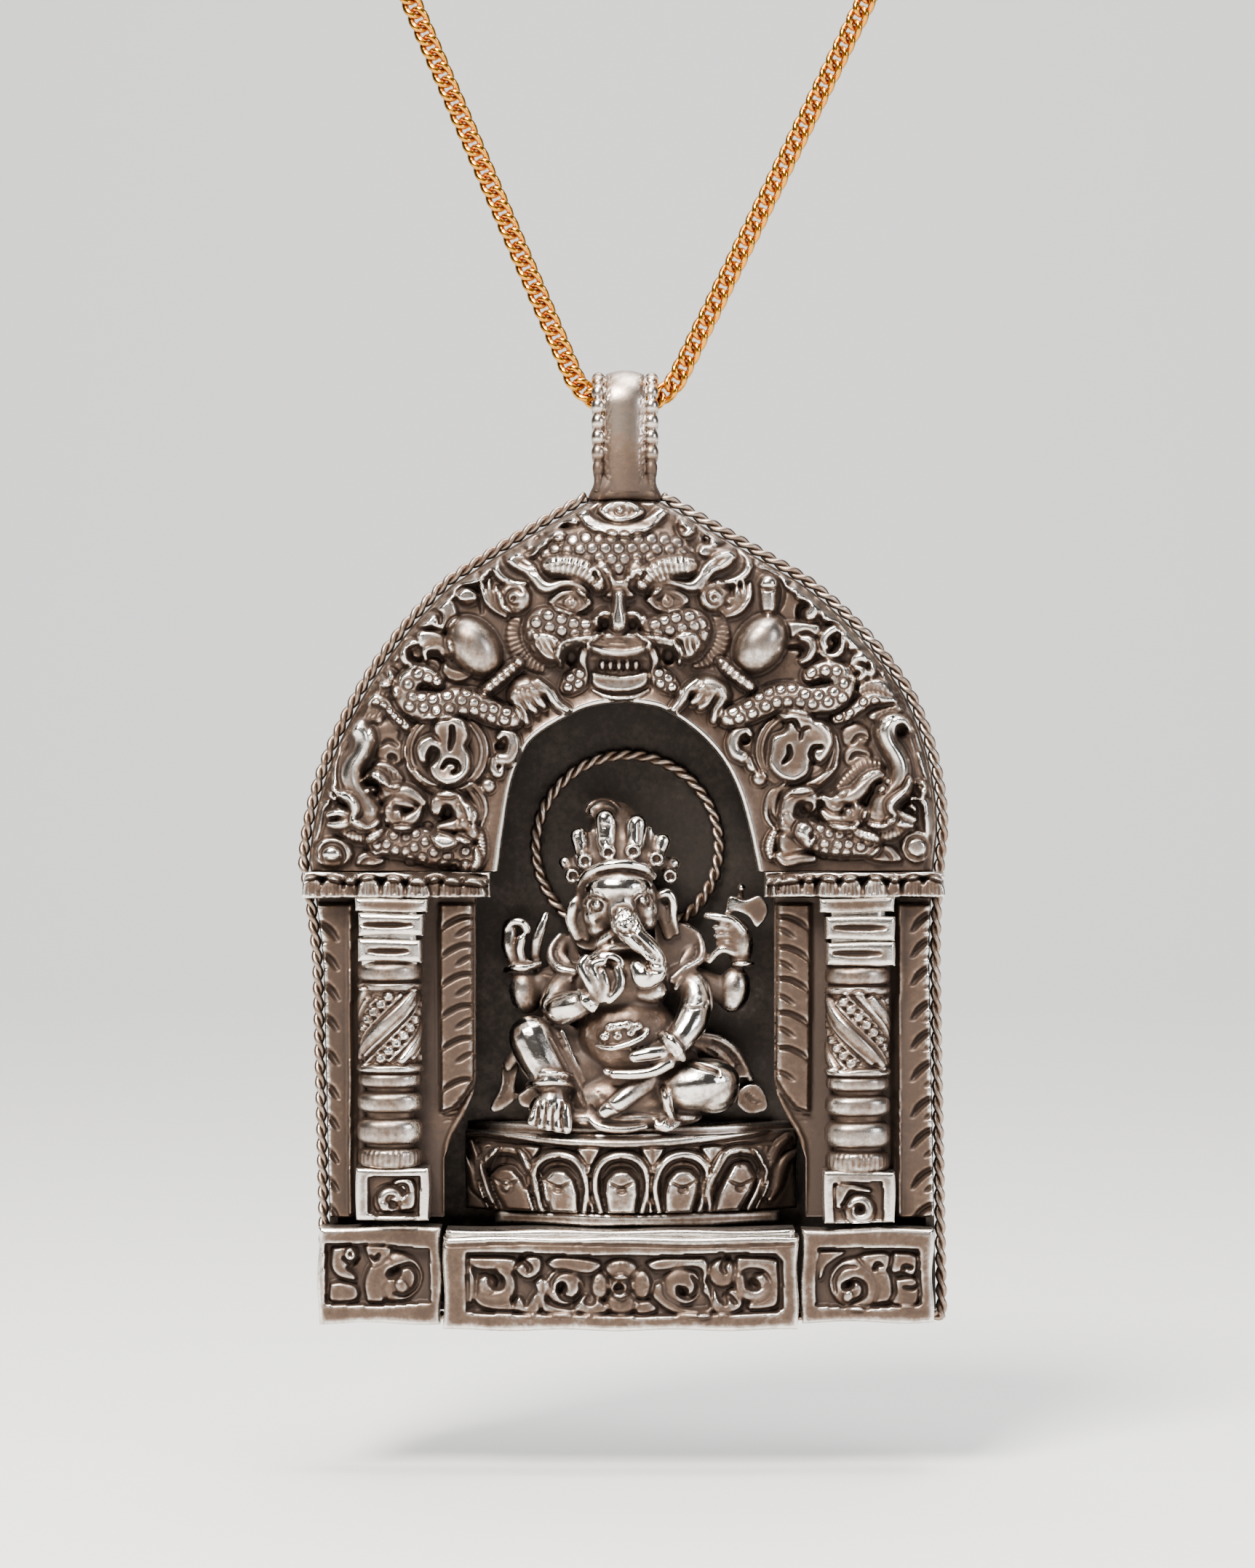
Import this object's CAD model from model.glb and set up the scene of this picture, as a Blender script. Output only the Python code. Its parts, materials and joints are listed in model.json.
import json
import math

import bpy
import numpy as np
from bpy.props import FloatProperty, FloatVectorProperty, PointerProperty
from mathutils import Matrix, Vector

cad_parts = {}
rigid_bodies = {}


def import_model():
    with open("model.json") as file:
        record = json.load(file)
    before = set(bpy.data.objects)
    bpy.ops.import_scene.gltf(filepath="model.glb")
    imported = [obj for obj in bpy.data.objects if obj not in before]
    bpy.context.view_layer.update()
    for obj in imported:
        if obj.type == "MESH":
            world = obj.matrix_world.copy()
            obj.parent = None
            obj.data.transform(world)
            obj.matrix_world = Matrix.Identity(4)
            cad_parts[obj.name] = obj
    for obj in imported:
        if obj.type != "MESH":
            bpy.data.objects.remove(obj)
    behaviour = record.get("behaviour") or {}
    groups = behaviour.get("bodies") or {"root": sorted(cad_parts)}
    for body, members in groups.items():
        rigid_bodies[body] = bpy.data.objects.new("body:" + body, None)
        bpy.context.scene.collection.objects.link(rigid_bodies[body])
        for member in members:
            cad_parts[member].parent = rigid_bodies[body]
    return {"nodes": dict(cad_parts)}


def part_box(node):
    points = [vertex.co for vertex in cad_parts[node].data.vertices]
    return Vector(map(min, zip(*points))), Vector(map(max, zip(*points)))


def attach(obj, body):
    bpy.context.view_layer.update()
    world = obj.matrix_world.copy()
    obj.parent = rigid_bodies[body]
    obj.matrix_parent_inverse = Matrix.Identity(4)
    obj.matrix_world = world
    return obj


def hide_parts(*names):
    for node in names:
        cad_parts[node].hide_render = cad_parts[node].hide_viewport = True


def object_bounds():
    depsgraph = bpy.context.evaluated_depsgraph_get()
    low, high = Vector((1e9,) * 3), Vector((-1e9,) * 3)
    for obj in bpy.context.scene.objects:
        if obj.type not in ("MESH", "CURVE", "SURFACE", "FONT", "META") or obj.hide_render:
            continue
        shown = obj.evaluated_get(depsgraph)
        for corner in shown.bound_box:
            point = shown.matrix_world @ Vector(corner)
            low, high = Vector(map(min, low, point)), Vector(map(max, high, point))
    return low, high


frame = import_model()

bl_info = {
    "name": "Shrine pendant",
    "version": (1, 0, 0),
    "blender": (4, 5, 0),
    "location": "View3D > Sidebar > Shrine pendant",
    "description": "Builds a cast silver shrine pendant with a seated figure, hanging on a woven chain",
    "category": "Object",
}

# The pendant is charted in millimetres: X across, V up from the underside of the base, D forward from
# the back of the case. HANG carries that chart to where the pendant hangs in the frame.
MM = 0.001
halo_low, halo_high = (np.array(corner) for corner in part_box("halo_ring"))
# Where the middle of the halo lies on the chart
HALO_X, HALO_D, HALO_V = 0.2, 1.4, 39.7
HANG = (halo_low + halo_high) / 2 / MM + np.array([-HALO_X, HALO_D, -HALO_V])
size_at_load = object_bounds()

PENDANT = "pendant"
CHAIN = "chain"

# Levels of the build on the chart, mm: the front of the side band, where the castings' edges lie on it, and
# the depth to which they reach behind it. The insets are from the outer edge of the rope rim.
BAND_FACE = 7.06
BEHIND_BAND = 5.95
CASTING_INSET = 1.12
BAND_WALL_INSET = 1.74
ARCH_FOOT = 37.75

# The bail on the chart: its bend's axis, the middle line of its wires, their offset across, their feet
BAIL_V, BAIL_D = 76.3, 5.45
WIRE_BEND, WIRE_X, WIRE_DROP = 2.35, 2.2, 7.2


def placed(x, v, d):
    """Points of the chart, carried to metres in the frame."""
    x, v, d = np.broadcast_arrays(np.asarray(x, float), np.asarray(v, float), np.asarray(d, float))
    return np.stack([HANG[0] + x, HANG[1] - d, HANG[2] + v], axis=-1) * MM


def path(points):
    """Chart points as tuples, whether they come so or written out as 'x,v x,v ...'."""
    if isinstance(points, str):
        return [tuple(float(n) for n in point.split(",")) for point in points.split()]
    return points


def rounded(points, steps=6):
    """A smooth run through the points."""
    p = np.array(points, float)
    if len(p) < 3:
        t = np.linspace(0, 1, steps * (len(p) - 1) + 1)[:, None]
        return p[0] + (p[-1] - p[0]) * t
    ends = np.vstack([2 * p[0] - p[1], p, 2 * p[-1] - p[-2]])
    out = []
    for a, b, c, d in zip(ends, ends[1:], ends[2:], ends[3:]):
        for t in np.arange(steps) / steps:
            out.append(0.5 * (2 * b + (c - a) * t + (2 * a - 5 * b + 4 * c - d) * t * t
                              + (3 * b - a - 3 * c + d) * t ** 3))
    out.append(p[-1])
    return np.array(out)


def evenly(line, count, carried=None):
    """Count + 1 points at even spacing along a line, or what its points carry, taken there."""
    line = np.asarray(line, float)
    step = np.linalg.norm(np.diff(line, axis=0), axis=1)
    reach = np.concatenate([[0], np.cumsum(step)])
    at = np.linspace(0, reach[-1], count + 1)
    values = line if carried is None else carried
    return np.stack([np.interp(at, reach, values[:, k]) for k in range(values.shape[1])], axis=1)


def outward(line):
    """The direction to the right of a run in its plane, point by point."""
    ahead = np.gradient(line, axis=0)
    ahead /= np.linalg.norm(ahead, axis=1)[:, None]
    return np.stack([ahead[:, 1], -ahead[:, 0]], 1)


def within(outline, x, v):
    """Whether each point lies inside a closed outline."""
    inside = np.zeros(x.size, bool)
    for (ax, av), (bx, bv) in zip(outline, outline[1:]):
        crossing = (av > v) != (bv > v)
        with np.errstate(divide="ignore", invalid="ignore"):
            inside ^= crossing & (x < (bx - ax) * (v - av) / (bv - av) + ax)
    return inside


def gathered(parts):
    """Several sets of points and faces as one."""
    points, faces, first = [], [], 0
    for part_points, part_faces in parts:
        points.append(part_points)
        faces += [[i + first for i in face] for face in part_faces]
        first += len(part_points)
    return np.vstack(points), faces


class Carving:
    """A sheet of relief heights over points X, V, cut and raised stroke by stroke as in wax.

    Each stroke lies over the ground, which is what stood when settle was last called. Sizes are in mm,
    turns in degrees. Grow makes broad strokes a little fuller. Scaly is 1 on the circle round each scale."""
    ditch_width = 0.24

    def __init__(self, x, v, grow=0.1):
        self.grow = grow
        self.shape = x.shape
        self.x, self.v = x.ravel(), v.ravel()
        self.h = np.zeros(x.size)
        self.ground = np.zeros(x.size)
        self.scaly = np.zeros(x.size)

    def settle(self):
        """What stands now carries the strokes that follow."""
        self.ground = self.h.copy()

    def near(self, points, reach):
        """Index of the points in the box round some points, reach wider."""
        p = np.asarray(points, float)
        lo, hi = p.min(0) - reach, p.max(0) + reach
        return np.flatnonzero((self.x > lo[0]) & (self.x < hi[0]) & (self.v > lo[1]) & (self.v < hi[1]))

    def follow(self, points, reach, smooth=True):
        """Points near a run: their index, distance, share along, side and the run's length."""
        points = path(points)
        line = rounded(points) if smooth else np.asarray(points, float)
        where = self.near(line, reach)
        x, v = self.x[where], self.v[where]
        best = np.full(where.size, 1e9)
        along = np.zeros(where.size)
        side = np.zeros(where.size)
        length = 0.0
        for (ax, av), (bx, bv) in zip(line, line[1:]):
            dx, dv = bx - ax, bv - av
            run = math.hypot(dx, dv)
            if run < 1e-6:
                continue
            t = np.clip(((x - ax) * dx + (v - av) * dv) / run ** 2, 0, 1)
            away = np.hypot(x - ax - t * dx, v - av - t * dv)
            closer = away < best
            best[closer] = away[closer]
            along[closer] = (length + t * run)[closer]
            side[closer] = (((x - ax) * dv - (v - av) * dx) / run)[closer]
            length += run
        return where, best, along / max(length, 1e-6), side, length

    def raise_to(self, where, q, height, lift, ditch, edge):
        """Lays a rounded section of height over the ground, with a chased line sunk beside it."""
        inside = q > 0
        sel = where[inside]
        laid = self.ground[sel] + lift + height[inside]
        self.scaly[sel[laid > self.h[sel]]] = 0
        self.h[sel] = np.maximum(self.h[sel], laid)
        if ditch:
            beside = (~inside) & (edge < self.ditch_width)
            sel = where[beside]
            self.h[sel] -= ditch * (1 - edge[beside] / self.ditch_width)

    def ridge(self, half, rise, points, taper=(1.0, 1.0), strands=0, ribs=0.0, rib_depth=0.12, lift=0.0,
              ditch=0.15, flat=0.5, smooth=True):
        """A raised run. Strands groove it along its length, ribs across it every ribs mm."""
        half = half + (self.grow if half > 0.22 else 0)
        where, away, share, side, length = self.follow(points, half + 0.3, smooth)
        start, end = taper
        width = half * (1 + (start - 1) * np.clip(1 - share / 0.45, 0, 1) ** 1.5)
        width = width * (1 + (end - 1) * np.clip((share - 0.55) / 0.45, 0, 1) ** 1.5)
        width = np.maximum(width, 0.02)
        q = 1 - (away / width) ** 2.8
        height = rise * np.clip(q, 0, 1) ** flat * (0.45 + 0.55 * width / half)
        if strands:
            wave = 0.5 + 0.5 * np.cos(2 * math.pi * strands * (side / width + 1) / 2)
            height = height - rib_depth * wave ** 2 * (np.clip(q, 0, 1) > 0.05)
        if ribs:
            wave = 0.5 + 0.5 * np.cos(2 * math.pi * share * length / ribs)
            height = height - rib_depth * wave ** 3
        self.raise_to(where, q, height, lift, ditch, away - width)

    def groove(self, half, depth, points, taper=(0.4, 0.4), smooth=True):
        """A cut run, deepest along its middle."""
        where, away, share, _, _ = self.follow(points, half * 1.6, smooth)
        start, end = taper
        width = half * np.minimum(start + (1 - start) * share / 0.3, 1)
        width = np.minimum(width, half * np.minimum(end + (1 - end) * (1 - share) / 0.3, 1))
        q = np.clip(1 - (away / np.maximum(width, 0.03)) ** 2, 0, 1)
        self.h[where] -= depth * q

    def oval(self, x, v, a, b, turn, reach):
        """Points near an oval, a by b: their index, and how far out they lie, with 1 on its edge."""
        where = self.near([(x, v)], reach)
        c, s = math.cos(math.radians(turn)), math.sin(math.radians(turn))
        dx, dv = self.x[where] - x, self.v[where] - v
        return where, np.hypot((dx * c + dv * s) / a, (dv * c - dx * s) / b)

    def dome(self, x, v, a, b, turn, rise, lift=0.0, ditch=0.15, flat=0.5):
        """A cushion, a by b."""
        a, b = a + self.grow / 2, b + self.grow / 2
        where, r = self.oval(x, v, a, b, turn, max(a, b) + 0.3)
        self.raise_to(where, 1 - r, rise * np.clip(1 - r ** 2.6, 0, 1) ** flat, lift, ditch,
                      (r - 1) * min(a, b))

    def pit(self, x, v, a, b, turn, depth):
        """A hollow, a by b, with steep sides."""
        where, r = self.oval(x, v, a, b, turn, max(a, b) * 1.3)
        self.h[where] -= depth * np.clip(1.25 * (1 - r ** 3), 0, 1)

    def ring(self, x, v, radius, half, rise, lift=0.0):
        """A raised circle."""
        where = self.near([(x, v)], radius + half)
        away = np.abs(np.hypot(self.x[where] - x, self.v[where] - v) - radius) / half
        inside = away < 1
        sel = where[inside]
        self.h[sel] = np.maximum(self.h[sel],
                                 self.ground[sel] + lift + rise * np.sqrt(1 - away[inside] ** 2))

    def scale(self, x, v, radius, depth=0.2):
        """One bead of a scaly skin: a domed disc inside a cut circle, marked 1 on the circle."""
        where = self.near([(x, v)], radius * 1.6)
        r = np.hypot(self.x[where] - x, self.v[where] - v) / radius
        self.scaly[where] = np.where(r < 1, 2 - r, np.maximum(self.scaly[where], 2 - r))
        disc = r < 0.8
        self.h[where[disc]] = self.ground[where[disc]] + 0.3 * depth * (1 - (r[disc] / 0.8) ** 4)
        cut = self.ground[where] - 1.2 * depth * np.exp(-((r - 0.95) / 0.17) ** 2)
        self.h[where[~disc]] = np.minimum(self.h[where[~disc]], cut[~disc])

    def leaf(self, rise, points, edge=0.35, lift=0.0, ditch=0.15, flat=0.6, smooth=True):
        """A raised patch inside a closed outline, its edge rounded off over edge mm."""
        points = list(path(points))
        line = np.array(points + points[:1], float)
        line = rounded(line) if smooth else line
        where = self.near(line, 0.35)
        x, v = self.x[where], self.v[where]
        inside = within(line, x, v)
        away = np.full(where.size, 1e9)
        for (ax, av), (bx, bv) in zip(line, line[1:]):
            dx, dv = bx - ax, bv - av
            run = dx * dx + dv * dv
            if run < 1e-9:
                continue
            t = np.clip(((x - ax) * dx + (v - av) * dv) / run, 0, 1)
            away = np.minimum(away, np.hypot(x - ax - t * dx, v - av - t * dv))
        proud = np.where(inside, away, -away) + self.grow
        round_off = 1 - (1 - np.clip(proud / edge, 0, 1)) ** 2
        self.raise_to(where, proud, rise * round_off ** flat, lift, ditch, -proud)

    def sink(self, outline, depth):
        """A panel let in with steep sides inside an outline."""
        outline = path(outline)
        self.h[within(np.array(outline + outline[:1], float), self.x, self.v)] -= depth

    def curl(self, x, v, radius, turns, start, hand, half, rise, end=0.25, **more):
        """A scroll that winds inward: hand 1 turns anticlockwise, -1 clockwise."""
        a = math.radians(start) + hand * np.linspace(0, turns * 2 * math.pi, int(10 * turns) + 4)
        r = radius * np.linspace(1, end, a.size)
        self.ridge(half, rise, np.stack([x + r * np.cos(a), v + r * np.sin(a)], 1), **more)

    def smoothed(self):
        """The heights as a grid, with the cutter's facets stoned off."""
        h = self.h.reshape(self.shape)
        pad = np.pad(h, ((1, 1), (0, 0)), mode="edge")
        h = 0.25 * pad[:-2] + 0.5 * h + 0.25 * pad[2:]
        pad = np.pad(h, ((0, 0), (1, 1)), mode="edge")
        return 0.25 * pad[:, :-2] + 0.5 * h + 0.25 * pad[:, 2:]


def laid_out(name, points, faces):
    """A mesh object at the origin, from points in metres."""
    mesh = bpy.data.meshes.new(name)
    mesh.from_pydata(points.tolist(), [], faces)
    piece = bpy.data.objects.new(name, mesh)
    bpy.context.scene.collection.objects.link(piece)
    return piece


def turned_outwards(piece):
    """Turns every face of a piece to point outwards."""
    bpy.ops.object.select_all(action="DESELECT")
    bpy.context.view_layer.objects.active = piece
    piece.select_set(True)
    bpy.ops.object.mode_set(mode="EDIT")
    bpy.ops.mesh.select_all(action="SELECT")
    bpy.ops.mesh.normals_make_consistent(inside=False)
    bpy.ops.object.mode_set(mode="OBJECT")


def new_piece(name, points, faces, material, replaces, slot, body=PENDANT):
    """A finished piece, from points on the chart's scale in mm, with its place in its points."""
    piece = laid_out(name, points * MM, faces)
    piece.data.validate()
    piece.data.update()
    piece.data.polygons.foreach_set("use_smooth", [True] * len(piece.data.polygons))
    turned_outwards(piece)
    finish(piece, material, replaces, body)
    return piece


def finish(piece, material, replaces, body=PENDANT):
    """Wear marks, finish, body and place in the table for a piece."""
    mark_wear(piece)
    piece.data.materials.clear()
    piece.data.materials.append(material)
    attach(piece, body)
    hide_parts(*replaces)


def places(piece):
    """The piece's points in mm, in the frame."""
    co = np.empty(len(piece.data.vertices) * 3)
    piece.data.vertices.foreach_get("co", co)
    return co.reshape(-1, 3) / MM


def set_mark(piece, name, values):
    """Stores a value for each point under a name that the finish reads."""
    layer = piece.data.attributes.get(name) or piece.data.attributes.new(name, "FLOAT", "POINT")
    layer.data.foreach_set("value", np.asarray(values, np.float32))


def mark(piece, name):
    """The values stored on the piece's points under a name."""
    values = np.empty(len(piece.data.vertices), np.float32)
    piece.data.attributes[name].data.foreach_get("value", values)
    return values


def mark_wear(piece):
    """Stores how proud or sunk each point lies, in mm, so that high spots polish and hollows blacken."""
    mesh = piece.data
    count = len(mesh.vertices)
    co = places(piece)
    normal = np.empty(count * 3)
    mesh.vertex_normals.foreach_get("vector", normal)
    normal = normal.reshape(-1, 3)
    ends = np.empty(len(mesh.edges) * 2, int)
    mesh.edges.foreach_get("vertices", ends)
    a, b = ends.reshape(-1, 2).T
    near = np.maximum(np.bincount(a, minlength=count) + np.bincount(b, minlength=count), 1)

    def even(values):
        """Each point drawn most of the way to the mean of those beside it."""
        total = np.stack([np.bincount(a, values[:, k][b], count) + np.bincount(b, values[:, k][a], count)
                          for k in range(values.shape[1])], 1)
        return 0.3 * values + 0.7 * total / near[:, None]

    soft = co
    for _ in range(5):
        soft = even(soft)
    fine = ((co - soft) * normal).sum(1)
    for _ in range(22):
        soft = even(soft)
    swell = ((co - soft) * normal).sum(1)
    fine, swell = even(np.stack([fine, swell], 1)).T
    for name, values in (("fine", fine), ("swell", swell), ("broad", swell)):
        set_mark(piece, name, values)


# The castings that lie in one relief, in which cloth and fingers reach the parts that stand proud
RUBBED = ("arch_relief", "left_pillar_cast", "right_pillar_cast", "left_plinth_cast", "right_plinth_cast",
          "base_panel_cast", "lotus_seat", "seated_figure", "rope_wire")


def dulled(piece, first, last, amount):
    """Keeps the film on the points from first to last, which nothing rubs."""
    for name, share, less in (("fine", 0.6, 0), ("swell", 1.0, amount)):
        marks = mark(piece, name)
        marks[first:last] = marks[first:last] * share - less
        set_mark(piece, name, marks)


def rub_bail(piece):
    """Bright where the bail bends towards the eye, brown below that, black between its beads."""
    co = places(piece)
    x, d, v = np.abs(co[:, 0] - HANG[0]), HANG[1] - co[:, 1] - BAIL_D, co[:, 2] - HANG[2]
    out = np.where(v > BAIL_V, np.hypot(d, v - BAIL_V), np.abs(d)) - WIRE_BEND
    rng = np.random.default_rng(12)
    bead = (x > 1.62) & (v > 70.4)
    torn = (x > 1.15) & ~bead
    across_bead = np.interp(np.hypot(x - WIRE_X, out), [0.36, 0.46, 0.56], [-0.5, -0.15, 0.3])
    up_bail = np.interp(v, [68, 71, 72, 73.2, 75, 78, 79.4], [-1.1, -0.9, -0.2, 0.6, 1.0, 1.3, 0.6])
    set_mark(piece, "swell", np.where(bead, across_bead, 0.1))
    set_mark(piece, "fine", np.where(bead, 0.04, np.where(torn, rng.normal(-0.03, 0.09, x.size), 0.0)))
    set_mark(piece, "broad", up_bail)


def rub_relief(pieces):
    """Stores on each point how far it stands out of the relief around it, in mm, as broad."""
    # A map of how far forward the whole front stands, with the niche's floor laid in first
    cell = 0.2
    low = np.array([-32.0, -2.0])
    field = np.full((330, 420), 7.0)
    field[95:225, 90:270] = 1.0
    clouds = []
    for piece in pieces:
        co = places(piece)
        spot = np.stack([co[:, 0] - HANG[0], co[:, 2] - HANG[2]], 1)
        place = ((spot - low) / cell).astype(int).clip(0, np.array(field.shape) - 1)
        depth = HANG[1] - co[:, 1]
        np.maximum.at(field, (place[:, 0], place[:, 1]), depth)
        clouds.append((piece, spot, place, depth))

    def blurred(values, radius):
        """The map blurred over a radius in mm, by running means both ways."""
        reach = max(1, round(radius / cell))
        for axis in (0, 1):
            for _ in range(3):
                pad = [(0, 0), (0, 0)]
                pad[axis] = (reach + 1, reach)
                total = np.pad(values, pad, "edge").cumsum(axis)
                head = total[2 * reach + 1:] if axis == 0 else total[:, 2 * reach + 1:]
                tail = total[:-2 * reach - 1] if axis == 0 else total[:, :-2 * reach - 1]
                values = (head - tail) / (2 * reach + 1)
        return values

    close = blurred(field, 0.55)
    far = blurred(field, 1.6)
    for piece, spot, place, depth in clouds:
        here = depth - close[place[:, 0], place[:, 1]]
        there = depth - far[place[:, 0], place[:, 1]]
        value = np.clip(here, -1, 1.5) * 0.5 + np.clip(there, -1.5, 2) * 0.5
        # Flat faces that stand proud keep their film, except the rings of the shafts; so does what lies back
        across = np.abs(spot[:, 0])
        if "shelter" in piece.data.attributes:
            value = value - 1.5 * mark(piece, "shelter")
        if "plinth" in piece.name or "panel" in piece.name:
            value = np.minimum(value, 0.3 * value) - 0.35
        elif "figure" in piece.name:
            deep = np.interp(depth, [3.5, 5.5, 7.0], [-1.3, -0.7, 0.0])
            crown_knob = spot[:, 1] > 42.3
            value = value + deep - 1.2 * crown_knob
        elif "rope" in piece.name:
            value = value - 0.6
        elif "pillar" in piece.name:
            beside_shaft = (across < 16.2) | (across > 22.4)
            value = np.where(beside_shaft, np.minimum(value, 0.2 * value) - 0.1, value)
        set_mark(piece, "broad", value)


def grid_faces(rows, columns, first=0, flip=False):
    """Quads of a grid of points, rows by columns."""
    i, j = np.meshgrid(np.arange(rows - 1), np.arange(columns - 1), indexing="ij")
    a = first + i * columns + j
    quads = np.stack([a, a + 1, a + columns + 1, a + columns], -1).reshape(-1, 4)
    return quads[:, ::-1] if flip else quads


def linear(code):
    """An sRGB hex colour as linear red, green and blue."""
    parts = [int(code[i:i + 2], 16) / 255 for i in (1, 3, 5)]
    return tuple(p / 12.92 if p <= 0.04045 else ((p + 0.055) / 1.055) ** 2.4 for p in parts)


def add(tree, kind, inputs=(), stops=(), **settings):
    """One node. Settings are its own; inputs give each socket a value or the output that feeds it; stops
    are a colour ramp's, as (position, colour or grey)."""
    node = tree.nodes.new(kind)
    while stops and len(node.color_ramp.elements) < len(stops):
        node.color_ramp.elements.new(0.5)
    for element, (position, colour) in zip(node.color_ramp.elements if stops else (), stops):
        element.position = position
        element.color = (colour, colour, colour, 1) if isinstance(colour, float) else (*colour, 1)
    for name, value in settings.items():
        setattr(node, name, value)
    for socket, value in dict(inputs).items():
        if isinstance(value, bpy.types.NodeSocket):
            tree.links.new(value, node.inputs[socket])
        else:
            node.inputs[socket].default_value = value
    return node


def blank(name):
    """A new material, its node tree and its surface shader."""
    material = bpy.data.materials.new(name)
    material.use_nodes = True
    tree = material.node_tree
    return material, tree, tree.nodes["Principled BSDF"]


def per_mm(size):
    """A texture scale that gives features of size mm, for coordinates in metres."""
    return 1 / (size * MM)


def worn_metal(name, bright, mid, dark, tarnish=0.5, polish=0.2, reach=1.0, grain=0.12, blotch=1.0):
    """Cast metal with a wear pattern. High spots are rubbed bright, the hollows keep their black
    sulphide, and between them lies a thin warm film, so that the eye reads the relief by its tone."""
    made = bpy.data.materials.get(name)
    if made:
        return made
    material, tree, surface = blank(name)
    place = add(tree, "ShaderNodeTexCoord").outputs["Object"]
    # Sharp edges rub first, then round swellings; what stands low keeps its tarnish
    parts = []
    for attribute, sunk, proud, film, rub in (("fine", -0.11, 0.09, -0.22, 0.34),
                                              ("swell", -0.4, 0.22, -0.16, 0.22),
                                              ("broad", -1.0, 1.2, -0.26, 0.36)):
        value = add(tree, "ShaderNodeAttribute", attribute_name=attribute).outputs["Fac"]
        for low, high, least, most in ((0.0, proud * reach, 0.0, rub), (sunk * reach, 0.0, film, 0.0)):
            parts.append(add(tree, "ShaderNodeMapRange", {"Value": value, "From Min": low, "From Max": high,
                                                          "To Min": least, "To Max": most}).outputs[0])
    # Handling wears in patches of a few millimetres, the film mottles below one
    for size, detail, share in ((5, 3.0, 0.11), (1.6, 3.0, 0.08), (0.45, 4.0, 0.1)):
        cloud = add(tree, "ShaderNodeTexNoise", {"Vector": place, "Scale": per_mm(size), "Detail": detail,
                                                 "Roughness": 0.62}).outputs["Fac"]
        parts.append(add(tree, "ShaderNodeMapRange",
                         {"Value": cloud, "From Min": 0.32, "From Max": 0.68, "To Min": -share * blotch,
                          "To Max": share * blotch}).outputs[0])
    # Each scale is a bright bead in a thin black circle
    value = add(tree, "ShaderNodeAttribute", attribute_name="scaly").outputs["Fac"]
    inwards = add(tree, "ShaderNodeMath", {0: value, 1: 1.0}, operation="SUBTRACT").outputs[0]
    circle = add(tree, "ShaderNodeMath", {0: inwards}, operation="ABSOLUTE").outputs[0]
    for value, low, high, least, most in ((circle, 0.08, 0.26, -0.5, 0.0), (inwards, 0.2, 0.4, 0.0, 0.16)):
        parts.append(add(tree, "ShaderNodeMapRange", {"Value": value, "From Min": low, "From Max": high,
                                                      "To Min": least, "To Max": most}).outputs[0])
    wear = add(tree, "ShaderNodeMath", {0: parts[0], 1: 0.88 - tarnish}, operation="ADD").outputs[0]
    for part in parts[1:]:
        wear = add(tree, "ShaderNodeMath", {0: wear, 1: part}, operation="ADD").outputs[0]
    between, under, low = (tuple(share * a + (1 - share) * b for a, b in zip(mid, other))
                           for share, other in ((0.72, bright), (0.45, dark), (0.12, dark)))
    for socket, stops in (
            ("Base Color", ((0.0, low), (0.26, under), (0.48, mid), (0.72, between), (1.0, bright))),
            ("Roughness", ((0.0, 0.6), (0.35, 0.45), (0.62, 0.36), (0.95, polish))),
            ("Metallic", ((0.0, 0.6), (0.25, 0.9), (0.45, 1.0)))):
        ramp = add(tree, "ShaderNodeValToRGB", {0: wear}, stops)
        tree.links.new(ramp.outputs[0], surface.inputs[socket])
    # Sand-cast skin, finer than a grain of sand
    skin = add(tree, "ShaderNodeTexNoise",
               {"Vector": place, "Scale": per_mm(grain), "Detail": 3.0, "Roughness": 0.6})
    bump = add(tree, "ShaderNodeBump",
               {"Height": skin.outputs["Fac"], "Strength": 0.4, "Distance": 0.03 * MM})
    cut = add(tree, "ShaderNodeMapRange", {"Value": circle, "From Min": 0.0, "From Max": 0.3}).outputs[0]
    bump = add(tree, "ShaderNodeBump", {"Height": cut, "Strength": 0.8, "Distance": 0.09 * MM,
                                        "Normal": bump.outputs[0]})
    tree.links.new(bump.outputs["Normal"], surface.inputs["Normal"])
    return material


def handled_silver(s):
    """The figure's silver, which fingers rub most: every round form is polished at its top."""
    return worn_metal("handled_silver", s.silver, s.film, s.sulphide, s.tarnish - 0.02, polish=0.14,
                      reach=0.55)


def cast_silver(s):
    """Silver with a low grey-pink film: bright where cloth rubs it, near black where it doesn't reach."""
    return worn_metal("rubbed_cast_silver", s.silver, s.film, s.sulphide, s.tarnish)


def tarnished_silver(s):
    """The same silver as thin wire and on the bail, browner from skin and air."""
    return worn_metal("skin_browned_silver", linear("#dcd0c4"), linear("#7d6859"), s.sulphide,
                      s.tarnish + 0.04, polish=0.24)


def blackened_silver():
    """Plate left black from the liver-of-sulphur bath, with rubbed grey specks."""
    return worn_metal("sulphur_blackened_silver", linear("#857a72"), linear("#3d3733"), linear("#1d1a18"),
                      0.55, polish=0.4)


def gold_wash(s):
    """Thin gold over silver: deep yellow on top, copper-brown where the wash has gone."""
    return worn_metal("worn_gold_wash", s.gold, linear("#96592c"), linear("#45281a"), 0.47, polish=0.22,
                      grain=0.2)


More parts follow.
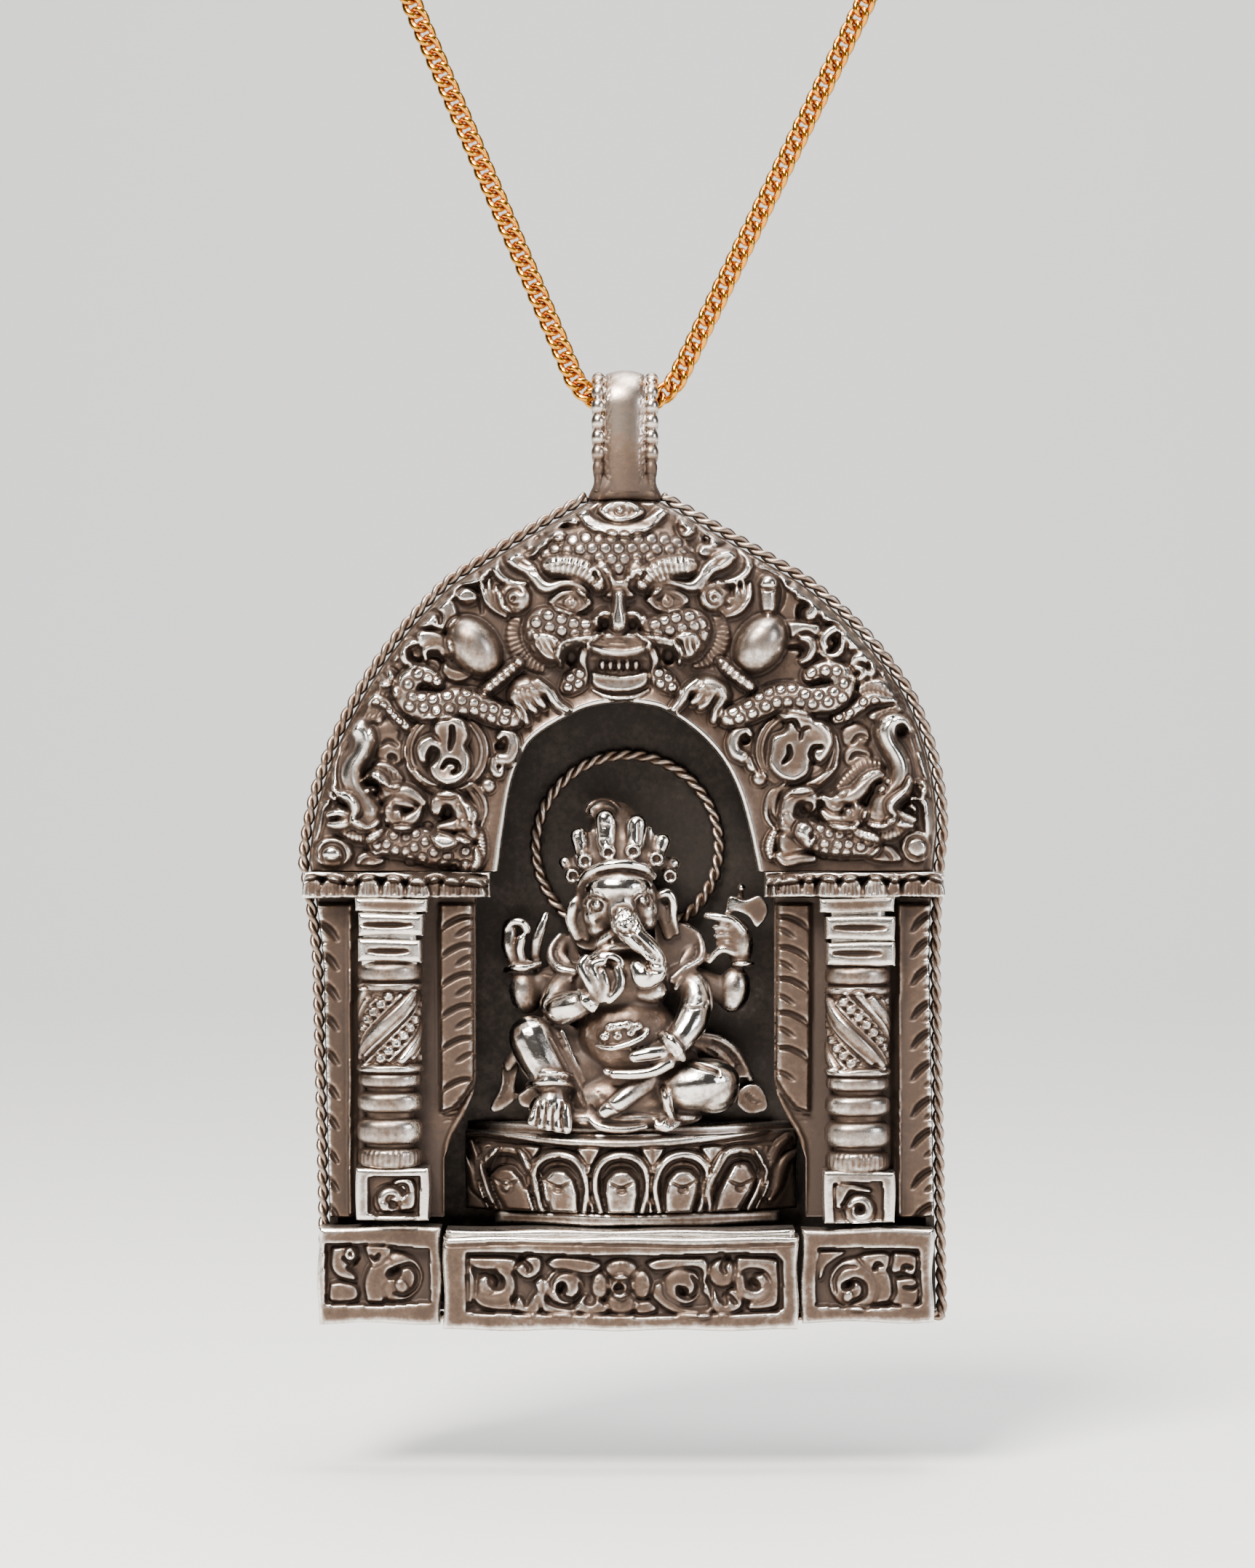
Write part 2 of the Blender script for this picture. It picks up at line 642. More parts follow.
# Outer edge of the rope rim, from the bail down, and the lip of the niche, from the arch's foot up
RIM_LEFT = path("-2.6,69.6 -8,66.5 -15,62.1 -20,56.5 -24,49.8 -26.2,44 -27.1,38.5 -26.4,34.5 -25.9,30")
RIM_RIGHT = path("2.6,69.6 8,66.5 15,62.4 20,58 24,52.7 26,47.4 26.8,41 26.3,35.5 26.15,30")
LIP_LEFT = path("-10.5,37.75 -10.0,41.5 -9.4,45 -8.4,47.6 -7,49.2 -4,50.9 -2,51.5 0,51.7")
LIP_RIGHT = path("11,37.75 10.2,41.5 9.3,44.5 8.0,47 6,49.2 3.4,51 1.6,51.5 0,51.7")
RIM_FEET = (-25.2, 26.7)
BASE_LINE = 0.5


def rim_line(inset):
    """The closed outline of the body, left round to right from the bail, moved in by inset."""
    def arcs(points):
        """The run of arcs through every second point, each over the point between."""
        out = []
        for a, b, c in zip(points[0::2], points[1::2], points[2::2]):
            out += list(arc_through(a, b, c, 14))[:-1]
        return out + [points[-1]]

    line = arcs(RIM_LEFT) + [(RIM_FEET[0], BASE_LINE), (RIM_FEET[1], BASE_LINE)] + arcs(RIM_RIGHT)[::-1]
    line = evenly(np.array(line + [line[0]]), 900)[:-1]
    ahead = np.roll(line, -2, 0) - np.roll(line, 2, 0)
    ahead /= np.linalg.norm(ahead, axis=1)[:, None]
    return line + inset * np.stack([-ahead[:, 1], ahead[:, 0]], 1)


def arc_through(a, b, c, count):
    """Points on the arc from a over b to c."""
    (ax, ay), (bx, by), (cx, cy) = a, b, c
    d = 2 * (ax * (by - cy) + bx * (cy - ay) + cx * (ay - by))
    ux = ((ax ** 2 + ay ** 2) * (by - cy) + (bx ** 2 + by ** 2) * (cy - ay)
          + (cx ** 2 + cy ** 2) * (ay - by)) / d
    uy = ((ax ** 2 + ay ** 2) * (cx - bx) + (bx ** 2 + by ** 2) * (ax - cx)
          + (cx ** 2 + cy ** 2) * (bx - ax)) / d
    radius = math.hypot(ax - ux, ay - uy)
    first = math.atan2(ay - uy, ax - ux)
    last = math.atan2(cy - uy, cx - ux)
    turn = (last - first + math.pi) % (2 * math.pi) - math.pi
    angle = first + turn * np.linspace(0, 1, count + 1)
    return np.stack([ux + radius * np.cos(angle), uy + radius * np.sin(angle)], 1)


def arch_foot(line, side, level):
    """The part of the outline above level on one side, from the foot up to the top."""
    part = line[(line[:, 0] * side >= 0) & (line[:, 1] >= level)]
    order = np.argsort(np.arctan2(part[:, 1] - level, part[:, 0] * side))
    part = part[order]
    first = np.array([[np.interp(level, [part[0, 1], part[0, 1] + 1], [part[0, 0]] * 2), level]])
    top = np.array([[0.0, part[-1, 1]]])
    return np.vstack([first, part, top])


def carve_mask(c):
    """The lion-like face at the top of the arch, with its jewel eye."""
    # Masses of the head
    c.dome(-0.5, 60.4, 8.8, 6.8, 0, 1.2, ditch=0, flat=0.8)
    c.dome(-0.6, 63.3, 7.2, 3.4, 0, 2.0, ditch=0, flat=0.7)
    c.settle()
    # Crescent and jewel eye
    c.leaf(0.75, "-4.1,67.6 -3.4,66.4 -2.2,65.7 -0.3,65.35 1.6,65.7 2.8,66.5 3.4,67.4 2.8,67.6 1.6,66.8"
                 " -0.3,66.3 -2.3,66.7 -3.3,67.6", edge=0.25, flat=0.35)
    c.leaf(1.1, "-2.2,67.5 -1.4,68.1 -0.4,68.45 0.7,68.1 1.6,67.4 0.7,66.7 -0.4,66.45 -1.4,66.7", edge=0.3,
           ditch=0.3)
    c.settle()
    c.pit(-0.35, 67.46, 1.3, 0.72, 0, 0.42)
    c.settle()
    c.ring(-0.4, 67.46, 0.62, 0.15, 0.4)
    c.dome(-0.4, 67.46, 0.34, 0.34, 0, 0.42, ditch=0.1)
    c.settle()
    # Scaly brow
    c.leaf(0.55, "-7.2,63.5 -6.6,64.7 -5.2,65.4 -3,65.7 0,65.6 3,65.5 4.9,65 5.9,63.8 5.7,62.9 2.5,63"
                 " 1.2,61.9 -0.4,61.7 -2,62.6 -4,63.4 -6.3,63", edge=0.6)
    for x, v in path("-5.4,64.9 -4.3,65 -3.2,65.2 -2.1,65.1 -1.1,65.2 0,65.1 1.1,65.1 2.2,65.1 3.3,65"
                     " 4.3,64.8 -4.8,64.1 -3.7,64.2 -2.7,64.3 -1.6,64.3 -0.5,64.3 0.6,64.3 1.6,64.3"
                     " 2.6,64.2 3.7,64.2 4.7,63.9 -6.5,63.9 -5.8,64.3 -2.1,63.5 -1.1,63.4 0,63.4 1.0,63.5"
                     " 2.1,63.5 -0.5,62.6 5.4,63.4"):
        c.scale(x, v, 0.55, 0.16)
    c.settle()
    # Brow jewel and eyebrows, fat and ribbed, each ending in a curl beside the nose
    c.leaf(0.9, "-1.2,61.9 -0.4,61.6 0.3,61.9 0.3,61.1 0.8,60.4 -0.4,60.2 -1.6,60.4 -1.1,61.1", edge=0.3)
    for middle, bulb in (("-6.2,62.9 -5.2,62.9 -4.2,62.7 -3.2,62.3 -2.5,61.7 -2.2,61.2",
                          "-2.3,61 -1.6,61.3 -1.4,62 -1.9,62.6"),
                         ("5.4,62.9 4.5,62.9 3.4,62.7 2.4,62.3 1.8,61.8 1.5,61.3",
                          "1.5,61.1 0.8,61.4 0.5,62.1 1.0,62.7")):
        c.ridge(0.86, 1.5, middle, taper=(0.8, 0.65), ribs=0.46, rib_depth=0.38)
        c.settle()
        c.ridge(0.42, 0.5, bulb, taper=(0.7, 1.35))
    c.pit(-2.4, 62.1, 0.2, 0.5, 15, 0.7)
    c.pit(1.5, 62.2, 0.2, 0.5, -15, 0.7)
    c.settle()
    # Sockets, almond eyes with their lids and balls
    for x, v in ((-4.5, 59.8), (3.5, 59.95)):
        c.pit(x, v, 2.0, 1.15, 0, 0.25)
    c.settle()
    for x, v in ((-4.5, 59.8), (3.5, 59.95)):
        c.leaf(0.6, [(x - 1.8, v + 0.1), (x - 0.9, v + 0.85), (x, v + 1.05), (x + 0.9, v + 0.85),
                     (x + 1.75, v + 0.1), (x + 0.9, v - 0.65), (x, v - 0.85), (x - 0.9, v - 0.65)],
               edge=0.3, flat=0.4, lift=0.25)
        c.settle()
        c.pit(x, v + 0.05, 1.25, 0.58, 0, 0.35)
        c.settle()
        c.leaf(0.35, [(x - 1.0, v), (x, v + 0.5), (x + 1.0, v), (x, v - 0.5)], edge=0.4, ditch=0.1)
        c.settle()
        c.ring(x, v, 0.4, 0.11, 0.3)
        c.dome(x, v, 0.2, 0.2, 0, 0.3, ditch=0.1)
    c.settle()
    # Lids that run out to the ears as broad polished ribbons
    c.leaf(1.0, "-2.9,60.6 -3.3,61.2 -4.2,61.7 -5.4,61.7 -6.3,61.6 -6.9,62.1 -7.5,63 -8.6,63.8 -9.9,64.2"
                " -9.9,63.5 -9.3,62.8 -8.3,62.3 -7.6,61.5 -7,60.8 -6.2,60.7 -5.2,61.1 -4.2,61 -3.4,60.4",
           edge=0.45, flat=0.4)
    c.leaf(1.0, "2,60.7 2.4,61.3 3.3,61.8 4.4,61.7 5.3,61.6 5.9,62.1 6.5,63 7.6,63.8 9.1,64.1 9,63.4"
                " 8.4,62.8 7.4,62.3 6.7,61.5 6.1,60.9 5.3,60.8 4.3,61.1 3.2,61.1 2.5,60.5", edge=0.45,
           flat=0.4)
    c.settle()
    for line in ("-7.4,62.7 -8.2,62.9 -9.2,63.6", "-7.2,62.2 -7.9,62.5", "6.4,62.7 7.2,62.9 8.2,63.6",
                 "6.2,62.2 6.9,62.5"):
        c.groove(0.1, 0.3, line, taper=(0.4, 0.4))
    c.ridge(0.32, 0.95, "-9.8,64.6 -10.6,63.7 -10.6,62.6 -9.9,61.8 -8.9,61.5 -8.1,61.5", taper=(0.5, 0.5))
    c.ridge(0.32, 0.95, "9.4,64.5 10.2,63.6 10.1,62.6 9.4,61.9 8.4,61.6 7.6,61.6", taper=(0.5, 0.5))
    # Ear rolls
    for x, v, r in ((-9.1, 60.3, 1.2), (7.4, 60.4, 1.15)):
        c.dome(x, v, r + 0.2, r + 0.15, 0, 1.0)
        c.settle()
        c.groove(0.14, 0.5, [(x + r * 0.55 * math.cos(a), v + r * 0.55 * math.sin(a))
                            for a in np.radians(np.linspace(20, 300, 9))],
                 taper=(0.4, 0.6))
        c.pit(x - 0.1, v - 0.1, 0.3, 0.22, 30, 0.4)
    for line in ("-11.8,62 -11.7,60.7 -10.9,59.5 -9.8,58.8", "-11.2,61.8 -11.1,60.7 -10.4,59.7 -9.5,59.1",
                 "-10.6,61.3 -10.5,60.6 -10.1,59.9", "10.3,61.5 10.2,60.3 9.4,59.2 8.4,58.8",
                 "9.8,61.6 9.7,60.5 9.0,59.6 8.1,59.1", "9.2,61.4 9.2,60.5 8.7,59.9"):
        c.ridge(0.26, 0.85, line, taper=(0.5, 0.7))
    c.settle()
    # Scaly muzzle on each side, with a chased leaf
    c.leaf(1.15, "-2.2,58.7 -3.3,58.7 -4.6,59.1 -6,59.5 -7.4,59.3 -8.3,58.2 -8.3,56.9 -7.6,55.6 -6.5,54.9"
                 " -5.5,55.2 -5.1,56.5 -3.6,56.7 -2.2,57.1", edge=0.8)
    c.leaf(1.15, "1.5,58.8 2.6,58.8 3.8,59.2 5.2,59.4 6.4,59.1 7.1,58.1 7.1,56.9 6.5,55.8 5.5,55.1 4.7,55.4"
                 " 4.4,56.6 3,56.8 1.5,57.2", edge=0.8)
    c.settle()
    for x, v in path("-6.3,58.8 -5.2,58.5 -7.3,58.2 -7.7,57.2 -6.2,57.8 -4.2,58.1 -5.2,57.5 -3.2,58.1"
                     " -4.1,57.2 -3.1,57.2 -7.5,56.2 3.2,58.4 4.2,58.6 5.3,58.7 6.3,58.1 4.7,57.7 3.7,57.5"
                     " 2.5,58 2.7,57.2 6.6,57.1 5.7,57.9 6.2,56.2"):
        c.scale(x, v, 0.54, 0.16)
    c.settle()
    for shape, cuts in (("-7.6,57.2 -6.6,57.3 -5.6,56.9 -5,56.2 -5.2,55 -6.3,55.2 -7.1,56",
                         ("-6.9,56.9 -6.4,56 -5.7,55.3", "-6.3,57 -5.9,56.2 -5.5,55.6",
                          "-7.2,56.7 -6.8,56 -6.1,55.4")),
                        ("3.9,56.9 4.9,57.4 5.9,57.2 6.2,56.4 5.6,55.5 4.7,55.2 4.2,56",
                         ("4.6,56.7 4.7,56 5,55.5", "5.1,56.9 5.1,56.2 5.4,55.7",
                          "5.6,56.9 5.6,56.3 5.8,55.9"))):
        c.leaf(0.55, shape, edge=0.35, flat=0.4)
        c.settle()
        for cut in cuts:
            c.groove(0.1, 0.4, cut, taper=(0.4, 0.6))
    # Nose with its wings
    c.settle()
    for x in (-1.6, 0.6):
        c.dome(x, 58.4, 0.9, 0.8, 0, 0.9)
    c.settle()
    for side, x in ((-1, -1.6), (1, 0.6)):
        c.pit(x + side * 0.05, 58.05, 0.45, 0.45, 0, 1.0)
        c.ridge(0.3, 0.7, [(x - side * 0.5, 59.0), (x + side * 0.2, 59.15), (x + side * 0.8, 58.7),
                           (x + side * 0.8, 57.9)], taper=(0.7, 0.5), ditch=0)
    # The nose lies over its wings, from one level
    c.ground = np.full(c.h.size, 1.2)
    c.leaf(2.2, "-0.95,60.7 -0.5,60.85 -0.05,60.7 -0.05,59.6 0.15,58.6 0.1,57.8 -0.5,57.4 -1.1,57.8"
                " -1.15,58.6 -0.95,59.6", edge=0.62, flat=0.4, ditch=0)
    c.settle()
    # Lips, whiskers, fangs and teeth
    c.leaf(1.2, "-2.3,57.1 -1.4,57.5 -0.5,57.3 0.4,57.5 1.3,57.1 2.2,56.3 1.3,55.6 -0.5,55.3 -2.3,55.6"
                " -3.2,56.3", edge=0.5)
    c.settle()
    for line in ("-2.1,56.9 -1.3,56.75 -0.5,56.9 0.4,56.75 1.2,56.9",
                 "-2.6,56.4 -1.5,56.2 -0.5,56.15 0.6,56.2 1.6,56.4",
                 "-2.2,56.6 -1.4,56.5 -0.5,56.55 0.4,56.5 1.2,56.6"):
        c.groove(0.12, 0.45, line, taper=(0.4, 0.4))
    for line in ("-1.8,57.4 -2.6,56.9 -3.8,56.7 -4.9,56.4 -5.4,55.6 -5.3,54.7",
                 "0.9,57.4 1.7,56.9 2.9,56.7 4,56.4 4.5,55.7 4.5,54.9"):
        c.ridge(0.28, 1.5, line, taper=(0.5, 0.6))
    c.h -= 0.6 * np.exp(-(((c.x + 0.45) / 2.3) ** 4 + ((c.v - 54.75) / 0.42) ** 4))
    c.settle()
    for x in (-1.95, -1.3, -0.6, 0.1, 0.8):
        c.dome(x + 0.1, 54.75, 0.28, 0.42, 0, 0.8, ditch=0.1)
    for x, v in ((-4.4, 55.4), (3.6, 55.5)):
        c.pit(x, v, 0.55, 0.75, 0, 1.0)
    c.settle()
    for line in ("-3.2,56.2 -3.5,55.2 -3.2,54.3", "2.1,56.2 2.5,55.2 2.3,54.4"):
        c.ridge(0.32, 1.0, line, taper=(1, 0.4))
    # Scaly lobes of the beard, chin
    c.leaf(0.95, "-3.1,54.3 -4.2,54.5 -5.1,53.7 -5.3,52.6 -4.4,52.4 -3.4,52.9 -3,53.6", edge=0.6)
    c.leaf(0.95, "2.1,54.4 3.2,54.5 4.2,53.7 4.6,52.6 3.8,52.4 2.6,52.9 2.1,53.6", edge=0.6)
    c.settle()
    for x, v in path("-3.7,54 -4.5,53.7 -3.8,53.2 -4.7,52.9 2.8,54.1 3.6,53.7 2.9,53.2 3.9,52.9"):
        c.scale(x, v, 0.46, 0.16)
    c.leaf(0.7, "-2.7,54.1 -1.4,53.9 -0.4,53.8 0.8,53.9 1.9,54.1 1.7,53.2 0.7,52.7 -0.4,52.6 -1.6,52.7"
                " -2.6,53.2", edge=0.3, flat=0.35)
    c.ridge(0.22, 0.5, "-2.7,52.7 -1.6,52.2 -0.4,52.05 0.9,52.2 2,52.7", taper=(0.4, 0.4))
    # Ribbed mane beside the cheeks
    c.ridge(0.7, 0.45, "-9,58.7 -9.2,57.2 -8.7,55.8 -7.7,54.9 -6.6,54.4", taper=(0.7, 0.5), ribs=0.4,
            rib_depth=0.28)
    c.ridge(0.7, 0.45, "7.7,58.8 8,57.3 7.6,56 6.8,55.2 5.9,54.8", taper=(0.7, 0.5), ribs=0.4,
            rib_depth=0.28)
    c.settle()


def carve_arms(c):
    """The mask's arms, with bangles, and hands that reach down over the lip."""
    c.dome(-12.4, 56.3, 2.75, 1.95, -52, 2.5, ditch=0.4, flat=0.55)
    c.dome(11.15, 56.5, 2.65, 1.95, 55, 2.5, ditch=0.4, flat=0.55)
    c.ridge(0.5, 1.9, "-11.4,52.7 -10.1,53.8 -8.8,54.9", taper=(0.9, 0.9), ribs=0.62, rib_depth=0.4,
            ditch=0.3)
    c.ridge(0.5, 1.8, "8,54.9 9.1,53.9 10.3,53", taper=(0.9, 0.9), ribs=0.62, rib_depth=0.4, ditch=0.3)
    # Left hand
    c.leaf(1.7, "-9.7,52.5 -9.2,53.5 -8.3,53.9 -7.3,53.7 -6.4,53 -6.2,52.4 -7,51.9 -8,51.6 -9,51.5"
                " -9.6,51.8", edge=1.0)
    c.ridge(0.42, 1.6, "-7.2,53.4 -6.3,52.6 -5.6,51.6 -4.8,51.1", taper=(0.8, 0.8))
    for line in ("-9.1,52.2 -8.6,51.2 -8.1,50.1", "-8.3,52.3 -7.8,51.4 -7.4,51",
                 "-7.6,52.4 -7,51.7 -6.7,51.4"):
        c.ridge(0.4, 1.5, line, taper=(1, 0.7))
    # Right hand
    c.leaf(1.7, "8.8,52.3 8.4,53.2 7.4,53.8 6.4,53.9 5.5,53.3 5,52.6 5.9,52.2 6.8,52 7.8,51.8 8.5,51.7",
           edge=1.0)
    c.ridge(0.42, 1.6, "5.9,53.4 5.1,52.7 4.6,51.8 4,51.1", taper=(0.8, 0.8))
    for line in ("8,52 7.6,51.1 7.3,50.2", "7.1,52.3 6.6,51.6 6.2,51.3", "6.4,52.5 5.9,51.9 5.6,51.7"):
        c.ridge(0.4, 1.5, line, taper=(1, 0.7))
    c.settle()


def carve_serpents(c):
    """A scaly serpent from each hand, its tail curled up, with feathered tails behind."""
    # Feathered tails
    for back, spine, cuts in (
            ("-22.8,51.4 -22,52.2 -21.2,52.9 -20,53.2 -19,53 -18.7,52.2 -19.6,52 -20.8,52.1",
             "-22.6,51.2 -21.6,51.7 -20.6,51.9 -19.8,51.6 -19.2,50.9 -18.6,50.2 -18,49.7",
             (-22.3, -18.9, 52.0, 1)),
            ("22.9,52 22.3,52.9 21.4,53.4 20.3,53.6 19.4,53.2 19,52.5 19.8,52.2 21,52.3",
             "22.4,51.8 21.4,51.9 20.6,52 19.8,51.8 19.1,51.2 18.2,50.6 17.4,50.3",
             (22.6, 19.2, 52.2, -1))):
        c.leaf(0.8, back, edge=0.35)
        x0, x1, v0, hand = cuts
        for k in range(9):
            x = x0 + (x1 - x0) * (k + 0.5) / 9
            c.groove(0.1, 0.3, [(x, v0), (x + 0.25 * hand, v0 + 0.6), (x + 0.1 * hand, v0 + 1.1)])
        c.ridge(0.5, 1.1, spine, taper=(0.4, 0.8))
    c.leaf(0.6, "-22.8,50.7 -22,51.1 -20.8,51.4 -19.9,50.8 -20.1,50.1 -21.2,50 -22.3,50.4", edge=0.3)
    for k in range(7):
        c.groove(0.09, 0.25, f"{-22.4 + 0.38 * k},50.5 {-22.0 + 0.38 * k},51.0", smooth=False)
    c.leaf(0.6, "22.8,51.6 21.8,51.3 20.4,50.9 20.1,50.4 21,50.1 22.1,50.6 23,51.2", edge=0.3)
    for k in range(7):
        c.groove(0.09, 0.25, f"{22.5 - 0.36 * k},51.3 {22.0 - 0.36 * k},50.7", smooth=False)
    c.settle()
    for x, v in path("-20.5,51.6 -19.9,51.4 -19.4,50.9 -19,50.5 -18.6,50.1 20.6,51.7 19.6,51.7 18.5,50.8"
                     " 17.6,50.5 18.4,50.2"):
        c.scale(x, v, 0.36, 0.18)
    # Bodies
    c.settle()
    body = path("-9.3,50.4 -10.6,50.7 -12,51.4 -13.6,51.8 -15.2,51.6 -16.6,51.4 -17.8,51.9 -18,53"
                " -17.3,53.8 -16.3,53.9 -15.5,53.4")
    c.ridge(1.18, 1.7, body, taper=(0.7, 0.5), flat=0.4, ditch=0.4)
    c.settle()
    for x, v in path("-17.8,53.1 -17.4,52.1 -17.7,51.3 -16.5,51.2 -15.5,51 -15.8,51.9 -14.6,52.2 -14.4,51.1"
                     " -13.4,51.8 -13.3,50.9 -12.4,51.6 -12.4,50.9 -11.6,51.2 -10.8,51.1 -11,50.3 -9.9,50.2"
                     " -9.7,50.9 -13,52.5 -17,54 -16.2,53.6 -15.4,53.4 -16.7,52.1"):
        c.scale(x, v, 0.47, 0.16)
    body = path("8.6,50.5 9.8,50.8 11.2,51.5 12.6,52.1 14,52.1 15.4,51.9 16.8,52 17.8,52.7 17.9,53.7"
                " 17,54.3 16,54.3 15.2,53.9")
    c.ridge(1.15, 1.7, body, taper=(0.7, 0.5), flat=0.4, ditch=0.4)
    c.settle()
    for x, v in path("8.9,50.9 9.4,50.3 10.1,51.5 10.5,50.7 11.6,51.3 11.8,52.6 12.5,51.6 12.8,52.8"
                     " 13.4,51.6 13.7,52.9 14.4,51.6 14.8,52.3 15.4,51.5 15.9,52.2 16.7,51.7 17.2,52.5"
                     " 17.9,52 17.2,53.5 18,53.2 16.5,54.2 15.3,54.1 17.4,54.2 15.9,53.4 11,52.2"):
        c.scale(x, v, 0.47, 0.16)
    c.settle()


def carve_medallions(c):
    """Round bosses with foliage, in concentric borders."""
    for x, v, r in ((-14.7, 47.6, 3.5), (14.2, 47.7, 3.5)):
        c.dome(x, v, r, r * 0.93, 0, 0.7, ditch=0.3, flat=0.35)
        c.settle()
        for k in (0.97, 0.83):
            c.ring(x, v, r * k, 0.2, 0.28)
        c.pit(x, v, r * 0.72, r * 0.68, 0, 0.35)
        c.settle()
    # Borders that sweep below them to the lip
    for line in ("-18,46.5 -17.4,45.4 -16.2,44.6 -14.8,44.2 -13.6,44.4 -12.5,44.8 -11.8,44 -11.5,42.8"
                 " -11.9,41.4", "-17.4,46 -16.6,45.2 -15.4,44.9",
                 "-13,44.6 -12.3,43.6 -12.1,42.4 -12.5,41.4", "-13.6,44 -12.9,43 -12.8,42"):
        c.ridge(0.26, 0.5, line, taper=(0.5, 0.5), ditch=0.12)
    for line in ("17.6,46.6 16.9,45.5 15.8,44.8 14.4,44.4 13,44.5 12.1,44.2 11.7,43.2 11.7,42.2 12.2,41.4",
                 "17,46 16,45.3 14.8,44.9", "13.2,45 12.4,44 12.3,42.8 12.9,41.8", "13.7,44.7 13,43.9"):
        c.ridge(0.26, 0.5, line, taper=(0.5, 0.5), ditch=0.12)
    c.settle()
    # Left foliage
    c.leaf(1.3, "-16.9,46.9 -17.1,47.8 -16.8,48.5 -16,48.9 -15.5,48.6 -15.7,49.5 -15.2,50.3 -14.2,50.5"
                " -13.2,50 -12.9,48.9 -13.2,48.1 -12.8,47.2 -12.9,46 -13.7,45.1 -14.8,44.9 -15.6,45.4"
                " -16,46.3 -15.4,47 -15.3,47.7 -15.9,48 -16.3,47.3 -16.4,46.7", edge=0.4, flat=0.35,
           ditch=0.3)
    c.settle()
    c.groove(0.26, 1.0, "-14.2,49.6 -14.2,48.8 -14.4,47.8", taper=(0.9, 0.5))
    c.groove(0.26, 1.0, "-15,46.3 -14.6,46.8 -13.9,46.7 -13.7,46.2 -14.1,45.9", taper=(0.6, 0.8))
    c.groove(0.14, 0.5, "-15.6,49 -15.2,48.4")
    # Right foliage
    c.leaf(1.3, "12,47.7 12.2,48.8 13.1,49.2 13.4,49.9 12.6,50.7 13.6,51 14.9,50.8 15.6,50.1 16.3,50"
                " 17,49.2 16.9,47.9 16.1,46.8 15.3,46.9 15,45.9 13.9,45.2 12.7,45.5 11.9,46.5", edge=0.4,
           flat=0.35, ditch=0.3)
    c.settle()
    c.groove(0.24, 1.0, "13.5,48 13.5,47.3 13,46.7", taper=(0.8, 0.5))
    c.groove(0.26, 1.0, "16.1,48 15.5,47.9 15.3,47.3 15.6,46.7", taper=(0.8, 0.5))
    c.groove(0.24, 0.9, "13.1,50.1 13.9,50.1 14.3,49.4", taper=(0.6, 0.5))
    c.groove(0.16, 0.7, "14.4,48.6 14.6,49.4 15.2,49.6", taper=(0.5, 0.5))
    # Curls by the lip and their pads
    c.ridge(0.5, 1.0, "-10.4,48.8 -9.9,49.2 -9.3,48.8 -9.2,47.9 -9.6,47.1 -10.3,47", taper=(0.5, 1))
    c.pit(-10.3, 48.0, 0.45, 0.42, 0, 0.8)
    c.ridge(0.36, 0.8, "-10.9,46.9 -10.8,46.2 -10.4,45.8 -10.1,46.3", taper=(0.8, 0.5))
    c.dome(-11.3, 44.8, 0.62, 0.6, 0, 0.7)
    c.ridge(0.5, 1.0, "10.3,49 10,49.4 9.3,49.2 8.9,48.4 9.1,47.6 9.7,47.2", taper=(0.5, 1))
    c.pit(9.9, 48.6, 0.45, 0.42, 0, 0.8)
    c.ridge(0.34, 0.8, "10.2,47 10.4,46.4 10.9,46", taper=(0.8, 0.5))
    c.dome(11.1, 45.4, 0.6, 0.6, 0, 0.7)
    c.settle()


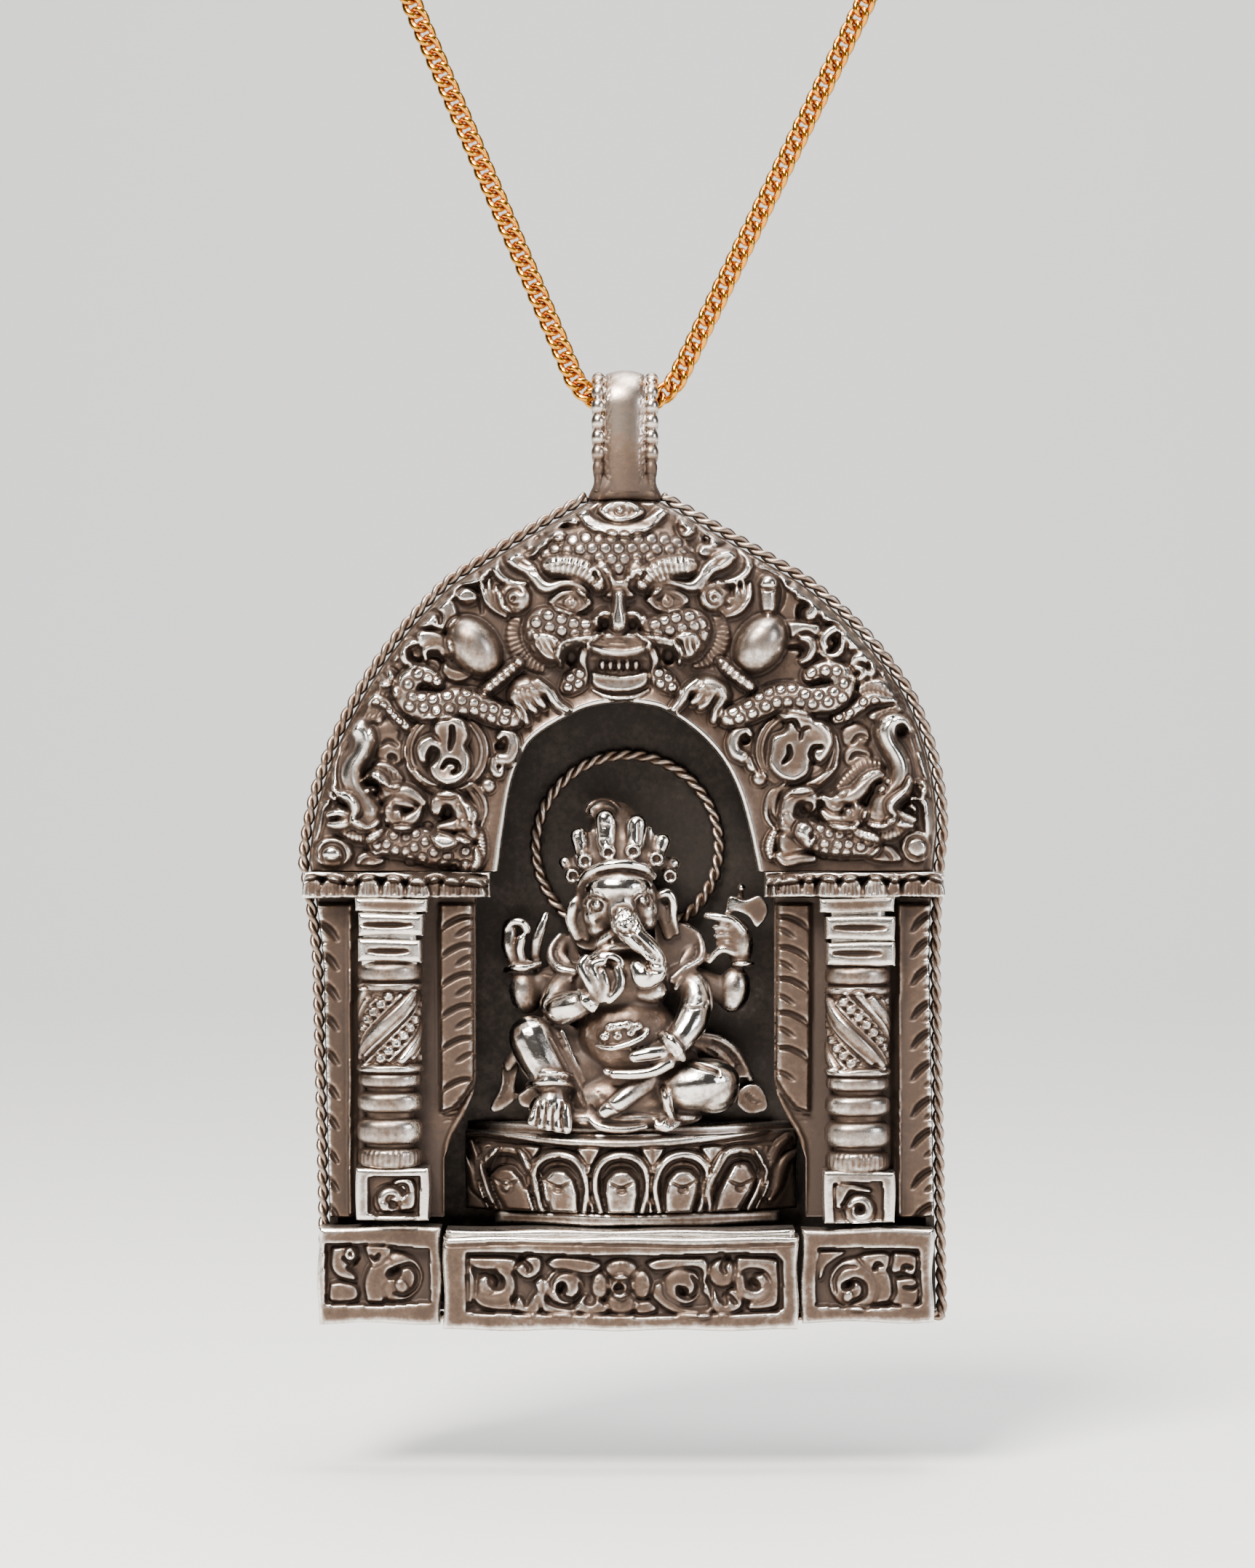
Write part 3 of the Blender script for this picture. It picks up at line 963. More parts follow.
def carve_beasts(c):
    """Sea beasts with curled trunks, ribbed collars and scaly bodies that end in curls."""
    # Behind: neck pads and fans
    for x, v, r in ((-19.8, 49.2, 1.2), (-19.3, 47.6, 1.25), (19.0, 48.9, 1.2), (19.2, 47.2, 1.2)):
        c.dome(x, v, r, r * 0.9, 0, 0.5, flat=0.4)
    c.pit(-19.2, 47.1, 0.45, 0.35, -30, 0.6)
    c.groove(0.22, 0.5, "-20.2,48.1 -19.5,48.5 -18.7,48.1")
    c.groove(0.22, 0.5, "18.7,48.3 19.3,48.9 20,48.8")
    c.groove(0.22, 0.6, "18.5,46.9 19,47.4 19.9,47.3")
    c.leaf(0.8, "-20.9,45.4 -20.6,46.6 -19.7,46.7 -18.8,46.2 -18.3,45.3 -18.8,44.6 -19.6,44.8", edge=0.3)
    for k in range(6):
        c.groove(0.11, 0.3, [(-20.6 + 0.4 * k, 46.5 - 0.14 * k), (-20.2 + 0.34 * k, 45.2 - 0.06 * k)],
                 smooth=False)
    c.ridge(0.62, 0.75, "21.2,46.5 20,46.4 19,45.8 18.2,45.1 17.8,44.6", taper=(0.6, 0.8), ribs=0.36,
            rib_depth=0.28)
    c.settle()
    # Scaly bodies
    c.ridge(1.35, 1.5, "-20.2,40.2 -18.6,40.2 -17,40 -15.4,39.6 -13.6,39.4 -12.9,38.7", taper=(0.8, 0.8),
            flat=0.4, ditch=0.35)
    c.ridge(1.3, 1.5, "20,40 18.6,40.2 17.2,40.3 16,40.5 15,41", taper=(0.8, 0.8), flat=0.4, ditch=0.35)
    c.settle()
    for x, v in path("-19.6,40 -19,40.7 -18,40.6 -17.2,40.9 -16.3,41.3 -18.9,39.4 -18,39.3 -17.3,39.7"
                     " -16.4,40.2 -15.7,39.3 -14.6,39 -17.7,38.7 -16.7,38.8 -13.1,39.4 -13.1,38.2 -14,38.2"
                     " -14.9,38.3 -20.4,39.9"):
        c.scale(x, v, 0.46, 0.16)
    for x, v in path("15.6,41.9 16.1,41.3 16.8,40.9 17.6,40.8 18.6,40.9 16.4,40 17.5,39.9 18.4,40 19.1,40.4"
                     " 19.4,39.8 18.2,39.2 17.3,39.3 16.4,39.3 15.6,40.6 20,40.3"):
        c.scale(x, v, 0.46, 0.16)
    c.settle()
    # Hip leaf and tail foliage
    c.leaf(1.5, "-15.9,40.6 -15.2,41 -14.4,40.8 -13.7,40.2 -14.2,39.7 -15,39.6 -15.6,40", edge=0.4)
    c.ridge(0.62, 1.4, "-15.5,42.9 -15.4,43.5 -14.7,43.8 -13.9,43.5 -13.5,42.7 -13.3,42 -13.6,41.6"
                       " -14.6,41.4 -15.2,41.3", taper=(0.9, 0.7), flat=0.4)
    c.ridge(0.5, 1.4, "-13.5,42.9 -13,42.9 -12.7,42.2 -13.2,41.8", taper=(0.8, 0.7), flat=0.4)
    c.ridge(0.5, 1.3, "-13.3,41.5 -12.8,41.4 -12.6,40.9 -13.1,40.5 -13.6,40.7", taper=(0.9, 0.7), flat=0.4)
    c.pit(-14.7, 42.5, 0.5, 0.55, 0, 0.8)
    c.ridge(0.42, 0.9, "-11.9,40.9 -11.9,39.8 -12,38.7 -12.4,38.1", taper=(0.7, 0.7), ribs=0.3,
            rib_depth=0.25)
    c.ridge(0.64, 1.4, "15.2,43.2 15.3,43.9 14.6,44.1 13.8,43.8 13.4,43 13.4,42.2 14,41.7 14.9,41.2",
            taper=(0.9, 0.7), flat=0.4)
    c.ridge(0.55, 1.3, "13.4,42 13.3,41.4 13.9,41.1 14.6,40.7 14.9,40.3", taper=(0.9, 0.7), flat=0.4)
    c.leaf(1.2, "12.6,40.7 13.2,40.9 14,40.4 15,40.2 15.6,40.6 15.2,39.7 14.2,39.2 13.2,39 12.7,39.6",
           edge=0.4)
    c.pit(15, 43, 0.55, 0.5, 0, 0.8)
    c.ridge(0.45, 1.1, "12.7,39 13.3,38.6 14.4,38.8 15.5,38.8", taper=(0.8, 0.7), flat=0.4)
    c.ridge(0.4, 0.9, "12.4,41.1 12.1,40.4 11.9,39.6 12,39", taper=(0.7, 0.7), ribs=0.3, rib_depth=0.25)
    c.settle()
    # Lower jaw rolls and beard curls behind the head
    c.ridge(0.62, 1.5, "-19.4,42.6 -19,42 -18.1,41.8 -17.3,42.3 -16.9,42.9", taper=(1, 0.5), flat=0.4)
    c.curl(-19, 42.5, 0.62, 0.7, 120, 1, 0.36, 1.5, end=0.5)
    c.ridge(0.6, 1.5, "-20,43.9 -19.2,44.3 -18.2,44.3 -17.2,43.9 -16.6,43.4", taper=(0.7, 0.6), flat=0.4)
    c.ridge(0.4, 1.4, "-19.7,43.2 -19,43.5 -18.2,43.4 -17.4,43.1", taper=(0.6, 0.5), flat=0.4)
    c.ridge(0.4, 1.5, "-21.5,45.3 -20.9,45.7 -20.2,45.5 -19.8,44.9 -19.6,44.2", taper=(0.4, 1), flat=0.4)
    c.ridge(0.64, 1.5, "19.2,42.7 18.9,42.1 18,41.8 17,42.1 16.3,42.6", taper=(1, 0.5), flat=0.4)
    c.curl(18.7, 42.6, 0.62, 0.7, 60, -1, 0.36, 1.5, end=0.5)
    c.ridge(0.64, 1.5, "16.3,43.8 17,43.5 17.8,43.8 18.8,44 19.4,44.5 20.1,45.3 21,45.7 21.4,45.3",
            taper=(0.5, 0.5), flat=0.4)
    c.ridge(0.36, 1.3, "16.6,43.2 17.4,42.9 18,43.2", taper=(0.6, 0.5), flat=0.4)
    c.settle()
    # Heads and trunks
    c.dome(-21.3, 42.1, 1.3, 1.0, 0, 2.0, flat=0.45)
    c.leaf(2.1, "-23.9,48.9 -23.4,49.8 -22.3,50.3 -21.1,49.9 -20.5,48.8 -20.9,47.4 -21.6,46.2 -21.6,45.2"
                " -20.8,44.1 -20.1,43 -20.3,42 -21.2,41.7 -22,42.2 -22.6,43.2 -23.2,44.4 -23.4,45.6"
                " -23.1,46.8 -22.4,47.8 -22.3,48.6 -22.8,49.1 -23.4,48.7", edge=0.95, flat=0.5, ditch=0.3)
    c.pit(-23.2, 48.1, 0.5, 0.6, -30, 0.7)
    c.ridge(0.26, 1.2, "-23.6,47.7 -24,46.6 -24,45.4 -23.4,44.2 -22.4,43.1 -22.1,42.4", taper=(0.4, 0.6))
    c.dome(20.9, 42.3, 1.4, 1.05, 0, 2.0, flat=0.45)
    c.leaf(2.1, "23.9,49.3 23.5,50.2 22.5,50.7 21.3,50.5 20.6,49.5 20.8,48.3 21.4,47.3 21.8,46.4 21.7,45.5"
                " 20.9,44.6 20.2,43.5 20.1,42.4 20.8,41.8 21.6,42.2 22.2,43.3 23,44.2 23.5,45.3 23.5,46.6"
                " 23,47.8 22.4,48.7 22.4,49.4 22.9,49.6 23.4,49.2", edge=0.95, flat=0.5, ditch=0.3)
    c.settle()
    c.groove(0.1, 0.35, "22.9,50.1 22.2,50.1 21.9,49.3 22.3,48.3 23,47.4 23.3,46.3 23,45.1 22,44 21.6,43.2"
                        " 22.4,42.6 23.6,42")
    c.pit(22.7, 49.4, 0.5, 0.55, 0, 0.8)
    # Eyes
    c.pit(-20.9, 45.0, 0.75, 0.5, 0, 0.5)
    c.dome(-20.8, 44.5, 0.45, 0.25, -10, 1.2)
    c.pit(20.9, 44.7, 0.75, 0.5, 0, 0.5)
    c.dome(20.9, 44.6, 0.45, 0.35, 20, 1.2)
    # Jaws with folded lips
    for line in ("-24.4,42.4 -23.6,42.6 -22.8,42.4 -22.2,42.8 -22.4,43.5 -23.2,44.1",
                 "-24.3,41.6 -23.4,41.6 -22.4,41.8 -21.6,41.5"):
        c.ridge(0.42, 1.7, line, taper=(0.6, 0.7), flat=0.4)
    for line in ("-23.7,43.2 -23.2,42.8 -22.7,43.1", "-23.9,43.7 -23.4,44 -22.9,43.6",
                 "-24.6,44.6 -24.2,44 -23.8,43.6", "-24.3,44.9 -23.9,44.4 -23.5,44.1"):
        c.ridge(0.22, 1.4, line, taper=(0.5, 0.6))
    for line in ("23.8,42 23,42.3 22.2,42.7 21.9,43.2 22.5,43.8 23.2,44.4 23.5,45.2",
                 "23.6,41.5 22.8,41.7 21.8,41.9"):
        c.ridge(0.4, 1.7, line, taper=(0.6, 0.7), flat=0.4)
    for line in ("23.1,43 23.6,43.1 24,42.7", "23.4,43.7 23.8,43.8",
                 "24.1,44.7 24.5,44.4 24.4,43.8 23.9,43.7", "23.9,45 24.6,45 24.8,44.2"):
        c.ridge(0.22, 1.4, line, taper=(0.5, 0.6))
    # Ribbed collars
    c.ridge(0.72, 1.3, "-19.9,41.8 -20.5,41.1 -21.4,40.8 -22.4,40.8 -23.2,41", taper=(0.5, 0.5), ribs=0.34,
            rib_depth=0.34)
    c.ridge(0.72, 1.3, "19.3,41.2 20.2,41 21.2,40.9 22.3,41.1 23.4,41.5", taper=(0.9, 0.4), ribs=0.34,
            rib_depth=0.34)
    # Bent leaf up the rim, scroll discs at the foot, loose leaf
    c.ridge(0.6, 1.0, "-25.6,40.6 -25.6,42 -25.3,43 -24.6,43.5", taper=(0.5, 0.5))
    c.ridge(0.6, 1.0, "25,40.9 25.2,42.2 25,43.2 24.4,43.6", taper=(0.5, 0.5))
    c.ridge(0.3, 0.7, "25.4,43.8 25.2,45.2 24.7,46.4 24.3,47.4", taper=(0.5, 0.5))
    c.dome(-24.1, 39.3, 1.7, 1.25, 0, 0.9, flat=0.4)
    c.dome(24, 39.8, 1.25, 1.35, 0, 0.9, flat=0.4)
    c.settle()
    c.groove(0.2, 0.6, "-24.9,38.5 -25.1,39.4 -24.4,40 -23.5,39.8 -23.1,39 -23.3,38.4")
    c.groove(0.18, 0.6, "23.1,39.6 23.4,40.4 24.2,40.6 24.9,40.1 24.9,39.3 24.3,38.8 23.5,39 23.1,39.6")
    c.dome(-24.1, 39.2, 0.75, 0.6, 0, 0.45, ditch=0.1)
    c.leaf(0.6, "-22.2,38.3 -22,39 -21.3,39.4 -20.4,39.2 -19.8,38.6 -20.6,38.2", edge=0.3)
    c.groove(0.13, 0.45, "-21.8,38.3 -21.2,38.7 -20.6,38.6")
    c.leaf(0.6, "19.9,38.8 20.8,39.7 21.7,39.9 22.5,39.3 22.8,38.6 21.4,38.5", edge=0.3)
    c.groove(0.13, 0.45, "21.2,39.6 21.8,39 22,38.6")
    c.settle()


def carve_foliage(c):
    """Leaves with drilled holes and curls, between the figures and the rim."""
    # Beside the jewel eye, left then right
    c.ridge(0.5, 0.85, "-4.1,66.6 -4.8,66.9 -5.6,66.7 -6.1,66.2 -6,65.6 -5.4,65.4", taper=(0.6, 0.9))
    c.pit(-4.9, 66.2, 0.42, 0.32, -20, 0.7)
    c.ridge(0.45, 0.8, "-6.4,66.2 -7.2,65.9 -8,65.6 -8.5,65.1 -8.1,64.8", taper=(0.6, 0.9))
    c.pit(-7.4, 65.4, 0.35, 0.3, 0, 0.7)
    c.leaf(0.6, "-6.2,65.4 -6.9,65.3 -7.4,64.8 -8.6,64.5 -9.4,64.6 -8.8,63.8 -7.8,63.6 -7,64.2 -6.4,64.8",
           edge=0.3)
    c.groove(0.15, 0.45, "-8.4,64.4 -7.9,64 -7.6,64.4")
    c.curl(5, 66.1, 0.62, 1.0, 100, -1, 0.32, 0.95, end=0.4)
    c.pit(4.55, 65.9, 0.5, 0.5, 30, 0.6)
    c.ridge(0.4, 0.8, "6.2,66.2 6.9,65.9 7.5,65.6 7.8,65.1 7.3,64.9", taper=(0.6, 0.9))
    c.pit(6.7, 65.1, 0.35, 0.35, 0, 0.8)
    c.leaf(0.6, "6.3,64.6 7,64.6 7.6,64.4 8.6,64.5 9.2,64.4 8.4,63.9 7.4,63.7 6.6,63.7 6.1,64", edge=0.3)
    # Left shoulder, from the top down
    c.leaf(1.0, "-14.9,61.6 -14.3,62.6 -13,63.3 -11.5,63.6 -11,63 -11.4,62 -12.2,61.5 -13.5,61.3"
                " -14.4,60.9", edge=0.35)
    c.pit(-12.1, 62.3, 0.28, 0.42, 10, 0.9)
    c.groove(0.16, 0.7, "-13.7,62.8 -13.3,62.3 -13.2,62", taper=(0.5, 1))
    c.groove(0.17, 0.7, "-14.5,61.6 -13.9,61.8 -13.4,61.3")
    c.ridge(0.3, 0.95, "-15.3,61.7 -15.2,61.1 -14.7,60.8 -14.2,61.1 -14.3,61.5", taper=(0.8, 0.7))
    c.ridge(0.22, 0.9, "-15.8,61 -15.5,60.4 -14.8,60.2 -14.2,60.4 -14,61", taper=(0.7, 0.7))
    c.leaf(0.9, "-13.9,60.4 -13.2,61 -12.5,60.8 -12.2,60.2 -12.8,59.8 -13.5,59.9", edge=0.25)
    c.groove(0.14, 0.4, "-13.7,59.95 -13,59.9 -12.4,60.05")
    c.groove(0.2, 0.8, "-13.4,61.3 -12.5,61.2 -12,60.7 -11.85,59.8 -11.8,59")
    c.leaf(1.0, "-17.1,58.6 -17,59.6 -16.3,60.2 -15.4,60.3 -14.2,60 -13.8,59.2 -13.8,58.6 -14.6,57.8"
                " -15.2,57.5 -16,57.8 -16.9,57.8", edge=0.35)
    c.groove(0.3, 1.1, "-16.4,59.1 -15.9,59.2 -15.3,58.9 -15.2,58.2", taper=(0.7, 0.5))
    c.ridge(0.28, 1.2, "-16.9,58.3 -16.3,58.1 -15.9,58.5", taper=(0.8, 0.6))
    c.leaf(1.0, "-17.2,57.3 -16.6,57.6 -15.6,57.5 -14.8,57.1 -14.3,56.2 -14.4,55.4 -15.1,55.9 -16,56.4"
                " -16.9,56.2", edge=0.35)
    c.groove(0.15, 0.7, "-17,57.7 -16.1,57.8 -15.1,57.6")
    c.ridge(0.42, 0.95, "-17.3,58.3 -18.2,57.8 -18.8,57 -19.1,56 -19,55.4", taper=(0.5, 0.7))
    c.groove(0.18, 0.7, "-18.4,56.6 -17.9,57 -17.2,57.1")
    c.ridge(0.34, 0.95, "-17.2,56.6 -17.9,56.5 -18.2,55.8 -18,55 -17.3,54.7", taper=(0.6, 0.6))
    c.groove(0.22, 0.9, "-17.9,56.1 -17.7,55.3 -17,55.1 -16.6,55.4", taper=(0.6, 0.8))
    c.ridge(0.26, 0.9, "-16.4,55.2 -16.5,55.9 -16,56.2 -15.3,56.1 -15,55.6", taper=(0.6, 0.6))
    c.groove(0.22, 0.9, "-16,55.5 -15.4,55.4 -15,54.9 -15.1,54.4", taper=(0.6, 0.7))
    c.leaf(0.5, "-14.9,54.9 -14,54.4 -12.6,54.1 -13.4,53.4 -14.4,53.5 -15,54", edge=0.3)
    c.ridge(0.34, 0.95, "-19.3,55.6 -20.1,55.2 -20.8,54.4 -21.2,53.6", taper=(0.5, 0.6))
    c.ridge(0.36, 1.0, "-20.4,54 -20.1,53.5 -19.5,53.3 -19.2,53.9 -19.6,54.3", taper=(0.8, 0.8))
    c.groove(0.2, 0.9, "-19.9,54.4 -19.3,54.5 -18.9,54.1 -18.7,53.4")
    # Right shoulder
    c.leaf(1.0, "10.7,63.1 11.4,63.5 12.4,63.3 13.5,62.9 13.2,62.3 12.4,62.3 11.9,62.6 11.3,62.8", edge=0.3)
    c.groove(0.2, 0.8, "11,63 11.7,63.2 12.2,62.9")
    c.leaf(0.95, "12.8,62 13.5,62.3 14.4,61.9 15.2,61.2 14.7,60.6 13.9,60.7 13.4,61.1", edge=0.3)
    c.pit(13.6, 61.4, 0.4, 0.28, 10, 0.8)
    c.ridge(0.62, 1.05, "11.8,61.4 11.8,60.4 11.8,59.4", taper=(1.1, 0.9), flat=0.4)
    c.groove(0.13, 0.6, "11.2,61.05 11.8,60.95 12.5,61.05", smooth=False)
    c.groove(0.2, 0.8, "12.7,61.9 13,61 12.9,60 12.5,59.1")
    c.ridge(0.55, 1.05, "14.3,60.4 15,60.5 15.5,60.1 15.6,59.4 15.3,58.9", taper=(0.5, 0.9))
    c.groove(0.3, 1.1, "15,59.7 14.5,59.5 14.4,58.8 14.8,58.3", taper=(0.7, 0.6))
    c.leaf(0.9, "16,60 16.8,59.7 18,58.9 18.9,58 19.6,57.1 18.6,56.3 18,57 17,58.2 16.2,58.6", edge=0.35)
    c.leaf(0.85, "13.2,58.3 14.2,58.3 15.2,58.2 16,58 16.1,57.4 15.4,57 14.4,57.3 13.7,57", edge=0.35)
    c.groove(0.17, 0.7, "14.4,57.3 15,57.4 15.6,57.1")
    c.ridge(0.42, 1.0, "14.5,57 15.2,56.8 15.5,56.2 15.1,55.4 14.6,55.1", taper=(0.6, 0.7))
    c.groove(0.26, 1.0, "13.6,56.2 14.4,56.2 14.7,55.8 14.4,55.3", taper=(0.8, 0.6))
    c.ridge(0.36, 1.0, "16.5,56 16.3,56.8 16.8,57.5 17.6,57.8 18,57.6", taper=(0.9, 0.4))
    c.groove(0.18, 0.8, "16.3,57.9 17.2,58.2 18.1,57.5")
    c.ridge(0.3, 0.95, "17.9,57.2 17.9,56.4 17.5,55.7 16.7,55.4 16.1,55.8", taper=(0.5, 0.7))
    c.groove(0.24, 1.0, "17.2,57 17.5,56.6 17.2,56 16.7,55.9", taper=(0.7, 0.6))
    c.ridge(0.6, 1.0, "18.6,56.2 19.6,56.4 20.6,56 21.2,55 21.7,53.9 22.2,53.2", taper=(0.5, 0.5))
    c.groove(0.17, 0.7, "21,55 21.2,54.4 20.9,53.9")
    c.ridge(0.5, 1.0, "18.6,54.6 19.1,55.3 19.9,55.4 20.3,54.8 20.2,54.1", taper=(0.5, 0.8))
    c.groove(0.26, 0.9, "20.1,55 19.9,54.3 19.4,54.1", taper=(0.6, 0.7))
    c.ridge(0.3, 1.0, "18.9,54.3 19.2,54.5 19.7,54.1 19.3,53.6 18.8,53.6", taper=(0.7, 0.7))
    # Bands that follow the rim
    c.ridge(0.24, 0.5, "24.4,50.2 24.8,48.6 25.2,46.6 25.6,44.6", taper=(0.4, 0.4), ditch=0.1)
    c.ridge(0.24, 0.5, "23.9,50.4 24.3,48.8 24.6,47.4", taper=(0.4, 0.4), ditch=0.1)
    c.ridge(0.22, 0.5, "-24.6,47.8 -25,46.4 -25.3,44.8", taper=(0.4, 0.4), ditch=0.1)
    c.settle()


def rim_skirt():
    """The slanted edge that runs from the relief out to the rope, on both sides down to the capitals."""
    above = np.flatnonzero(rim_line(0)[:, 1] > 35.5)
    # The outline starts at the bail, so the run from one capital round to the other is in two stretches
    gap = int(np.argmax(np.diff(above))) + 1 if np.diff(above).max() > 1 else 0
    order = np.roll(above, -gap)
    section = ((1.9, 7.2), (1.65, 7.4), (1.4, 7.36), (1.14, 7.2), (1.0, 7.08), (1.2, 7.03), (1.9, 7.03))
    rows, columns = len(order), len(section)
    # Its front edge waves a little, as a file leaves it
    wave = np.random.default_rng(8).normal(0, 1, rows)
    wave = np.convolve(np.concatenate([wave[-9:], wave, wave[:9]]), np.ones(19) / 19, "valid")[:rows] * 0.12
    points = []
    for k, (inset, depth) in enumerate(section):
        line = rim_line(inset)[order]
        points.append(placed(line[:, 0], line[:, 1], np.full(rows, depth) + (wave if k < 3 else 0)))
    points = np.stack(points, 1).reshape(-1, 3) / MM
    faces = [[i * columns + j, i * columns + (j + 1) % columns, (i + 1) * columns + (j + 1) % columns,
              (i + 1) * columns + j] for i in range(rows - 1) for j in range(columns)]
    return points, faces + [list(range(columns)), [(rows - 1) * columns + j for j in range(columns)]]


def build_arch(silver):
    """The cast arch as one sheet with relief, closed behind."""
    across, along = 150, 300
    halves = []
    for side, lip in ((-1, LIP_LEFT), (1, LIP_RIGHT)):
        rim, wall = (arch_foot(rim_line(inset), side, ARCH_FOOT)
                     for inset in (CASTING_INSET, BAND_WALL_INSET))
        halves.append([evenly(line, along) for line in (rounded(lip, 10), rim, wall)])
    lip, rim, wall = (np.vstack([left, right[::-1][1:]]) for left, right in zip(*halves))
    share = np.linspace(0, 1, across + 1)[None, :, None]
    flat = lip[:, None] * (1 - share) + rim[:, None] * share
    x, v = flat[..., 0], flat[..., 1]
    c = Carving(x, v)
    # The plain ground swells at the lip
    t = np.broadcast_to(share[..., 0], x.shape).ravel()
    c.h += 0.35 * np.exp(-(t / 0.05) ** 2)
    c.settle()
    carve_medallions(c)
    carve_foliage(c)
    carve_beasts(c)
    carve_serpents(c)
    carve_arms(c)
    carve_mask(c)
    h = c.smoothed()
    edge = np.minimum(1, (1 - share[..., 0]) * 16 / np.interp(np.abs(x), [2.5, 6], [0.4, 0.9]))
    lip_fall = np.minimum(1, share[..., 0] * 15 / 0.35)
    d = 7.3 + 0.7 * edge + h * np.minimum(1, edge * 1.2) - 0.35 * (1 - lip_fall) ** 2
    rows, columns = x.shape
    n = rows * columns
    # Behind, the edge lies on the side band and the rest drops in between the band's two sides
    behind = [placed(line[:, 0], line[:, 1], np.full(rows, depth)) / MM
              for line, depth in ((rim, BAND_FACE), (wall, BAND_FACE), (wall, BEHIND_BAND),
                                  (lip, BEHIND_BAND))]
    points = np.vstack([placed(x, v, d).reshape(-1, 3) / MM] + behind)
    faces = [grid_faces(rows, columns, flip=True)]
    i = np.arange(rows - 1)
    rings = [(i * columns + columns - 1, columns)] + [(n + k * rows + i, 1) for k in range(4)]
    rings.append((i * columns, columns))
    for (a, step_a), (b, step_b) in zip(rings, rings[1:]):
        faces.append(np.stack([a, a + step_a, b + step_b, b], 1))
    faces = np.vstack(faces).tolist()
    for row in (0, rows - 1):
        faces.append([row * columns + j for j in range(columns)] + [n + k * rows + row for k in range(4)])
    skirt_start = len(points)
    points, faces = gathered([(points, faces), rim_skirt()])
    piece = new_piece("arch_relief", points, faces, silver, ("arch_frame",), "cast_silver")
    # Nothing rubs the slanted edge behind the rope
    dulled(piece, skirt_start, len(points), 0.2)
    scaly = np.zeros(len(points))
    scaly[:n] = c.scaly
    set_mark(piece, "scaly", scaly)
    # Nor the plain strip round the niche
    shelter = np.ones(len(points))
    shelter[:n] = np.clip(1.3 - np.abs(t - 0.042) / 0.03, 0, 1)
    set_mark(piece, "shelter", shelter)


# The chain's loop, mm: round the neck as a circle, each strand a straight run down to the bail.
CHAIN_ROUTE = {"left_strand": 23.4, "right_strand": 26.5, "neck_radius": 61.0, "neck_corners": 8,
               "bail_corner": 3.2, "bail_bend": 0.945, "clasp": 12.1}


def chain_line():
    """The chain's centre line in mm, from one end of the clasp to the other, as points X, Z."""
    r = CHAIN_ROUTE
    left, right = math.radians(r["left_strand"]), math.radians(r["right_strand"])
    a = np.array([[math.cos(left), math.sin(left)], [-math.cos(right), math.sin(right)]])
    reach = [r["neck_radius"] - r["bail_corner"] * math.cos(left),
             r["neck_radius"] - r["bail_corner"] * math.cos(right)]
    centre = np.linalg.solve(a, reach)
    first, last = math.pi + left, -right
    step = (first - last) / r["neck_corners"]
    far = r["neck_radius"] / math.cos(step / 2)
    around = [centre + far * np.array([math.cos(first - (k + 0.5) * step),
                                       math.sin(first - (k + 0.5) * step)])
              for k in range(r["neck_corners"])]
    top = (first + last) / 2
    nape = centre + r["neck_radius"] * np.array([math.cos(top), math.sin(top)])
    tangent = np.array([math.sin(top), -math.cos(top)]) * r["clasp"] / 2
    half = r["neck_corners"] // 2
    bail = [np.array([-r["bail_corner"], 0]), np.array([r["bail_corner"], 0])]
    corners = [nape - tangent] + around[:half][::-1] + bail + around[half:][::-1] + [nape + tangent]
    line = [corners[0]]
    for k in range(1, len(corners) - 1):
        before, corner, after = corners[k - 1:k + 2]
        run_in, run_out = np.linalg.norm(corner - before), np.linalg.norm(after - corner)
        cut = 0.45 * min(run_in * (2 if k == 1 else 1), run_out * (2 if k == len(corners) - 2 else 1))
        if abs(corner[1]) < 0.01:
            cut = r["bail_bend"] * r["bail_corner"]
        u, w = (before - corner) / run_in, (after - corner) / run_out
        radius = cut * math.tan(math.acos(np.clip(u @ w, -1, 1)) / 2)
        middle = corner + (u + w) / np.linalg.norm(u + w) * math.hypot(cut, radius)
        start, end = corner + u * cut - middle, corner + w * cut - middle
        angle = math.atan2(start[1], start[0])
        turn = (math.atan2(end[1], end[0]) - angle + math.pi) % (2 * math.pi) - math.pi
        for t in np.linspace(0, 1, 24):
            line.append(middle + radius * np.array([math.cos(angle + turn * t), math.sin(angle + turn * t)]))
    line.append(corners[-1])
    return np.array(line) - nape


def copied(mesh_points, mesh_faces, frames):
    """One shape set down once per frame: a place and three axes, all in the same units."""
    points, faces = [], []
    for k, (place, axes) in enumerate(frames):
        points.append(place + mesh_points @ np.array(axes))
        faces += [[i + k * len(mesh_points) for i in face] for face in mesh_faces]
    return np.vstack(points), faces


def taken(piece):
    """The points in mm and the faces of a modelled piece, which then goes."""
    points = np.array([v.co for v in piece.data.vertices]) / MM
    faces = [list(p.vertices) for p in piece.data.polygons]
    mesh = piece.data
    bpy.data.objects.remove(piece)
    bpy.data.meshes.remove(mesh)
    return points, faces


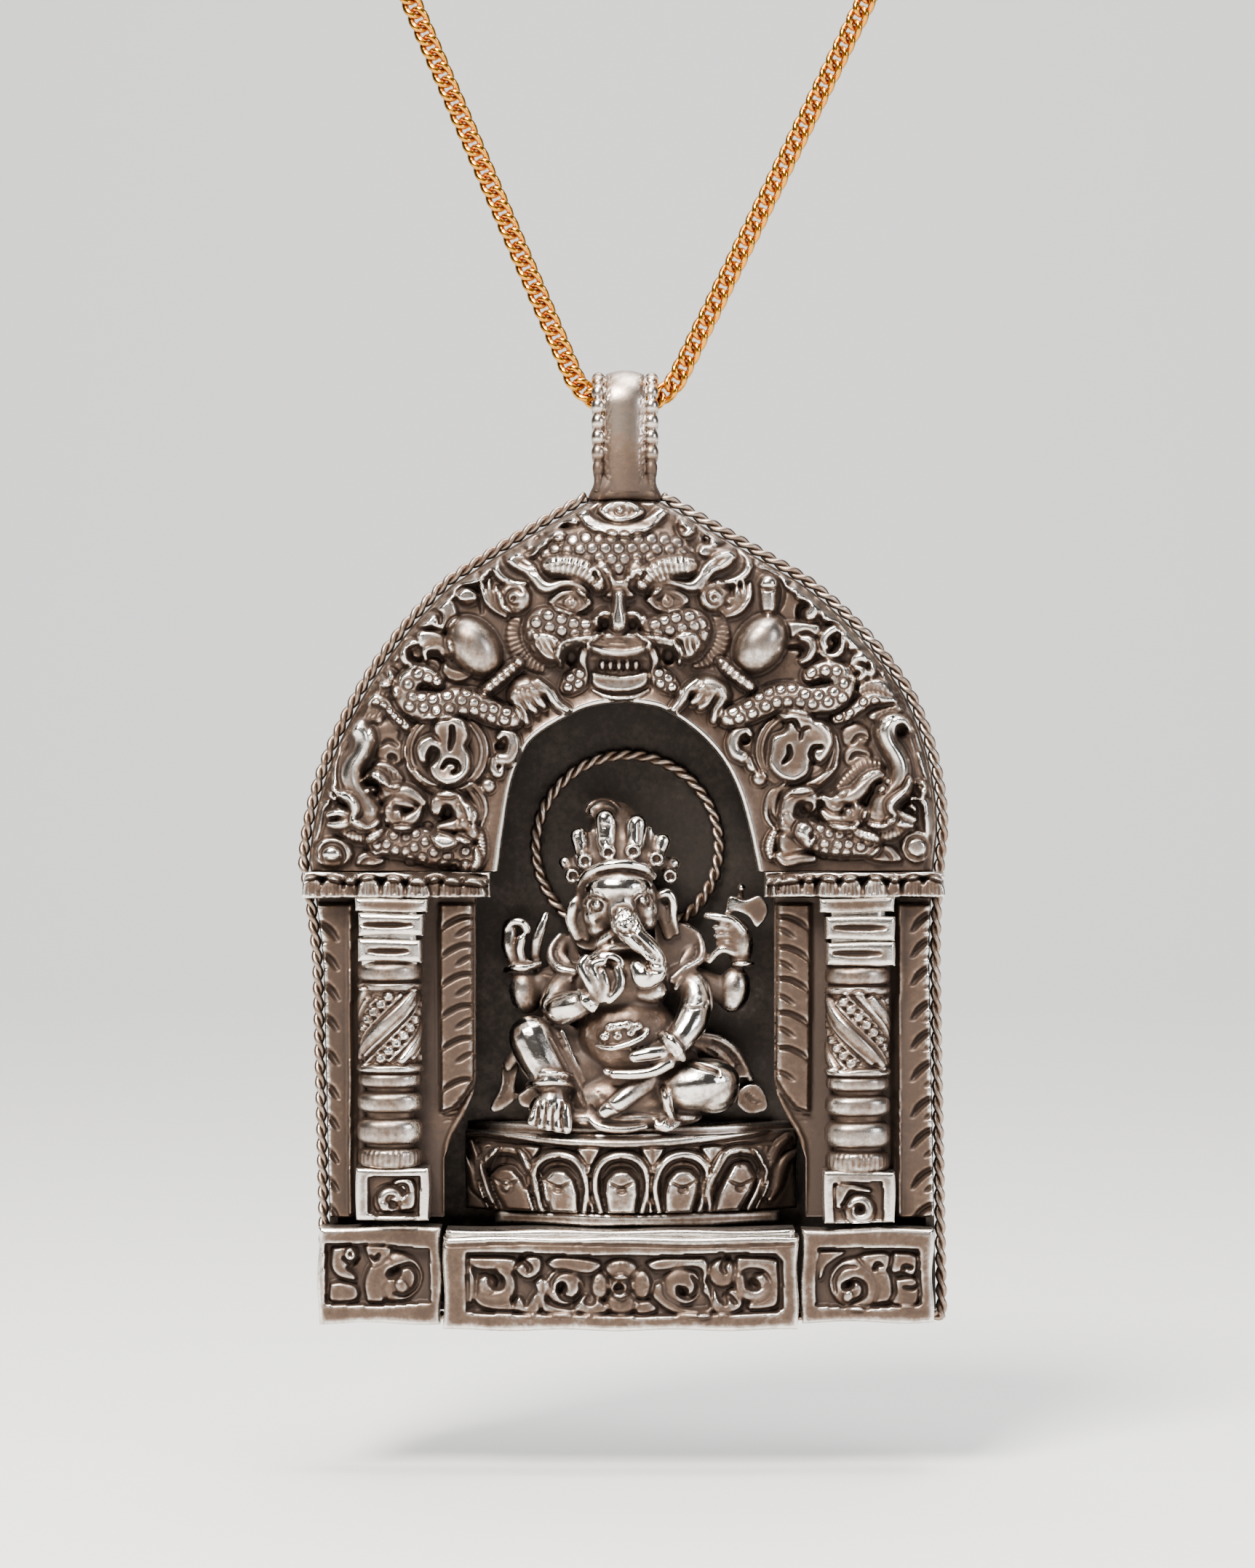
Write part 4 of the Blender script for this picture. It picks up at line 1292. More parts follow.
def build_chain(gold, s):
    """Curb chain: flat links, each turned so that the next lies through it at a right angle."""
    wire = s.chain_wire / MM / 2
    pitch = s.chain_pitch / MM
    reach = (pitch + 2 * wire) / 2 + 0.01
    half = s.chain_width / MM / 2 - wire
    bpy.ops.object.select_all(action="DESELECT")
    bpy.ops.mesh.primitive_torus_add(major_segments=16, minor_segments=6, major_radius=MM,
                                     minor_radius=wire * MM)
    points, faces = taken(bpy.context.object)
    turn = np.arctan2(points[:, 1], points[:, 0])
    out = np.hypot(points[:, 0], points[:, 1]) - 1
    # The round ring drawn out to a link, then twisted a quarter turn between its ends
    ring = np.stack([reach * np.cos(turn), half * np.sin(turn), 0.31 * np.sin(2 * turn)], 1)
    away = np.stack([half * np.cos(turn), reach * np.sin(turn), np.zeros(turn.size)], 1)
    away /= np.linalg.norm(away, axis=1)[:, None]
    link = ring + away * out[:, None]
    link[:, 2] += points[:, 2]
    link[:, 2] = np.clip(link[:, 2], -0.47, 0.47)
    line = chain_line()
    length = np.linalg.norm(np.diff(line, axis=0), axis=1).sum()
    count = round(length / pitch)
    stops = evenly(line, count * 2)
    frames = []
    for before, at, after in zip(stops[0::2], stops[1::2], stops[2::2]):
        along = (after - before) / np.linalg.norm(after - before)
        frames.append((np.array([at[0], 0, at[1]]),
                       [[along[0], 0, along[1]], [along[1], 0, -along[0]], [0, -1, 0]]))
    points, faces = copied(link, faces, frames)
    new_piece("chain_links", points, faces, gold, ("chain",), "gold_wash", CHAIN)


def build_clasp(gold):
    """Barrel clasp: a turned barrel with two collars and a screw joint."""
    low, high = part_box("clasp")
    middle = (np.array(low) + np.array(high)) / 2
    length = (high[0] - low[0]) / MM
    bpy.ops.object.select_all(action="DESELECT")
    bpy.ops.mesh.primitive_circle_add(vertices=28, radius=0.6 * MM, location=(0, 0, 0))
    bpy.ops.object.mode_set(mode="EDIT")
    bpy.ops.mesh.select_all(action="SELECT")
    bpy.ops.transform.translate(value=(0, 0, -length / 2 * MM))
    at, radius = -length / 2, 0.6
    for z, r in ((-5.9, 1.1), (-5.5, 1.45), (-5.0, 1.62), (-4.6, 1.45), (-4.2, 1.4), (-0.5, 1.55),
                 (-0.25, 1.62), (-0.05, 1.5), (0.05, 1.5), (0.25, 1.62), (0.5, 1.55), (4.2, 1.4),
                 (4.6, 1.45), (5.0, 1.62), (5.5, 1.45), (5.9, 1.1), (length / 2, 0.6)):
        bpy.ops.mesh.extrude_region_move(TRANSFORM_OT_translate={"value": (0, 0, (z - at) * MM)})
        bpy.ops.transform.resize(value=(r / radius, r / radius, 1))
        at, radius = z, r
    bpy.ops.mesh.edge_face_add()
    bpy.ops.mesh.select_all(action="DESELECT")
    bpy.ops.mesh.select_non_manifold()
    bpy.ops.mesh.edge_face_add()
    bpy.ops.mesh.select_all(action="SELECT")
    bpy.ops.mesh.normals_make_consistent(inside=False)
    bpy.ops.object.mode_set(mode="OBJECT")
    points, faces = taken(bpy.context.object)
    line = chain_line()
    along = line[0] - line[-1]
    along = along / np.linalg.norm(along)
    axes = [[0, 1, 0], [along[1], 0, -along[0]], [along[0], 0, along[1]]]
    points, faces = copied(points, faces, [(middle / MM, axes)])
    new_piece("barrel_clasp", points, faces, gold, ("clasp",), "gold_wash", CHAIN)


def tube(line, radius, sides, closed=True):
    """Points and quads of a round wire along a line in space; radius may vary point by point."""
    line = np.asarray(line, float)
    count = len(line)
    radius = np.broadcast_to(np.asarray(radius, float), (count,))
    if closed:
        ahead = np.roll(line, -1, 0) - np.roll(line, 1, 0)
    else:
        ahead = np.gradient(line, axis=0)
    ahead /= np.linalg.norm(ahead, axis=1)[:, None]
    side = np.cross(ahead, [0.0, 1.0, 0.0])
    flat = np.linalg.norm(side, axis=1) < 0.2
    side[flat] = np.cross(ahead[flat], [1.0, 0.0, 0.0])
    side /= np.linalg.norm(side, axis=1)[:, None]
    up = np.cross(side, ahead)
    angle = np.linspace(0, 2 * math.pi, sides, endpoint=False)
    points = (line[:, None] + radius[:, None, None] * (np.cos(angle)[None, :, None] * side[:, None]
                                                       + np.sin(angle)[None, :, None] * up[:, None]))
    i, j = np.meshgrid(np.arange(count if closed else count - 1), np.arange(sides), indexing="ij")
    i2, j2 = (i + 1) % count, (j + 1) % sides
    quads = np.stack([i * sides + j, i2 * sides + j, i2 * sides + j2, i * sides + j2], -1)
    faces = quads.reshape(-1, 4).tolist()
    if not closed:
        faces.append(list(range(sides)))
        faces.append(list(range((count - 1) * sides, count * sides))[::-1])
    return points.reshape(-1, 3), faces


def build_rope(silver, s):
    """Two wires twisted together round the case, open at the bail."""
    line = rim_line(0.45)
    keep = ~((np.abs(line[:, 0]) < 3.1) & (line[:, 1] > 60))
    first = int(np.argmax(keep & ~np.roll(keep, 1)))
    line = np.roll(line, -first, 0)[:int(keep.sum())]
    out = np.insert(outward(line), 1, 0.0, axis=1)
    space = placed(line[:, 0], line[:, 1], 6.5) / MM
    per_turn = 12
    steps = int(np.linalg.norm(np.diff(space, axis=0), axis=1).sum() / (s.rope_pitch / MM) * per_turn)
    space, out = evenly(space, steps), evenly(space, steps, out)
    strands = []
    for k in range(2):
        angle = 2 * math.pi * (np.arange(steps + 1) / per_turn + k / 2)[:, None]
        strand = space + 0.235 * (np.cos(angle) * out + np.sin(angle) * np.array([0, -1.0, 0]))
        strands.append(tube(strand, 0.25, 8, closed=False))
    new_piece("rope_wire", *gathered(strands), silver, ("rope_rim",), "tarnished_silver")


def build_halo(silver):
    """Ring of two twisted wires behind the head."""
    turns, per_turn = 20, 18
    count = turns * per_turn
    around = np.arange(count) / count * 2 * math.pi
    strands = []
    for k in range(2):
        angle = 2 * math.pi * (np.arange(count) / per_turn + k / 2)
        radius = 7.7 + 0.27 * np.cos(angle)
        strand = placed(HALO_X + radius * np.cos(around), HALO_V + radius * np.sin(around),
                        1.42 + 0.25 * np.sin(angle)) / MM
        strands.append(tube(strand, 0.29, 8))
    wire = new_piece("halo_wire", *gathered(strands), silver, ("halo_ring",), "tarnished_silver")
    dulled(wire, 0, len(wire.data.vertices), 0.6)


def hoop(radius, drop, steps):
    """A round-topped loop from front foot to back foot, as depth and height from the bail's axis."""
    line = [(radius, -drop)] + [(radius * math.cos(a), radius * math.sin(a))
                                for a in np.linspace(0, math.pi, 60)]
    return evenly(np.array(line + [(-radius, -drop)]), steps)


def build_bail(silver, s):
    """Strap with a crowned face between two beaded wires, bent over and soldered at its feet."""
    across = 30
    face = hoop(2.5, 7.25, 150)
    out = outward(face)
    out *= np.sign((out * face).sum(1).mean())
    w = np.linspace(-1, 1, across + 1)
    rng = np.random.default_rng(4)
    x = np.broadcast_to(w * 1.78, (len(face), across + 1))
    # Crowned in the middle, torn by the chisel where it meets the wires
    crown = 0.85 * np.sqrt(np.maximum(0, 1 - (w / 1.05) ** 2)) - 0.45
    tear = rng.normal(0, 1, (len(face), across + 1)) * np.clip((np.abs(w) - 0.6) / 0.3, 0, 1)[None, :] * 0.06
    rise = crown[None, :] + tear
    top = face[:, None, :] + out[:, None, :] * (0.1 + rise)[:, :, None]
    under = face[:, None, :] - out[:, None, :] * np.full_like(rise, 0.62)[:, :, None]
    both = np.stack([top, under])
    points = placed(np.stack([x, x]), BAIL_V + both[..., 1], BAIL_D + both[..., 0]).reshape(-1, 3) / MM
    rows, columns = x.shape
    n = rows * columns
    faces = grid_faces(rows, columns).tolist() + grid_faces(rows, columns, n, flip=True).tolist()
    i = np.arange(rows - 1)
    for column, turn in ((0, 1), (columns - 1, -1)):
        a = i * columns + column
        faces += np.stack([a, a + columns, n + a + columns, n + a], 1)[:, ::turn].tolist()
    j = np.arange(columns - 1)
    for row, turn in ((0, -1), (rows - 1, 1)):
        a = row * columns + j
        faces += np.stack([a, a + 1, n + a + 1, n + a], 1)[:, ::turn].tolist()
    parts = [(points, faces)]
    # One bead, squashed to its wire, set down along both edges
    bpy.ops.object.select_all(action="DESELECT")
    bpy.ops.mesh.primitive_uv_sphere_add(segments=14, ring_count=10, radius=MM)
    bead, bead_quads = taken(bpy.context.object)
    length = np.linalg.norm(np.diff(hoop(WIRE_BEND, WIRE_DROP, 200), axis=0), axis=1).sum()
    count = round(length / (s.bead_pitch / MM))
    line = hoop(WIRE_BEND, WIRE_DROP, count)
    middle = (line[1:] + line[:-1]) / 2
    along = (line[1:] - line[:-1]) / np.linalg.norm(line[1:] - line[:-1], axis=1)[:, None]
    frames = []
    for side in (-WIRE_X, WIRE_X):
        for k in range(count):
            near_foot = min(1, (min(k, count - 1 - k) + 3.2) / 5)
            place = placed(side, BAIL_V + middle[k][1], BAIL_D + middle[k][0]) / MM
            dy, dz = -along[k][0], along[k][1]
            size = 0.59 * near_foot
            frames.append((place, [[size, 0, 0], [0, -dz * size, dy * size], [0, dy * 0.74, dz * 0.74]]))
    parts.append(copied(bead, bead_quads, frames))
    # The plain wire on which the beads were rolled
    for side in (-WIRE_X, WIRE_X):
        core = hoop(WIRE_BEND, WIRE_DROP, 80)
        parts.append(tube(placed(side, BAIL_V + core[:, 1], BAIL_D + core[:, 0]) / MM, 0.36, 10,
                          closed=False))
    # Flared foot of solder that runs out to the case, as level, half width and half depth
    levels = ((70.6, 2.3, 2.55), (70.1, 2.5, 2.75), (69.5, 2.7, 2.85), (69.0, 2.95, 2.8), (68.6, 3.1, 2.6),
              (68.45, 2.9, 2.3))
    around = np.linspace(0, 2 * math.pi, 48, endpoint=False)
    cos, sin = np.cos(around), np.sin(around)
    foot = [placed(half * np.sign(cos) * np.abs(cos) ** 0.4, level + 0.05 * np.sin(5 * around),
                   BAIL_D + reach * np.sign(sin) * np.abs(sin) ** 0.5) / MM
            for level, half, reach in levels]
    m, last = len(around), len(levels) - 1
    faces = [[i * m + k, i * m + (k + 1) % m, (i + 1) * m + (k + 1) % m, (i + 1) * m + k]
             for i in range(last) for k in range(m)]
    faces += [list(range(m)), list(range(last * m, (last + 1) * m))[::-1]]
    parts.append((np.vstack(foot), faces))
    new_piece("bail_strap", *gathered(parts), silver, ("bail",), "tarnished_silver")


def border(rows, columns):
    """Index of the points round a grid, once round."""
    ring = [(0, j) for j in range(columns)] + [(i, columns - 1) for i in range(1, rows)]
    ring += [(rows - 1, j) for j in range(columns - 2, -1, -1)] + [(i, 0) for i in range(rows - 2, 0, -1)]
    return [i * columns + j for i, j in ring]


def relief_block(area, back, face, size, carve=None, edge=0.3, wobble=0.05, seed=1, bow=None):
    """A cast block: its front is a carved sheet with rounded borders, its sides run straight back.

    area is X0, X1, V0, V1; size the number of cells across and up; bow(x, v) brings the front nearer."""
    x0, x1, v0, v1 = area
    columns, rows = size[0] + 1, size[1] + 1
    s, t = np.meshgrid(np.linspace(0, 1, columns), np.linspace(0, 1, rows))
    x, v = x0 + (x1 - x0) * s, v0 + (v1 - v0) * t
    # Sides that were filed by eye
    rng = np.random.default_rng(seed)
    phase = rng.uniform(0, 6.28, 4)
    x = x + wobble * (np.sin(v * 0.9 + phase[0]) * (1 - s) + np.sin(v * 1.1 + phase[1]) * s)
    v = v + wobble * (np.sin(x * 0.7 + phase[2]) * (1 - t) + np.sin(x * 0.6 + phase[3]) * t)
    c = Carving(x, v)
    if carve:
        carve(c)
    h = c.smoothed()
    inset = np.minimum(np.minimum(s, 1 - s) * (x1 - x0), np.minimum(t, 1 - t) * (v1 - v0))
    fall = edge * (1 - np.sqrt(1 - (1 - np.clip(inset / edge, 0, 1)) ** 2))
    front = face + (bow(x, v) if bow else 0.0) + h - 0.8 * fall
    index = border(rows, columns)
    n, m = rows * columns, len(index)
    bx, bv = x.ravel()[index], v.ravel()[index]
    points = np.vstack([placed(x, v, front).reshape(-1, 3), placed(bx, bv, np.full(m, back))]) / MM
    faces = grid_faces(rows, columns).tolist()
    for k in range(m):
        a, b = index[k], index[(k + 1) % m]
        faces.append([b, a, n + k, n + (k + 1) % m])
    faces.append([n + k for k in range(m)][::-1])
    return points, faces


def turned(x, v_levels, section, carve, depth):
    """A shaft turned on the lathe and chased afterwards. section(v) gives radius and squareness."""
    columns, rows = 64, 260
    # Fine steps round the front, coarse ones behind
    edge = 1.75
    angle = np.concatenate([np.linspace(-edge, edge, columns),
                            np.linspace(edge, 2 * math.pi - edge, 12)[1:-1]])
    v = np.linspace(v_levels[0], v_levels[1], rows + 1)
    a, vv = np.meshgrid(angle, v)
    radius, square = section(vv)
    c = Carving(2.35 * np.where(a > math.pi, a - 2 * math.pi, a), vv)
    carve(c)
    h = c.smoothed()
    soft = (np.abs(np.cos(a)) ** square + np.abs(np.sin(a)) ** square) ** (-1 / square)
    r = radius * soft + h * (np.abs(a) < 1.9)
    points = placed(x + r * np.sin(a), vv, depth + r * np.cos(a)).reshape(-1, 3) / MM
    count = angle.size
    i, j = np.meshgrid(np.arange(rows), np.arange(count), indexing="ij")
    j2 = (j + 1) % count
    faces = np.stack([i * count + j, i * count + j2, (i + 1) * count + j2, (i + 1) * count + j],
                     -1).reshape(-1, 4).tolist()
    faces.append(list(range(count))[::-1])
    faces.append(list(range(rows * count, (rows + 1) * count)))
    return points, faces


def bulge(v, low, high, radius, core):
    """Radius of a rounded ring between two levels over a core."""
    t = np.clip((v - low) / (high - low), 0, 1)
    return core + (radius - core) * (1 - np.abs(2 * t - 1) ** 3.2) ** 0.6 * ((v > low) & (v < high))


def shaft_section(drop):
    """The shaft's rings, bands and drum, from the foot up. The right one stands lower by drop."""
    def section(v):
        v = v + drop
        core = np.full_like(v, 1.95)
        core = np.where((v > 21.9) & (v < 28.1), 2.32, core)
        r = core.copy()
        for low, high, radius in ((13.35, 15.05, 2.7), (15.35, 17.5, 2.72), (17.95, 19.65, 2.68),
                                  (20.0, 21.25, 2.6), (21.2, 21.95, 2.75), (27.95, 28.72, 2.72),
                                  (28.65, 30.25, 2.68)):
            r = np.maximum(r, bulge(v, low, high, radius, core))
        return r, np.where((v > 15.2) & (v < 21.95), 2.5, 2.2)
    return section


def carve_shaft(side, drop):
    """Chasing on the shaft, charted on its unrolled skin."""
    slope = -side
    offset = 0.0 if side < 0 else 3.0
    foot, top = 21.9 - drop, 28.0 - drop

    def winding(level, over):
        """A line that climbs round the drum, and over mm past its ends."""
        return [(u, level + slope * u) for u in np.linspace(-4.2, 4.2, 9)
                if foot - over < level + slope * u < top + over]

    def carve(c):
        for m in range(-3, 5):
            v0 = 23.1 + offset + 4.4 * m - drop
            for shift in (-0.86, 0.86):
                line = [(u, np.clip(v, foot, top)) for u, v in winding(v0 + shift, 0.2)]
                if len(line) > 1:
                    c.ridge(0.16, 0.3, line, ditch=0.2, smooth=False)
            for shift in (-0.36, 0.36):
                line = winding(v0 + 2.2 + shift, 0.0)
                if len(line) > 1:
                    c.ridge(0.38, 0.42, line, ditch=0.3, smooth=False, taper=(0.8, 0.8))
            for k in range(-8, 9):
                u = 0.62 * k
                v = v0 + slope * u
                if 22.15 - drop < v < 27.85 - drop:
                    c.dome(u, v, 0.42, 0.42, 0, 0.32, ditch=0.15)
                    c.ring(u, v, 0.26, 0.07, 0.0, lift=0.38)
        c.settle()
        # Striped band
        for k in range(-11, 12):
            c.groove(0.09, 0.28, [(0.42 * k, 13.5 - drop), (0.42 * k + 0.03, 14.9 - drop)],
                     taper=(0.5, 0.5), smooth=False)
        # Line under the top ring
        c.groove(0.1, 0.2, [(-4.4, 28.68 - drop), (4.4, 28.68 - drop)], taper=(1, 1), smooth=False)
        # Dents of the hammer on the lower band
        for k in range(-5, 6):
            c.groove(0.05, 0.1, [(0.8 * k, 20.1 - drop), (0.8 * k, 21.1 - drop)], taper=(1, 1),
                     smooth=False)
    return carve


def carve_pilasters(side):
    """Leaf bands at each side of the shaft, with a deep cut between one leaf and the next."""
    def carve(c):
        def flip(points):
            """Points drawn for the right side, on this pillar's side."""
            return [(side * x, v) for x, v in path(points)]

        # Bands: the outer one slopes inward, the inner one stands flat
        c.leaf(1.15, flip("22.6,9.2 22.6,35 26.3,35 26.3,30 26.3,20 26.1,12 25.7,9.2"), edge=0.25,
               ditch=0.3, smooth=False)
        c.leaf(0.95, flip("12.6,35 12.55,26 12.5,20.6 13.2,19.4 14.1,18.3 15.2,17.9 15.3,26 15.3,35"),
               edge=0.25, ditch=0.3, smooth=False)
        c.settle()
        inward = np.clip((np.abs(c.x) - 22.7) / 2.6, 0, 1)
        outer = (np.abs(c.x) > 22.7) & (np.abs(c.x) < 26.3) & (c.v > 9.3)
        c.h[outer] += 0.55 * (inward[outer] - 0.6)
        c.settle()
        # A bright bead along the outer edge
        c.ridge(0.2, 0.28, flip("25.95,34.8 26,30 25.95,20 25.8,12 25.4,9.6"), ditch=0.0, taper=(1, 0.8))
        if side < 0:
            long_cuts = (33.6, 31.2, 28.75, 26.2, 23.4, 20.6, 18.1, 15.3, 13.0, 10.8)
            short_cuts = (32.4, 30.3, 27.5, 24.9, 22.2, 19.5, 16.8, 14.4, 11.7)
            inner_long = (34.0, 31.7, 29.3, 26.7, 24.0, 20.6)
            inner_short = (33.1, 30.7, 28.2, 25.5, 22.7)
        else:
            long_cuts = (34.4, 32.3, 30.0, 27.1, 24.7, 22.1, 19.1, 16.5, 13.2, 10.3)
            short_cuts = (33.4, 31.2, 28.7, 26.0, 23.6, 20.6, 17.9, 14.8, 11.9)
            inner_long = (34.0, 31.5, 28.9, 26.1, 23.2)
            inner_short = (33.0, 30.3, 27.5, 24.8, 21.2)
        for v in long_cuts:
            c.groove(0.3, 0.75, flip([(26, v + 0.1), (25.1, v - 0.15), (24.3, v - 0.75), (23.7, v - 1.6)]),
                     taper=(0.5, 0.3))
        for v in short_cuts:
            c.groove(0.24, 0.5, flip([(26, v + 0.05), (25.4, v - 0.1), (24.7, v - 0.6)]), taper=(0.5, 0.25))
        for v in inner_long:
            c.groove(0.26, 0.6, flip([(12.65, v), (13.6, v - 0.1), (14.6, v - 0.6), (15.2, v - 1.15)]),
                     taper=(0.7, 0.3))
        for v in inner_short:
            c.groove(0.22, 0.5, flip([(12.7, v), (13.2, v - 0.2), (14.0, v - 0.75)]), taper=(0.9, 0.2))
        c.settle()
        # Upright moulding between band and shaft
        c.ridge(0.26, 0.5, flip("22.45,9.6 22.45,35"), ditch=0.1, taper=(1, 1), smooth=False)
        # Lower sweep of the inner leaf, its edge run out to the throne
        c.ridge(0.22, 0.35, flip("12.7,19.4 13.4,17.9 14.3,16.4 14.8,15 14.9,13 14.9,9.6"),
                taper=(0.8, 0.6), ditch=0)
        for k in range(5):
            c.groove(0.1, 0.25,
                     flip([(13.0 + 0.35 * k, 19.2 - 0.5 * k), (13.9 + 0.3 * k, 18.9 - 0.45 * k)]),
                     smooth=False)
        rng = np.random.default_rng(7 + side)
        c.h += rng.normal(0, 0.012, c.h.size)
    return carve


def pillar_sheet(side):
    """The slab behind the shaft, between the rope and the niche."""
    rows, columns = 251, 85
    v = np.linspace(9.15, 35.55, rows)
    outline = rim_line(CASTING_INSET)
    half = outline[outline[:, 0] * side > 0]
    half = half[(half[:, 1] > 3) & (half[:, 1] < 40)]
    half = half[np.argsort(half[:, 1])]
    outer = np.interp(v, half[:, 1], np.abs(half[:, 0]))
    inner = np.interp(v, [9.15, 14.0, 15.8, 17.4, 19.2, 20.6, 35.6],
                      [14.95, 14.95, 14.35, 13.4, 12.6, 12.35, 12.35])
    t = np.linspace(0, 1, columns)
    x = side * (inner[:, None] + (outer - inner)[:, None] * t[None, :])
    vv = np.repeat(v[:, None], columns, 1)
    c = Carving(x, vv)
    carve_pilasters(side)(c)
    front = placed(x, vv, 7.05 + c.smoothed()).reshape(-1, 3) / MM
    index = border(rows, columns)
    n, m = rows * columns, len(index)
    faces = grid_faces(rows, columns, flip=side < 0).tolist()
    # Its outer edge lies on the side band, and what lies inside that drops behind it
    bx, bv = x.ravel()[index], vv.ravel()[index]
    inside = side * np.minimum(np.abs(bx), np.interp(bv, v, outer) - 0.64)
    behind = [placed(px, bv, np.full(m, depth)) / MM
              for px, depth in ((bx, BAND_FACE), (inside, BAND_FACE), (inside, BEHIND_BAND))]
    for k in range(m):
        ahead = (k + 1) % m
        for low, high in (((index[ahead], index[k]), (n + k, n + ahead)),
                          ((n + ahead, n + k), (n + m + k, n + m + ahead)),
                          ((n + m + ahead, n + m + k), (n + 2 * m + k, n + 2 * m + ahead))):
            quad = [*low, *high]
            faces.append(quad if side > 0 else quad[::-1])
    back = [n + 2 * m + k for k in range(m)]
    faces.append(back[::-1] if side > 0 else back)
    return np.vstack([front] + behind), faces


def carve_capital(side):
    """Petals of the capital under a wavy top edge."""
    def carve(c):
        if side < 0:
            feet = (-25.7, -24.0, -22.5, -21.0, -19.0, -17.0, -15.6, -14.2, -12.5)
            small = (-22.5, -15.6)
            top = path("-26.2,37.45 -24.9,37.6 -23.6,37.35 -22.4,37.2 -21.2,37.55 -19.5,37.5 -17.9,37.3"
                       " -16.6,37.15 -15.4,37.4 -14.2,37.15 -12.9,37.1 -11.6,36.9")
        else:
            feet = (12.6, 13.6, 15.1, 16.7, 18.5, 20.5, 22.1, 23.7, 25.3)
            small = (12.6, 15.1, 22.1)
            top = path("11.8,37.0 13.2,37.2 14.6,37.35 16.2,37.45 17.8,37.4 19.5,37.6 21,37.5 22.4,37.35"
                       " 23.6,37.55 24.8,37.6 26,37.3")
        for x in feet:
            half = 0.55 if x in small else 0.95
            over_shaft = (-21.9 < x < -16) or (15.8 < x < 21.7)
            base = 0.9 if over_shaft else 0.35
            c.leaf(base + 0.75, [(x - half, 35.6), (x - half * 0.95, 36.5), (x - half * 0.5, 37.15),
                                 (x, 37.3), (x + half * 0.5, 37.15), (x + half * 0.95, 36.5),
                                 (x + half, 35.6)], edge=0.28, ditch=0.3)
        c.settle()
        for x in feet:
            half = 0.5 if x in small else 0.95
            for k in (-0.55, -0.2, 0.15, 0.5):
                c.groove(0.07, 0.3, [(x + k * half, 35.7), (x + k * half * 0.8, 36.9)], smooth=False)
        # The wavy top edge of the cushion
        c.ridge(0.3, 1.35, top, ditch=0.35, taper=(0.8, 0.8))
        c.settle()
    return carve


def slit(x0, x1, v):
    """A cut across the face of a block."""
    def carve(c):
        c.groove(0.24, 0.55, [(x0, v + 0.03), ((x0 + x1) / 2, v), (x1, v + 0.02)], taper=(0.4, 0.4))
    return carve


def carve_scroll_square(side):
    """Framed square with one scroll at the foot of the shaft."""
    def carve(c):
        if side < 0:
            c.leaf(-0.8, "-20.9,9.9 -20.9,12.6 -17,12.7 -16.9,9.6 -20.4,9.4", edge=0.2, ditch=0,
                   smooth=False)
            c.sink("-21,9.7 -21,12.7 -16.8,12.8 -16.9,9.5", 0.85)
            c.settle()
            c.dome(-19.4, 10.7, 1.25, 1.2, 0, 0.7, flat=0.35)
            c.leaf(0.7, "-18.4,10 -17.4,10.2 -17.2,11.3 -17.5,12.4 -18.4,12.5 -19,12.2 -18.4,11.9"
                        " -17.9,11.4 -18.4,10.8", edge=0.25)
            c.leaf(0.65, "-20.3,9.6 -17.4,9.6 -17.6,9.3 -20.2,9.3", edge=0.2)
            c.settle()
            c.curl(-19.25, 10.75, 1.0, 0.9, 20, 1, 0.3, 0.35, end=0.35)
            c.pit(-19.0, 10.45, 0.45, 0.38, -30, 0.8)
            c.groove(0.2, 0.6, "-18.6,12.1 -18,12 -17.8,11.5", taper=(0.5, 0.8))
            c.dome(-19.7, 10.3, 0.4, 0.4, 0, 0.35)
        else:
            c.sink("17.2,8.95 17.1,12.2 21.1,12.3 21.2,9", 0.85)
            c.settle()
            c.dome(19.3, 10.0, 1.3, 1.25, 0, 0.7, flat=0.35)
            c.leaf(0.65, "17.3,10.2 17.3,12 18.6,12.1 19.3,11.9 20.2,11.5 19.2,11.5 18.4,11.6 18.2,10.9"
                         " 17.8,10.2", edge=0.25)
            c.settle()
            c.curl(19.3, 10.0, 1.05, 0.9, 150, -1, 0.28, 0.35, end=0.35)
            c.pit(19.2, 10.0, 0.45, 0.4, 0, 0.8)
            c.groove(0.2, 0.6, "18.3,11.3 18.1,10.7 17.8,10.4", taper=(0.5, 0.8))
        c.settle()
    return carve


